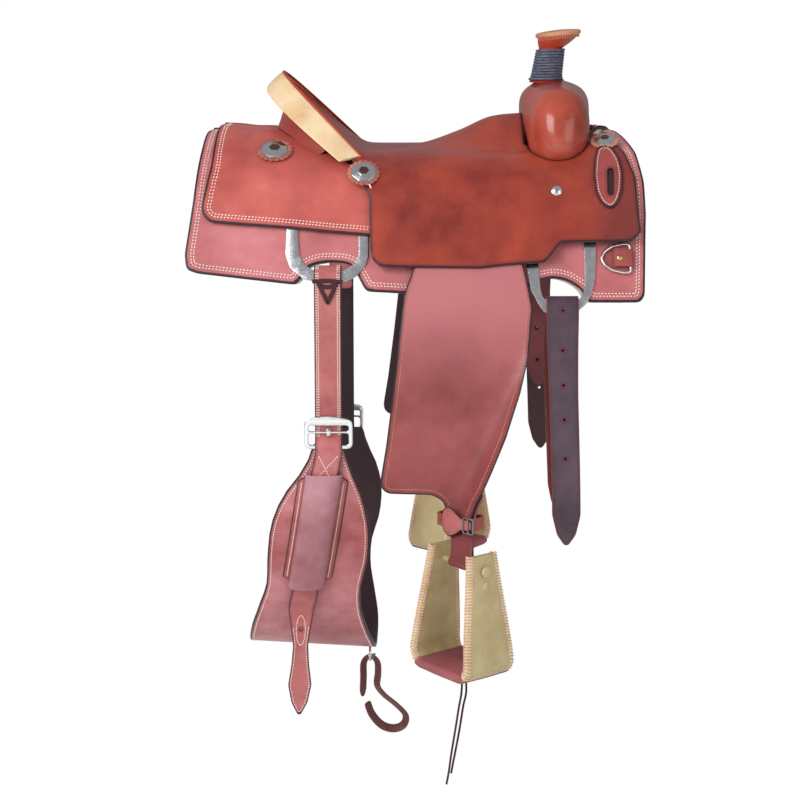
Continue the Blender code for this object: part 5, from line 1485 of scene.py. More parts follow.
@dataclass(frozen=True)
class Cantle:
    """Rawhide-bound rim and the leather on the cantle's back."""

    thick: float = 9.0 * MM
    flare: float = 28.0 * MM
    stations: int = 110
    roll: Line = ((0.25, 0.06), (0.27, 0.01), (0.31, -0.02), (0.40, -0.07), (0.50, -0.10), (0.62, -0.09),
                  (0.76, -0.04), (0.88, 0.05), (0.96, 0.18), (1.0, 0.34), (0.995, 0.50), (0.95, 0.62), (0.88, 0.72),
                  (0.76, 0.82), (0.62, 0.89), (0.50, 0.93), (0.40, 0.965), (0.32, 0.97), (0.27, 0.85), (0.25, 0.50))
    lip: Line = ((0.04, 0.30), (0.00, -0.02), (-0.03, -0.10), (-0.07, -0.10), (-0.10, 0.04), (-0.11, 0.40))

    def build(self, shop: Shop) -> None:
        """Make the binding, its lip, its seam and the back."""
        shop.skin("rawhide_binding", self._rolled(80.0, [(a * 4 / 3 - 1 / 3, b) for a, b in self.roll], 0.25 * MM),
                  BINDING_HIDE, "cantle_binding", sharp=50.0)
        # The lip is a strip along the rim over the seat's edge, made in the brighter horn red: painted light where the
        # top light falls on it.
        shop.skin("cantle_lip", self._rolled(82.0, self.lip, 0.0), HORN_RED, slot="seat_leather", sharp=60.0)

        def place(a: float, y: float, h: float) -> Vector:
            edge, roll, down, thick = self._frame(y)
            return edge + roll * a + down * (thick * -0.02 - h)

        line = even([(0.22, -0.163), (0.22, 0.163)], 0.002, False)
        shop.sew("binding_seam", Thread(3.6, 2.6, 0.9, slant=0.35), [line], place, 0.0, None, TAN_THREAD,
                 slot="rawhide")
        self._back(shop)

    def _frame(self, y: float) -> tuple[Vector, Vector, Vector, float]:
        """Rim point, roll, downward normal and thickness at a place across."""
        h = 0.5 * MM
        roll = FORM.roll(y)
        down = (FORM.rim(y + h) - FORM.rim(y - h)).normalized().cross(roll).normalized()
        if down.z > 0:
            down = -down
        return FORM.rim(y), roll, down, self.thick * (1.0 - 0.45 * (abs(y) / FORM.rim_half) ** 4)

    def _rolled(self, reach: float, shape: Line, wavy: float) -> list[list[Vector]]:
        """Rings of a section in shares of the roll and its thickness, along the rim."""
        rings = []
        for k in range(self.stations + 1):
            y = FORM.rim_half * 0.985 * sin(radians(lerp(-reach, reach, k / self.stations)))
            edge, roll, down, thick = self._frame(y)
            wave = wavy * noise.noise(Vector((y * 60.0, 2.0, 0.0)))
            rings.append([edge + roll * a + down * (thick * b - wave) for a, b in shape])
        return rings

    def _back(self, shop: Shop) -> None:
        """The leather on the cantle's back, as the CAD solid has it but smooth."""
        rings = []
        for k in range(61):
            y = 0.141 * sin(radians(lerp(-90.0, 90.0, k / 60)))
            z1 = FORM.rim(y).z + FORM.roll(y).z * 0.40 - self.thick - 2.0 * MM
            x = FORM.wall_x(y, 0.07) - self.flare
            for _ in range(2):
                w = FORM.w_at(x, min(abs(y), 0.17))
                z0 = FORM.drape(1, x, w, FORM.jockey_off(x, w) + FORM.jockey_t + 1.2 * MM).z
                x = FORM.wall_x(y, z0) - self.flare
            n = Vector((-1.0, 2 * FORM.wall_fall * y / FORM.rim_half ** 2, 0.0)).normalized()
            outer = []
            for t in range(13):
                z = lerp(z0 + 0.4 * MM, z1, t / 12)
                outer.append(Vector((FORM.wall_x(y, z) - self.flare * (1.0 - t / 12) ** 1.6, y, z)))
            rings.append(outer + [p - n * (3.0 * MM) for p in reversed(outer)])
        shop.skin("cantle_back_hide", rings, CANTLE_BACK, "cantle_back", sharp=50.0)


@dataclass(frozen=True)
class Horn:
    """Horn: leather cone, rawhide-rimmed cap and the rubber wrap on its neck."""

    base: Triple = (0.193, 0.0, 0.1466)
    lean: float = radians(8.0)
    neck_r: float = 19.5 * MM
    flare: float = 5.5 * MM
    neck_len: float = 57.0 * MM
    cap_r: float = 37.0 * MM
    cap_tilt: float = radians(6.0)
    wrap_r: float = 2.08 * MM
    turns: int = 11
    laces: int = 52

    @property
    def axis(self) -> Vector:
        """Direction of the neck."""
        return Vector((sin(self.lean), 0.0, cos(self.lean)))

    def radius(self, t: float) -> float:
        """Radius of the bare neck along its length."""
        return self.neck_r + 3.0 * MM * (1 - t) + self.flare * max(0.0, 1 - t / 0.25) ** 2

    def build(self, shop: Shop) -> None:
        """Make the cone, the cap, the wrap and the lacing under the cap."""
        base = Vector(self.base)
        tilt = Vector((-sin(self.cap_tilt), 0.0, cos(self.cap_tilt)))
        ahead = Vector((cos(self.cap_tilt), 0.0, sin(self.cap_tilt)))
        top = base + self.axis * self.neck_len
        cap_mid = top + Vector((12.5 * MM, 0.0, 18.5 * MM))
        self._cone(shop, base, top, cap_mid, ahead)
        profile = mm_line(0, 0, 34.41, 0, 35.705, 0.5, 36.63, 1.5, 37.6, 3, 38, 4.8, 37.4, 6.6, 35.6, 8.1, 33.2, 8.9,
                          30.5, 9.2, 30, 9, 26.64, 9.6, 18.5, 10.4, 9.25, 10.9, 0, 11)
        shop.fit(lathe("cap_rim", profile, cap_mid + tilt * FORM.clear, tilt, 96, 50.0), CAP_HIDE, "horn_cap")
        self._wrap(shop, base)
        self._lacing(shop, cap_mid, ahead, tilt)

    def _cone(self, shop: Shop, base: Vector, top: Vector, cap_mid: Vector, ahead: Vector) -> None:
        """Neck and the cone that widens to the cap."""
        turns = [2 * pi * i / 72 for i in range(72)]
        rings = []
        for k in range(25):
            mid, r = base + self.axis * (self.neck_len * k / 24), self.radius(k / 24)
            ring = [mid + Vector((cos(a), sin(a), 0.0)) * r for a in turns]
            rings.append([Vector((p.x, p.y, base.z)) for p in ring] if k == 0 else ring)
        for k in range(1, 13):
            t = k / 12
            r = lerp(self.neck_r, self.cap_r * 0.90, 1.0 - (1.0 - t) ** 1.35)
            way = ahead.lerp(Vector((1, 0, 0)), 1 - t)
            rings.append([top.lerp(cap_mid, t) + way * (r * cos(a)) + Vector((0, r * sin(a), 0)) for a in turns])
        shop.skin("horn_cone", rings, HORN_RED, "horn", sharp=60.0)

    def _wrap(self, shop: Shop, base: Vector) -> None:
        """Rubber strip wound round the neck."""
        per = 48
        points = []
        for k in range(self.turns * per + 1):
            rise = 3.0 * MM + (self.neck_len - 5.8 * MM) / self.turns * k / per
            r = self.radius(rise / self.neck_len) + self.wrap_r + 0.6 * MM
            a = 2 * pi * k / per
            points.append(base + self.axis * rise + Vector((cos(a) * r, sin(a) * r, 0.0)))
        rings = []
        for before, p, after in zip(points[:1] + points, points, points[1:] + points[-1:]):
            out = (after - before).normalized().cross(self.axis).normalized()
            rings.append([p + out * a + self.axis * (b * 1.12) for a, b in circle(self.wrap_r, 12)])
        shop.skin("horn_wrap_strip", rings, WRAP, "horn_wrap", sharp=60.0)

    def _lacing(self, shop: Shop, cap_mid: Vector, ahead: Vector, tilt: Vector) -> None:
        """Lace stitches where the cap's rim meets the cone."""
        spots = []
        for i in range(self.laces):
            a = 2 * pi * i / self.laces
            out = ahead * cos(a) + Vector((0, sin(a), 0))
            way = (tilt * 0.9 + (ahead * -sin(a) + Vector((0, cos(a), 0))) * 0.45).normalized()
            centre = cap_mid + out * (self.cap_r * 0.925 - 0.1 * MM) - tilt * (1.6 * MM)
            across = out.cross(way).normalized()
            spots.append(stitch_at(centre, way * (5.2 * MM), across * (1.7 * MM), out * (1.3 * MM)))
        shop.fit(repeated("cap_lacing", *template(8, 6), spots), CAP_HIDE)


@dataclass(frozen=True)
class Rigging:
    """Rear and front dees, breast dees with their riveted chapes, and the latigo keepers."""

    rear: Line = mm_line(
        -227.5, 40, -230.5, 128, -223, 151.7, -202.3, 169, -188, 173, -137, 173.5, -119.1, 165.5, -103.4, 145,
        -100.4, 131.7, -100.6, 99.9, -101.5, 40)
    rear_hole: Line = mm_line(
        -213.5, 56, -209.5, 128.4, -201.1, 145, -188.4, 155, -136.5, 156, -120.8, 143, -115, 128.4, -115.5, 56)
    front: Line = mm_line(
        150, 70, 149.8, 146.7, 154.6, 184.8, 166, 209, 175, 224, 200, 227.6, 228.2, 222.5, 242.6, 210, 250.9, 191.4,
        256.2, 168.2, 259.3, 113.3, 260, 70)
    front_hole: Line = mm_line(
        167, 88, 168, 146.7, 170, 185, 174, 204.5, 231, 204.5, 238, 192, 240.5, 176.5, 241, 130, 241, 88)
    keeper: Line = mm_line(
        267.2, -42, 260, -18, 256.5, 9, 259, 33, 269, 52, 282.5, 60.5, 293.5, 50, 301, 30, 303, 6, 299, -18,
        292, -33, 285, -42)
    slot: Line = mm_line(280, 0.5, 287, 0.5, 286.2, 35.4, 279.5, 35.4)
    ring: Line = mm_line(
        312.5, 112, 312.5, 160, 300, 159.5, 283, 155, 272, 147, 266.5, 136, 272, 125, 283, 117, 300, 112.5)
    ring_lift: float = 6.0 * MM

    def build(self, shop: Shop) -> None:
        """Make both sides."""
        for side in Side:
            self._dees(shop, side)
            self._keeper(shop, side)
            n = (FORM.drape(side.value, 0.3, 0.13, 1.0) - FORM.drape(side.value, 0.3, 0.13, 0.0)).normalized()
            path = [FORM.drape(side.value, x, w, self.ring_lift) for x, w in softened(self.ring, 0.007, 0.0016)]
            rings = carried(path, lambda t: circle(2.25 * MM, 16), n, True)
            shop.skin("breast_ring_" + side.tag, rings, STEEL, "breast_dee_" + side.tag, "breast_" + side.tag,
                      looped=True)
            self._chape(shop, side, n)

    def _dees(self, shop: Shop, side: Side) -> None:
        """The flat dees that carry the front and rear billets."""
        def place(x: float, w: float, h: float) -> Vector:
            return FORM.drape(side.value, x, w, FORM.clear + h)

        for part, outline, hole in (("rear_dee_", self.rear, self.rear_hole),
                                    ("front_dee_", self.front, self.front_hole)):
            shop.cut(part + "plate_" + side.tag, softened(outline, 0.012, 0.002), FORM.dee_t, place, STEEL,
                     part + side.tag, holes=(softened(hole, 0.010, 0.002),), edge=1.9 * MM, edge_steps=5, cell=0.012)

    def _keeper(self, shop: Shop, side: Side) -> None:
        """A teardrop of leather with a slot for the latigo, sewn down all round."""
        def place(x: float, w: float, h: float) -> Vector:
            p, n = seat_spot(side, x, w)
            return p + n * (0.9 * MM + h)

        line = softened(self.keeper, 0.020, 0.0015)
        shop.cut("latigo_keeper_hide_" + side.tag, line, 3.1 * MM, place, KEEPER_LEATHER,
                 "latigo_keeper_" + side.tag, holes=(softened(self.slot, 0.002, 0.001),), edge=1.2 * MM, cell=0.006)
        shop.sew("latigo_keeper_seam_" + side.tag, Thread(3.6, 2.9, 1.7), inside_line(line, 5.2 * MM), place, 3.1 * MM)
        # A thin dark sheet under the keeper's slot: painted shade, so that the slot reads dark.
        slot_shade = [(x + (0.0035 if x > 0.283 else -0.0035), w + (0.003 if w > 0.02 else -0.003)) for x, w in self.slot]
        shop.cut("latigo_keeper_backing_" + side.tag, softened(slot_shade, 0.003, 0.001), 1.4 * MM,
                 lambda x, w, h: place(x, w, h - 0.8 * MM), THONG_LEATHER, slot="skirt_leather", edge=0.3 * MM,
                 cell=0.006)

    def _chape(self, shop: Shop, side: Side, n: Vector) -> None:
        """Folded leather round the ring's bar, with a brass rivet."""
        flat, low, mid, bar_r = 1.9 * MM, FORM.clear, self.ring_lift, 2.7 * MM
        outer_r = bar_r + flat
        x0, lip, x1 = 0.2730, 0.2870, 0.3125

        def turn(r: float, start: float, end: float, steps: int) -> list[Flat]:
            angles = [lerp(start, end, k / steps) for k in range(1, steps)]
            return [(x1 + r * sin(a), mid + r * cos(a)) for a in angles]

        profile = [(x0, low), (lip, low), ((lip + x1) / 2, low + 0.4 * MM), (x1, mid - outer_r),
                   *turn(outer_r, pi, 0.0, 16), (x1, mid + outer_r), (lip, mid + outer_r - 0.6 * MM),
                   (lip - 0.4 * MM, mid + outer_r - 1.4 * MM), (lip, mid + bar_r - 0.6 * MM), (x1, mid + bar_r),
                   *turn(bar_r, 0.0, pi, 12), (x1, mid - bar_r), ((lip + x1) / 2, low + flat + 0.3 * MM),
                   (lip, low + flat), (x0 + 0.4 * MM, low + flat)]
        rings = []
        for k in range(9):
            w = lerp(0.1215, 0.1505, k / 8)
            bulge = 0.5 * MM * sin(pi * k / 8)
            rings.append([FORM.drape(side.value, x, w, off) - Vector((bulge if x < 0.28 else 0, 0, 0))
                          for x, off in profile])
        shop.skin("breast_chape_hide_" + side.tag, rings, CHAPE_LEATHER, "breast_chape_" + side.tag, sharp=50.0)
        spot = FORM.drape(side.value, 0.2955, 0.136, mid + outer_r - 0.7 * MM)
        head = mm_line(0, 0, 4.4, 0, 4.6, 0.5, 3.9, 1.2, 2, 1.7, 0, 1.8)
        shop.fit(lathe("breast_rivet_" + side.tag, head, spot, n, 32), BRASS)


@dataclass(frozen=True)
class Conchos:
    """Faceted conchos on scalloped leather rosettes."""

    spots: tuple[tuple[str, float, float, float], ...] = (
        ("rear", -0.2512, -0.0429, 1.42), ("cantle", -0.1075, 0.0040, 1.30), ("front", 0.2800, -0.0560, 1.14))
    rosette_r: float = 20.5 * MM
    metal_r: float = 15.6 * MM
    scallops: int = 18
    rosette: tuple[Triple, ...] = (
        (0.02, 2.2, 0.0), (0.60, 2.2, 0.0), (0.72, 2.3, 0.0), (0.78, 2.9, 0.35), (0.84, 3.0, 0.6), (0.885, 2.4, 0.4),
        (0.93, 2.5, 1.0), (0.975, 2.2, 1.0), (1.0, 1.4, 1.0), (0.99, 0.4, 1.0), (0.90, 0.0, 0.5), (0.02, 0.0, 0.0))

    def build(self, shop: Shop) -> None:
        """Make all six."""
        for side in Side:
            for name, x, w, size in self.spots:
                p, n = seat_spot(side, x, w)
                if name == "rear":
                    p = FORM.drape(side.value, x, w, FORM.jockey_off(x, w) + FORM.jockey_t)
                    n = (FORM.drape(side.value, x, w, 0.1) - FORM.drape(side.value, x, w, 0.0)).normalized()
                p += n * (0.4 * MM)
                tag = name + "_" + side.tag
                self._rosette(shop, tag, p, n, size)
                self._metal(shop, tag, p, n, size)
                if name == "cantle":
                    self._thread_end(shop, tag, p, n)

    def _rosette(self, shop: Shop, tag: str, p: Vector, n: Vector, size: float) -> None:
        """Leather rosette with a beaded ring and scalloped edge."""
        side = n.orthogonal().normalized()
        other = n.cross(side)
        rings = []
        for share, rise, lobed in self.rosette:
            ring = []
            for i in range(self.scallops * 10):
                a = 2 * pi * i / (self.scallops * 10)
                dip = lobed * (1.0 - abs(sin(self.scallops * a / 2)) ** 0.6)
                r = self.rosette_r * size * share * (1.0 - 0.10 * dip)
                ring.append(p + side * (r * cos(a)) + other * (r * sin(a)) + n * ((rise - 0.9 * dip) * MM))
            rings.append(ring)
        shop.skin("rosette_" + tag, rings, ROSETTE, sharp=50.0)

    def _metal(self, shop: Shop, tag: str, p: Vector, n: Vector, size: float) -> None:
        """Eight-sided silver dome with a dark hexagonal face."""
        side = (Vector((1, 0, 0)) - n * n.x).normalized()
        bm = bmesh.new()
        bmesh.ops.create_circle(bm, cap_ends=True, segments=8, radius=self.metal_r * size)
        bmesh.ops.rotate(bm, cent=(0, 0, 0), matrix=Matrix.Rotation(pi / 8, 3, "Z"), verts=bm.verts)
        up = bmesh.ops.extrude_face_region(bm, geom=bm.faces[:], use_keep_orig=True)["geom"]
        bmesh.ops.translate(bm, verts=[g for g in up if isinstance(g, BMVert)], vec=(0, 0, 1.3 * MM))
        face = next(g for g in up if isinstance(g, BMFace))
        for depth, inset in ((0.4 * MM, 0.9 * MM), (2.5 * MM, 6.0 * MM * size), (0.6 * MM, 1.2 * MM)):
            bmesh.ops.inset_region(bm, faces=[face], thickness=inset, use_even_offset=True)
            bmesh.ops.translate(bm, verts=face.verts[:], vec=(0, 0, depth))
        bmesh.ops.recalc_face_normals(bm, faces=bm.faces)
        bmesh.ops.bevel(bm, geom=[e for e in bm.edges if len(e.link_faces) == 2 and e.calc_face_angle() > 0.15],
                        offset=0.25 * MM, offset_type="OFFSET", segments=2, profile=0.5, affect="EDGES", material=-1)
        turn = Matrix((side, n.cross(side), n)).transposed().to_4x4()
        bmesh.ops.transform(bm, matrix=Matrix.Translation(p + n * (2.4 * MM)) @ turn, verts=bm.verts)
        shop.fit(finished_mesh(bm, "concho_metal_" + tag, 25.0), STEEL, "concho_" + tag)
        wide = 6.6 * MM * size
        face = [(0.0, 0.0), (wide, 0.0), (wide - 0.1 * MM, 0.5 * MM), (wide - 0.8 * MM, 0.8 * MM), (0.0, 0.8 * MM)]
        shop.fit(lathe("concho_hexagon_" + tag, face, p + n * (6.95 * MM), n, 6, 20.0), CONCHO_FACE)

    def _thread_end(self, shop: Shop, tag: str, p: Vector, n: Vector) -> None:
        """Short white thong end that hangs from under the rosette."""
        down = Vector((0.25, 0.0, -1.0)).normalized()
        down = (down - n * down.dot(n)).normalized()
        start = p + down * (self.rosette_r * 1.22) + n * (0.9 * MM)
        path = spline([start, start + down * (4 * MM) + n * (0.4 * MM), start + down * (9 * MM) + n * (0.1 * MM)], 5)
        shop.skin("thong_end_" + tag, carried(path, bar_section(2.2, 1.3, 0.5), n), WHITE_THREAD)


def stirrup_axes(side: Side) -> tuple[Vector, Vector]:
    """Tread direction (out and forward) and foot direction."""
    c, s = cos(STIRRUP_TURN), sin(STIRRUP_TURN)
    return Vector((c, side.value * s, 0.0)), Vector((s, -side.value * c, 0.0))


@dataclass(frozen=True)
class Fenders:
    """Fenders, stirrup leathers and the hobble straps round their necks."""

    edge: Line = mm_line(
        -10, 75, -29.6, 156.3, -43.8, 197.6, -54, 285, -62, 356, -72, 435, -81, 490, -80, 502, -70, 511, 0, 513,
        18, 523, 29, 560, 56, 560, 68, 523, 80, 500, 93, 470, 115, 415, 137, 345, 150, 290, 157.3, 218.9, 146, 156.3,
        120, 75)
    leather_edges: tuple[Triple, ...] = (
        (0.018, 0.0220, 0.0850), (0.200, 0.0200, 0.0880), (0.500, 0.0220, 0.0800), (0.560, 0.0310, 0.0650),
        (0.700, 0.0310, 0.0650))
    turn_w: float = 0.560
    bolt: Triple = (0.047, 0.358, -0.584)
    bolt_r: float = 5.0 * MM

    def build(self, shop: Shop) -> None:
        """Make both sides."""
        for side in Side:
            self._fender(shop, side)
            self._leather(shop, side)
            self._hobble(shop, side)

    def _fender(self, shop: Shop, side: Side) -> None:
        """The fender with its single tan seam."""
        def place(x: float, w: float, h: float) -> Vector:
            return FORM.hang(side.value, x, w, FORM.stirrup_leather_t + 6 * FORM.clear + h)

        line, body = softened(self.edge, 0.012, 0.0025), "fender_assembly_" + side.tag
        shop.cut("fender_hide_" + side.tag, line, FORM.fender_t, place, FENDER_LEATHER, "fender_" + side.tag, body,
                 edge=1.9 * MM, cell=0.007)
        shop.sew("fender_seam_" + side.tag, Thread(4.0, 3.0, 1.5), inside_line(line, 8.0 * MM), place, FORM.fender_t,
                 lambda x, w: 0.12 < w < 0.556, TAN_THREAD, body, "fender_leather")

    def leather_point(self, side: Side, x: float, w: float, off: float) -> Vector:
        """The stirrup leather follows the fender, then turns square to the bolt."""
        a, b = stirrup_axes(side)
        hung = FORM.hang(side.value, x, w, off)
        square = Vector((self.bolt[0], side.value * self.bolt[1], hung.z)) + a * ((x - 0.048) * 1.5)
        square -= b * (off - FORM.stirrup_leather_t / 2 - FORM.clear)
        return hung.lerp(square, smooth((w - self.turn_w) / 0.038))

    def _leather(self, shop: Shop, side: Side) -> None:
        """One long strap, doubled, that turns round the stirrup's bolt."""
        half = FORM.stirrup_leather_t / 2
        mid = half + FORM.clear
        outer_r, inner_r = self.bolt_r + FORM.clear + 3.2 * MM, self.bolt_r + FORM.clear + 0.05 * MM
        downs = [lerp(0.018, 0.585, k / 60) for k in range(61)]
        lead = math.asin(half / outer_r)
        stations = [(w, None, half, 0.2 * MM) for w in downs]
        stations += [(0.62, lerp(lead, 2 * pi - lead, k / 24), outer_r, inner_r) for k in range(25)]
        stations += [(w, None, -half, -0.2 * MM) for w in reversed(downs)]
        rings = []
        for w, phi, far, near in stations:
            rear, front = table(self.leather_edges, w)
            span = [lerp(rear + 1.2 * MM, front - 1.2 * MM, k / 8) for k in range(9)]
            row = [(x, 1.0) for x in span] + [(front - 0.4 * MM, 0.85), (front, 0.5), (front - 0.4 * MM, 0.15)]
            row += [(x, 0.0) for x in reversed(span)] + [(rear + 0.5 * MM, 0.15), (rear, 0.5), (rear + 0.5 * MM, 0.85)]
            ring = []
            for x, share in row:
                depth = lerp(near, far, share)
                p = self.leather_point(side, x, w, mid + (depth if phi is None else depth * sin(phi)))
                ring.append(p if phi is None else Vector((p.x, p.y, self.bolt[2] + depth * cos(phi))))
            rings.append(ring)
        shop.skin("stirrup_leather_strap_" + side.tag, rings, LATIGO_PLAIN, "stirrup_leather_" + side.tag,
                  "fender_assembly_" + side.tag, sharp=50.0)

    def _hobble(self, shop: Shop, side: Side) -> None:
        """A buckled strap round the leathers, with a wide round end."""
        body = "fender_assembly_" + side.tag
        p0, p1 = FORM.hang(side.value, 0.028, 0.538, 0.0), FORM.hang(side.value, 0.070, 0.538, 0.0)
        a = p1 - p0
        a.z = 0.0
        half = a.length / 2 + 6.7 * MM
        a.normalize()
        out = Vector((0, side.value, 0))
        out = (out - a * out.dot(a)).normalized()
        low, high, thick, slip = -8.5 * MM, 20.0 * MM, 3.3 * MM, 17.0 * MM
        mid = (p0 + p1) / 2 - Vector((0, 0, 12.0 * MM))
        path = even(rounded([(-half, low), (half, low), (half, high), (-half, high)], 6.0 * MM, 6), 0.002)
        rings = []
        for before, (s, o), after in zip(path[-1:] + path, path, path[1:] + path[:1]):
            run = Vector((after[0] - before[0], after[1] - before[1])).normalized()
            rings.append([mid + a * (s + run.y * u) + out * (o - run.x * u) + Vector((0, 0, z))
                          for z, u in round_band(20.0 * MM, thick, 1.2 * MM)])
        shop.skin("hobble_band_" + side.tag, rings, STRAP_PLAIN, "hobble_strap_" + side.tag, body,
                  looped=True, sharp=50.0)

        def place(s: float, z: float, h: float) -> Vector:
            return mid + a * (s + slip) + out * (high + thick + 0.2 * MM + h) + Vector((0, 0, z))

        end = half - slip + 6 * MM
        outline = [(s - half, z) for s, z in mm_line(-1, -17, -6, 1, -2, 19, 10, 27, 21, 19, 34, 9.6)]
        outline += [(end, 9.6 * MM), (end, -9.6 * MM)]
        outline += [(s - half, z) for s, z in mm_line(34, -9.6, 24, -18, 10, -25)]
        line = softened(outline, 0.010, 0.0015)
        shop.cut("hobble_flap_" + side.tag, line, 3.0 * MM, place, STRAP_LEATHER, "", body, "fender_leather",
                 edge=1.2 * MM, cell=0.01)
        shop.sew("hobble_seam_" + side.tag, Thread(2.8, 2.2, 0.8), inside_line(line, 3.2 * MM), place, 3.0 * MM,
                 None, TAN_THREAD, body, "fender_leather")
        frame = small_buckle("hobble_buckle_" + side.tag,
                             lambda s, z, h: place(end - 8 * MM + s, z, 3.1 * MM + h), 11.0 * MM, 13.5 * MM, 2.2 * MM)
        shop.fit(frame, DARK_STEEL, "", body)


def small_buckle(name: str, place: Place, half_s: float, half_z: float, thick: float) -> Object:
    """A plain rectangular buckle with a centre bar, as one cut plate."""
    rail, bar = 2.4 * MM, 0.9 * MM
    holes = [softened(box(low, -half_z + rail, high, half_z - rail), 1.2 * MM, 0.8 * MM)
             for low, high in ((-half_s + rail, -bar), (bar, half_s - rail))]
    outer = softened(box(-half_s, -half_z, half_s, half_z), 4.0 * MM, 1.0 * MM)
    return Plate(name, outer, thick, place, holes=holes, edge=0.8 * MM, cell=0.02).build()


class Station(NamedTuple):
    """A place along the stirrup's frame."""

    p: Vector
    run: Vector
    out: Vector
    width: float


@dataclass(frozen=True)
class Stirrups:
    """Rawhide-covered stirrups laced along their edges, with leather treads and bolts."""

    spot: Flat = (0.047, 0.358)
    top_z: float = -0.572
    bottom_z: float = -0.757
    half_top: float = 0.046
    half_low: float = 0.066
    pad_t: float = 12.0 * MM
    pad_top: float = 54.0 * MM
    pad_low: float = 94.0 * MM
    bolt_drop: float = 12.0 * MM
    lace_pitch: float = 4.6 * MM
    pad: Line = (
        (-0.5, -0.20), (-0.485, -0.38), (-0.45, -0.47), (-0.25, -0.50), (0.0, -0.50), (0.25, -0.50), (0.45, -0.47),
        (0.485, -0.38), (0.5, -0.20), (0.5, 0.0), (0.5, 0.20), (0.485, 0.38), (0.45, 0.47), (0.25, 0.54), (0.0, 0.56),
        (-0.25, 0.54), (-0.45, 0.47), (-0.485, 0.38), (-0.5, 0.20), (-0.5, 0.0))
    tread: Line = (
        (-0.52, -0.30), (-0.50, -0.56), (-0.45, -0.64), (-0.2, -0.68), (0.2, -0.68), (0.45, -0.64), (0.50, -0.56),
        (0.52, -0.30), (0.52, 0.30), (0.50, 0.54), (0.45, 0.60), (0.0, 0.66), (-0.45, 0.60), (-0.50, 0.54),
        (-0.52, 0.30))

    def build(self, shop: Shop) -> None:
        """Make both stirrups."""
        for side in Side:
            a, b = stirrup_axes(side)
            mid = Vector((self.spot[0], side.value * self.spot[1], 0.0))
            spots = self._spots(a, mid, b)
            self._frame(shop, side, a, b, mid, spots)
            self._lacing(shop, side, b, spots)
            self._bolt(shop, side, a, mid)

    def _route(self) -> list[Triple]:
        """(across, height, pad width) down one side, over the tread and up the other."""
        high, low, wide = self.top_z - self.bottom_z + 0.012, self.half_low, self.pad_low
        rows = []
        for k in range(25):
            t = k / 24
            rows.append((-lerp(self.half_top, low, t), lerp(high, 0.030, t),
                         lerp(self.pad_top, wide, smooth(t) * 0.35 + t * 0.65)))
        for k in range(1, 13):
            a = pi / 2 * k / 12
            rows.append((-low + 0.020 * (1 - cos(a)), 0.030 - 0.0235 * sin(a), wide))
        for k in range(1, 9):
            rows.append((lerp(-low + 0.020, 0.0, k / 8), 0.0065 - 0.0005 * smooth(k / 8), wide))
        return rows + [(-s, h, width) for s, h, width in reversed(rows[:-1])]

    def _spots(self, a: Vector, mid: Vector, b: Vector) -> list[Station]:
        """Stations along the route."""
        route, spots = self._route(), []
        foot = mid + Vector((0, 0, self.bottom_z))
        for before, (s, h, width), after in zip(route[:1] + route, route, route[1:] + route[-1:]):
            run = (a * (after[0] - before[0]) + Vector((0, 0, after[1] - before[1]))).normalized()
            n = run.cross(b).normalized()
            p = foot + a * s + Vector((0, 0, h))
            spots.append(Station(p, run, -n if n.dot(p - foot - Vector((0, 0, 0.09))) < 0 else n, width))
        return spots

    def _frame(self, shop: Shop, side: Side, a: Vector, b: Vector, mid: Vector, spots: list[Station]) -> None:
        """The rawhide-covered frame, a little crowned, and rough leather wrapped round its tread."""
        rings, covers = [], []
        for i, (p, _, n, width) in enumerate(spots):
            wave = 0.35 * MM * noise.noise(Vector((i * 0.35, side.value * 2.0, 0.0)))
            rings.append([p + b * (width * across) + n * (self.pad_t * up + wave) for across, up in self.pad])
            if abs((p - mid).dot(a)) <= self.half_low - 0.010 and p.z <= self.bottom_z + 0.02:
                covers.append([p + b * (width * across) + n * (self.pad_t * up) for across, up in self.tread])
        body = "stirrup_" + side.tag
        shop.skin("stirrup_pad_" + side.tag, rings, PAD_HIDE, "stirrup_frame_" + side.tag, body, sharp=50.0)
        shop.skin("tread_cover_" + side.tag, covers, TREAD_LEATHER, "", body, sharp=50.0)

    def _lacing(self, shop: Shop, side: Side, b: Vector, spots: list[Station]) -> None:
        """Rawhide lace whipped over both edges of each pad."""
        count = next(i for i, s in enumerate(spots) if s.p.z < self.bottom_z + 0.012)
        placed: list[Matrix] = []
        for leg in (spots[:count], spots[len(spots) - count:]):
            run = [(s.p - leg[0].p).length for s in leg]
            for k in range(int(run[-1] / self.lace_pitch) + 1):
                want = k * self.lace_pitch
                i = max(0, min(len(leg) - 2, next((j for j, r in enumerate(run) if r > want), len(run) - 1) - 1))
                t = (want - run[i]) / max(1e-6, run[i + 1] - run[i])
                p, width = leg[i].p.lerp(leg[i + 1].p, t), lerp(leg[i].width, leg[i + 1].width, t)
                for edge in (-b, b):
                    placed += self._lace(p, edge, leg[i].run, leg[i].out, width / 2)
        shop.fit(repeated("stirrup_lacing_" + side.tag, *template(8, 6), placed), LACE_HIDE, "", "stirrup_" + side.tag)

    def _lace(self, p: Vector, edge: Vector, way: Vector, n: Vector, half: float) -> list[Matrix]:
        """One whip of the lace: over both faces and round the edge between them."""
        spots = []
        for up in (-n, n):
            long = (edge + way * 0.35).normalized()
            spots.append(stitch_at(p + edge * (half - 4.0 * MM) + up * (self.pad_t * 0.50), long * (8.6 * MM),
                                   up.cross(long).normalized() * (3.6 * MM), up * (2.2 * MM)))
        long = (n + way * 0.15).normalized()
        spots.append(stitch_at(p + edge * half, long * (self.pad_t * 0.98),
                               edge.cross(long).normalized() * (3.6 * MM), edge * (2.4 * MM)))
        return spots

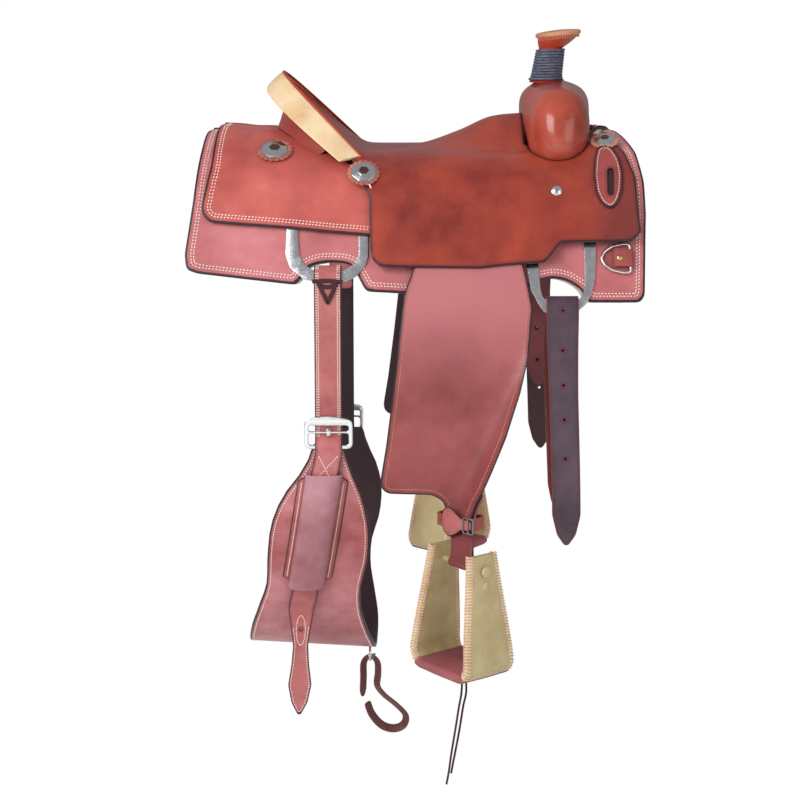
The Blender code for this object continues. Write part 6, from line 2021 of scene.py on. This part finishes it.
    def _bolt(self, shop: Shop, side: Side, a: Vector, mid: Vector) -> None:
        """The bolt with round heads, and the lower rivet of each leg."""
        reach = self.half_top + self.pad_t / 2 + 10.5 * MM
        half = [(r, h - reach) for r, h in mm_line(0, 0, 5.7, 0.3, 8.74, 1.6, 9.5, 3.4, 9.215, 4.5, 5, 4.6)]
        centre = mid + Vector((0, 0, self.top_z - self.bolt_drop))
        bolt = lathe("stirrup_bolt_round_" + side.tag, half + [(r, -h) for r, h in reversed(half)], centre, a, 40)
        shop.fit(bolt, PAD_HIDE, "stirrup_bolt_" + side.tag, "fender_assembly_" + side.tag, "steel")
        low, high = centre.z - 0.022, self.top_z + 0.012
        head = mm_line(0, 0, 6.5, 0, 6.8, 0.8, 5.6, 2, 3, 2.8, 0, 3)
        for name, sign in (("rear", -1.0), ("front", 1.0)):
            t = (high - low) / (high - self.bottom_z - 0.030)
            spot = mid + a * (sign * (lerp(self.half_top, self.half_low, t) + self.pad_t * 0.55)) + Vector((0, 0, low))
            rivet = lathe(f"stirrup_rivet_{name}_{side.tag}", head, spot, a * sign, 28)
            shop.fit(rivet, PAD_HIDE, "", "stirrup_" + side.tag, "steel")


@dataclass
class Path:
    """A strap's line in the (y, z) plane, with the strap's rear x at each point."""

    points: list[Triple]

    def __post_init__(self) -> None:
        """Smooth the line and measure it."""
        self.fine = np.array([tuple(p) for p in spline([Vector(p) for p in self.points], 6)])
        self.run = run_along(self.fine[:, 1:])
        self.length = float(self.run[-1])

    def at(self, s: float) -> tuple[float, Vector]:
        """Rear x and point at a way along."""
        x, y, z = (float(np.interp(s, self.run, self.fine[:, k])) for k in range(3))
        return x, Vector((0.0, y, z))

    def along(self, z: float, first: bool = False) -> float:
        """Way along where the line reaches a height, on its last or first pass."""
        near = np.abs(self.fine[:, 2] - z)
        rows = np.where(near < 0.004)[0]
        if len(rows) == 0:
            return float(self.run[int(near.argmin())])
        return float(self.run[rows[0] if first else rows[-1]])

    def place(self, side: Side, lower: float) -> Place:
        """Forming function: u across from the rear edge, s along, h outward over a lowered middle."""
        turn = -1 if side is Side.RIGHT else 1

        def formed(u: float, s: float, h: float) -> Vector:
            x, p = self.at(s)
            run = (self.at(min(self.length, s + MM))[1] - self.at(max(0.0, s - MM))[1]).normalized()
            return Vector((x + u, p.y, p.z)) + Vector((0.0, -run.z, run.y)) * (turn * (h - lower))
        return formed


def fold(side: int, back_y: float, front_y: float, top: float) -> list[Flat]:
    """(y, z) of a strap that folds over a dee."""
    rows = [(back_y, -8.0), (back_y + 1.5 * MM, 0.5), (back_y + 6.0 * MM, 4.0), (front_y - 6.5 * MM, 1.0),
            (front_y - 1.5 * MM, -5.5), (front_y, -14.0)]
    return [(side * y, top + rise * MM) for y, rise in rows]


def spot_ring(x: float, s: float, radius: float) -> list[Flat]:
    """A round hole's outline."""
    return [(x + a, s + b) for a, b in circle(radius, 14)]


@dataclass(frozen=True)
class FrontBillets:
    """The off billet and the near latigo, each folded over its front dee."""

    rear: float = 0.1785
    width: float = 50.5 * MM
    back_y: float = 0.2605
    front_y: float = 0.2850
    thick: float = 4.0 * MM
    hole_r: float = 2.5 * MM
    hole_z: tuple[float, ...] = (-0.196, -0.258, -0.312, -0.368, -0.430)

    def build(self, shop: Shop) -> None:
        """Make both."""
        self._billet(shop, Side.RIGHT, "off_billet", -0.530, -0.575, LATIGO)
        self._billet(shop, Side.LEFT, "near_latigo", -0.420, -0.545, NEAR_LATIGO)

    def _billet(self, shop: Shop, side: Side, node: str, low_back: float, low_front: float, finish: Leather) -> None:
        """One strap: back layer up, over the dee and down in front."""
        top, width = FORM.drape(1, 0.2, 0.2045, 0.0).z + 1.6 * MM, self.width
        rows = []
        for k in range(8):
            z = lerp(low_back, top - 0.010, k / 7)
            rows.append((self._rear(top, z) - 4 * MM * smooth((top - z) / 0.1), side.value * self.back_y, z))
        rows += [(self.rear, y, z) for y, z in fold(side.value, self.back_y, self.front_y, top)[1:5]]
        for k in range(9):
            z = lerp(top - 0.014, low_front, k / 8)
            rows.append((self._rear(top, z), side.value * self.front_y, z))
        path = Path(rows)
        length, turn = path.length, path.along(top, True)
        right = [(width * f, s) for f, s in ((0.64, 0.0), (0.86, 0.022), (0.96, 0.05), (0.97, 0.10),
                                             (1.0, min(0.30, turn - 0.06)))]
        tail = [(width, turn - 0.03), (width, turn + 0.05), (width - 2.2 * MM, turn + 0.18),
                (width - 2.6 * MM, length - 0.05), (width * 0.80, length - 0.018), (width * 0.56, length)]
        line = [(width * 0.36, 0.0)] + right + tail + [(width - u, s) for u, s in reversed(right + tail)][:-1]
        holes = [spot_ring(width / 2, path.along(z), self.hole_r) for z in self.hole_z]
        holes += [spot_ring(width / 2, path.along(z, True), self.hole_r) for z in self.hole_z[2:4]]
        shop.cut(node + "_strap", softened(line, 0.006, 2.0 * MM), self.thick, path.place(side, self.thick / 2),
                 finish, node, "billet_front_" + side.tag, holes=holes, edge=1.3 * MM, cell=0.006)

    def _rear(self, top: float, z: float) -> float:
        """Rear edge of the strap, which drifts forward as it hangs."""
        return self.rear + 12 * MM * smooth((top - z) / 0.4)


@dataclass(frozen=True)
class FlankSet:
    """Flank billets, buckles, sleeve, cinch and connector."""

    width: float = 43.0 * MM
    strap: float = 4.0 * MM
    cinch_t: float = 6.0 * MM
    top_z: float = -0.412
    low_z: float = -0.82
    buckle_z: float = -0.394
    half_y: float = 0.262
    far_drop: float = 0.088
    far_ahead: float = 6.0 * MM
    back_y: float = 0.2365
    front_y: float = 0.2625
    rear: float = -0.1850
    slide: float = -0.100
    unit: float = 0.56
    edges: tuple[Triple, ...] = (
        (0.00, -0.1880, -0.1400), (0.06, -0.2020, -0.1300), (0.14, -0.2380, -0.1100), (0.22, -0.2580, -0.1000),
        (0.32, -0.2660, -0.1020), (0.42, -0.2700, -0.1140), (0.52, -0.2850, -0.1140), (0.64, -0.3000, -0.1040),
        (0.78, -0.3080, -0.0940), (1.00, -0.3100, -0.0900))
    rail_rows: tuple[float, ...] = (3.4 * MM, 6.4 * MM)
    sleeve_outer: Line = (
        (-0.10, 0.0), (-0.115, 0.22), (-0.10, 0.45), (-0.04, 0.68), (0.05, 0.85), (0.27, 0.96), (0.5, 1.0),
        (0.73, 0.96), (0.95, 0.85), (1.04, 0.68), (1.10, 0.45), (1.115, 0.22), (1.10, 0.0))
    sleeve_inner: Line = (
        (-0.055, 0.0), (-0.06, 0.25), (-0.055, 0.48), (0.0, 0.70), (0.07, 0.87), (0.28, 0.97), (0.5, 1.0),
        (0.72, 0.97), (0.93, 0.87), (1.0, 0.70), (1.055, 0.48), (1.06, 0.25), (1.055, 0.0))
    connector: Line = mm_line(
        -108.5, -945, -100, -968, -83, -988, -62, -995, -44, -988, -40, -970, -56, -951, -78, -932, -90.5, -914,
        -89, -890, -90.5, -870, -102, -859, -114, -870, -115, -900, -116.5, -935)
    lean: float = radians(42.0)

    def build(self, shop: Shop) -> None:
        """Make the whole set."""
        self._cinch(shop)
        for side in Side:
            self._billet(shop, side)
            self._buckle(shop, side)
        self._sleeve(shop)
        self._snap(shop)
        self._connector(shop)

    def cinch_point(self, near: bool, t: float, off: float, x: float) -> Vector:
        """Point off the cinch's inner face, from a buckle (t = 0) to the lowest point (t = 1)."""
        top = self.top_z if near else self.top_z - self.far_drop
        c, s = cos(pi / 2 * t), sin(pi / 2 * t)
        ny, nz = c * (top - self.low_z), -s * self.half_y
        length = math.hypot(ny, nz)
        y = self.half_y * c + off * ny / length
        z = top - (top - self.low_z) * s + off * nz / length - 0.06 * s * (x + 0.2)
        return Vector((x, -y if near else y, z))

    def _cinch(self, shop: Shop) -> None:
        """The wide cinch with a row of stitches along each edge."""
        rear, front = [], []
        for k in range(49):
            v = -1.0 + 2.0 * k / 48
            r, f = glide(self.edges, 1.0 - abs(v))
            shift = max(0.0, 0.020 * v)
            rear.append((r + shift, v * self.unit))
            front.append((f + shift, v * self.unit))

        def place(x: float, s: float, h: float) -> Vector:
            return self.cinch_point(s <= 0.0, 1.0 - abs(s / self.unit), h, x)

        line = even(rounded(rear + front[::-1], 0.008), 0.003)
        shop.cut("flank_cinch_hide", line, self.cinch_t, place, CINCH_LEATHER, "flank_cinch", "flank",
                 edge=1.8 * MM, cell=0.010)
        shop.sew("flank_cinch_seam", Thread(4.6, 3.4, 2.2), inside_line(line, 6.5 * MM), place, self.cinch_t,
                 lambda x, s: abs(s) < self.unit * 0.985, WHITE_THREAD, "flank", "fender_leather")

    def _path(self, side: Side) -> tuple[Path, float, float]:
        """A flank billet's line, with its buckle's height and the way to the fold."""
        near, sign = side is Side.RIGHT, side.value
        rear = self.rear + (0.0 if near else self.far_ahead)
        buckle_z = self.buckle_z - (0.0 if near else self.far_drop)
        top = FORM.drape(1, 0.0, 0.1555, 0.0).z + 3.0 * MM
        rows = [(rear, sign * self.back_y, -0.235)]
        rows += [(rear, y, z) for y, z in fold(sign, self.back_y, self.front_y, top)]
        rows.append((rear, sign * self.front_y, -0.30))
        for dy, dz in mm_line(1, 45, 2.2, 10, 2.6, -6, 10.5, -14.5, 13.5, -21.5, 12.5, -34):
            rows.append((rear, sign * (self.front_y + dy), buckle_z + dz))
        for k in range(10):
            t = 0.095 + 0.045 * k
            p = self.cinch_point(near, t, self.cinch_t + 9.5 * MM, rear + self.width / 2 + self.slide * t)
            if p.z <= buckle_z - 0.05:
                rows.append((rear + self.slide * t, p.y, p.z))
        x, y, z = rows[-1]
        if near:
            rows += [(x - 0.03 * d, y, z - d) for d in (0.03, 0.07, 0.11, 0.145, 0.17, 0.185)]
        return Path(rows), buckle_z, top

    def _billet(self, shop: Shop, side: Side) -> None:
        """A long strap over the rear dee, through the buckle and the sleeve."""
        near = side is Side.RIGHT
        path, buckle_z, top = self._path(side)
        place = path.place(side, self.strap / 2)
        length, width = path.length, self.width
        line = box(0.0, 0.0, width, length)
        if near:
            tail = [(width - u * MM, length - s * MM) for u, s in (
                (0, 185), (4, 160), (9, 122), (7, 90), (2, 52), (8, 22), (18.92, 0))]
            line = line[:2] + tail + [(width - u, s) for u, s in reversed(tail)]
        buckle_s, turn = path.along(buckle_z - 0.006), path.along(top, True)
        holes = [spot_ring(width / 2, s, 2.4 * MM) for s in [buckle_s + 0.092] + [length - 0.150] * near]
        outline = softened(line, 0.006, 2.0 * MM)
        shop.cut("flank_billet_hide_" + side.tag, outline, self.strap, place, STRAP_LEATHER,
                 "flank_billet_" + side.tag, "flank", holes=holes, edge=1.2 * MM, cell=0.006)
        seams = [("seams_" + side.tag, [run for inset in self.rail_rows for run in inside_line(outline, inset)],
                  lambda u, s: turn + 0.008 < s < buckle_s - 0.004)]
        if near:
            inner, high, low = 6 * MM, buckle_s + 0.030, buckle_s + 0.074
            oval = [(width / 2 + 7.5 * MM * cos(a), length - 0.148 + 0.026 * sin(a))
                    for a in np.linspace(0, 2 * pi, 60)]
            seams += [("tail_seam", inside_line(outline, 3.6 * MM), lambda u, s: s > length - 0.155),
                      ("cross", [[(inner, high), (width - inner, low)], [(width - inner, high), (inner, low)]], None),
                      ("oval", [oval], None)]
        for name, lines, where in seams:
            shop.sew("flank_billet_" + name, Thread(4.2, 3.1, 2.0), lines, place, self.strap, where, body="flank")
        self._thong(shop, side, place, turn)

    def _thong(self, shop: Shop, side: Side, place: Place, turn: float) -> None:
        """Dark thong laced through the billet's two layers under the dee."""
        bars = (mm_line(-2.5, 55, 21.5, 54, 45.5, 56), mm_line(6.02, 60, 21.5, 64, 36.98, 59),
                mm_line(6.88, 57, 19.78, 85, 23.22, 85, 36.12, 57))
        for k, bar in enumerate(bars):
            top = self.strap + 1.1 * MM + 0.9 * MM * (k == 2)
            path = [place(p.x, p.y, top) for p in spline([Vector((u, turn + s, 0.0)) for u, s in bar], 8)]
            rings = carried(path, bar_section(6.4, 2.6, 1.1), Vector((0, side.value, 0)))
            shop.skin(f"flank_thong_{k}_{side.tag}", rings, THONG_LEATHER, "", "flank")

    def _buckle(self, shop: Shop, side: Side) -> None:
        """Bevelled frame with a centre bar, and its tongue."""
        near, sign = side is Side.RIGHT, side.value
        x = self.rear + (0.0 if near else self.far_ahead) + self.width / 2
        y = sign * (self.front_y + 7.0 * MM)
        z = self.buckle_z - (0.0 if near else self.far_drop)
        half_w, half_h, rail, thick, bar = 38.5 * MM, 26.0 * MM, 6.5 * MM, 3.2 * MM, 3.6 * MM
        outline = [(x + half_w * u, z + half_h * v) for u, v in (
            (-1, 0.8), (-1, -1), (1, -1), (1, 0.8), (0.4, 1.0), (0, 1.06), (-0.4, 1.0))]
        bar_low, left, right = z - 0.5 * MM, x - half_w + rail, x + half_w - rail
        high, low = z + half_h * 0.72 - rail, z - half_h + rail
        holes = [softened([(left, high), (left, bar_low + bar), (right, bar_low + bar), (right, high)], 3 * MM, MM),
                 softened([(left, bar_low), (left, low), (right, low), (right, bar_low)], 4 * MM, MM)]

        def place(px: float, pz: float, h: float) -> Vector:
            swell = 0.54 * MM * (1.0 - ((px - x) / half_w) ** 2) if h > thick * 0.5 else 0.0
            return Vector((px, y + sign * (h + swell), pz))

        shop.cut("flank_buckle_frame_" + side.tag, softened(outline, 0.010, 1.5 * MM), thick, place, STEEL,
                 "flank_buckle_" + side.tag, "flank", holes=holes, edge=1.3 * MM, edge_steps=4)
        mid = Vector((x, y + sign * thick / 2, bar_low + bar / 2))
        ring = [mid + Vector((0, sign * 2.9 * MM * cos(a), 6.0 * MM * sin(a)))
                for a in np.linspace(0, 2 * pi, 37)[:-1]]
        rings = carried(ring, bar_section(1.6, 6.0, 0.6), Vector((1, 0, 0)), True)
        shop.skin("flank_tongue_" + side.tag, rings, STEEL, "buckle_tongue_" + side.tag, "tongue_" + side.tag,
                  looped=True)

    def _sleeve(self, shop: Shop) -> None:
        """Leather sleeve on the near half, sewn down through a flange on each side."""
        bm = bmesh.new()
        rows = []
        for k in range(41):
            t = lerp(0.074, 0.405, k / 40)
            flare = 1.10 + 0.03 * (smooth((0.10 - t) / 0.03) + smooth((t - 0.38) / 0.03))
            loops = []
            for shape, low, high in ((self.sleeve_outer, 0.9, 19.5), (self.sleeve_inner, 2.8, 17.5)):
                loop = []
                for f, g in shape:
                    p = self.cinch_point(True, t, self.cinch_t + lerp(low, high, g) * MM, self.rear + self.width / 2)
                    p.x = self.rear + self.slide * t + self.width * (0.5 + (f - 0.5) * flare)
                    loop.append(bm.verts.new(p))
                loops.append(loop)
            rows.append(loops)
        count = len(self.sleeve_outer)
        turns = [(i, (i + 1) % count) for i in range(count)]
        for a, b in zip(rows, rows[1:]):
            for i, j in turns:
                bm.faces.new([a[0][i], a[0][j], b[0][j], b[0][i]])
                bm.faces.new([a[1][j], a[1][i], b[1][i], b[1][j]])
        for row in (rows[0], rows[-1]):
            for i, j in turns:
                bm.faces.new([row[0][i], row[0][j], row[1][j], row[1][i]])
        shop.fit(finished_mesh(bm, "billet_sleeve_hide", 50.0), SLEEVE_LEATHER, "billet_sleeve", "flank")

        def place(u: float, t: float, h: float) -> Vector:
            return self.cinch_point(True, t, self.cinch_t + 0.3 * MM + h, self.rear + self.slide * t + u)

        for name, line in (("rear", ((-18.92, 95), (-5.16, 80), (-5.16, 398), (-18.92, 385))),
                           ("front", ((48.16, 80), (61.92, 95), (61.92, 385), (48.16, 398)))):
            line = [(u * MM, t * MM) for u, t in line]
            mid = (line[0][0] + line[1][0]) / 2
            shop.cut("sleeve_flange_" + name, softened(line, 0.003, 1.5 * MM), 2.4 * MM, place, STRAP_LEATHER, "",
                     "flank", "fender_leather", edge=0.9 * MM, cell=0.003)
            shop.sew("sleeve_flange_seam_" + name, Thread(4.2 / 0.68, 3.1, 2.1), [[(mid, 0.10), (mid, 0.38)]], place,
                     2.4 * MM, None, WHITE_THREAD, "flank", "fender_leather")

    def _snap(self, shop: Shop) -> None:
        """Bent wire that hangs from the cinch's front edge, and its swivel."""
        top = Vector((-0.1030, 0.0, self.low_z - 0.018))
        bends = mm_line(0, 0, -8, -4, -13.5, -10, -13.5, -18, -10, -24.7, 0, -25.4, 10, -25.4)
        path = spline([top + Vector((0.0, dy, dz)) for dy, dz in bends], 6)
        rings = carried(path, lambda t: circle(2.2 * MM, 14), Vector((1, 0, 0)))
        shop.skin("connector_hook", rings, STEEL, "connector_snap", "flank")
        collar = mm_line(0, 0, 3.2, 0, 3.6, 0.8, 3.6, 3.6, 3, 4.4, 0, 4.4)
        spot = top + Vector((0.0, -13.5 * MM, -16.5 * MM))
        shop.fit(lathe("connector_swivel", collar, spot, Vector((0, 0, 1)), 28), STEEL, "", "flank")

    def _connector(self, shop: Shop) -> None:
        """Thin strap looped on itself, which hangs from the hook."""
        line = np.array([tuple(p) for p in spline([Vector((x, 0.0, z)) for x, z in self.connector], 8)])
        run = run_along(line)
        length, half, y_axis = float(run[-1]), 8.0 * MM, Vector((0.0, 1.0, 0.0))

        def at(s: float) -> Vector:
            return Vector([float(np.interp(s, run, line[:, k])) for k in range(3)])

        def place(y: float, s: float, h: float) -> Vector:
            way = (at(s + MM) - at(s - MM)).normalized()
            n = Vector((-way.z, 0.0, way.x))
            return (at(s) + (y_axis * cos(self.lean) + n * sin(self.lean)) * y
                    + (n * cos(self.lean) - y_axis * sin(self.lean)) * (h - 1.4 * MM))

        outline = softened([(-half, 0.0), (half, 0.0), (half, length - 0.012), (3 * MM, length), (-3 * MM, length),
                            (-half, length - 0.012)], 0.004, 1.5 * MM)
        shop.cut("connector_hide", outline, 2.8 * MM, place, CONNECTOR_LEATHER, "connector_strap", "connector",
                 edge=1.0 * MM, cell=0.005)
        low = max(s for s, p in zip(run, line) if p[2] > -0.905 and p[0] > -0.1)
        keeper = [place(y, low, h) for y, h in even(rounded(box(-half - 1.6 * MM, -1.4 * MM, half + 1.6 * MM,
                                                                4.2 * MM), 1.2 * MM), 1.0 * MM)]
        way = (place(0.0, low + 0.002, 0.0) - place(0.0, low - 0.002, 0.0)).normalized()
        shop.skin("connector_loop_keeper", carried(keeper, bar_section(1.6, 4.0, 0.6), way, True), DARK_STEEL, "",
                  "connector", looped=True)


@dataclass(frozen=True)
class Laces:
    """A thong tied at the right stirrup's foot, with its two free tails."""

    width: float = 3.4 * MM
    routes: tuple[tuple[str, tuple[Triple, ...]], ...] = (
        ("stirrup_lace_a", (
            (0.0480, -0.3700, -0.7569), (0.0470, -0.3715, -0.7900), (0.0430, -0.3720, -0.8150),
            (0.0380, -0.3715, -0.8500), (0.0320, -0.3710, -0.8900), (0.0275, -0.3705, -0.9250),
            (0.0240, -0.3705, -0.9450))),
        ("stirrup_lace_b", (
            (0.0530, -0.3700, -0.7568), (0.0545, -0.3690, -0.7900), (0.0500, -0.3670, -0.8150),
            (0.0450, -0.3665, -0.8500), (0.0400, -0.3665, -0.8800), (0.0350, -0.3665, -0.9080),
            (0.0315, -0.3665, -0.9280))))

    def build(self, shop: Shop) -> None:
        """Make both tails as cords."""
        for node, route in self.routes:
            points = spline([Vector(p) for p in route], 8)
            rings = carried(points, lambda t: circle(self.width / 2, 12), Vector((0, 1, 0)))
            lace = shop.skin(node + "_thong", rings, THONG_LEATHER, node, "stirrup_right")
            tuple(route[0])


def main() -> None:
    """Build the looks in order."""
    logging.basicConfig(level=logging.INFO, format="%(message)s")
    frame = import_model()
    Studio().build()
    shop = Shop()
    for part in (Laces(), Skirts(), SeatLeather(), ForkCover(), Cantle(), Horn(), Rigging(), Conchos(), Fenders(),
                 Stirrups(), FrontBillets(), FlankSet()):
        part.build(shop)
    for name in ("tree_bar_right", "tree_bar_left", "tree_fork", "tree_cantle"):
        shop.paint(frame["nodes"][name], WOOD)


if __name__ == "__main__":
    main()
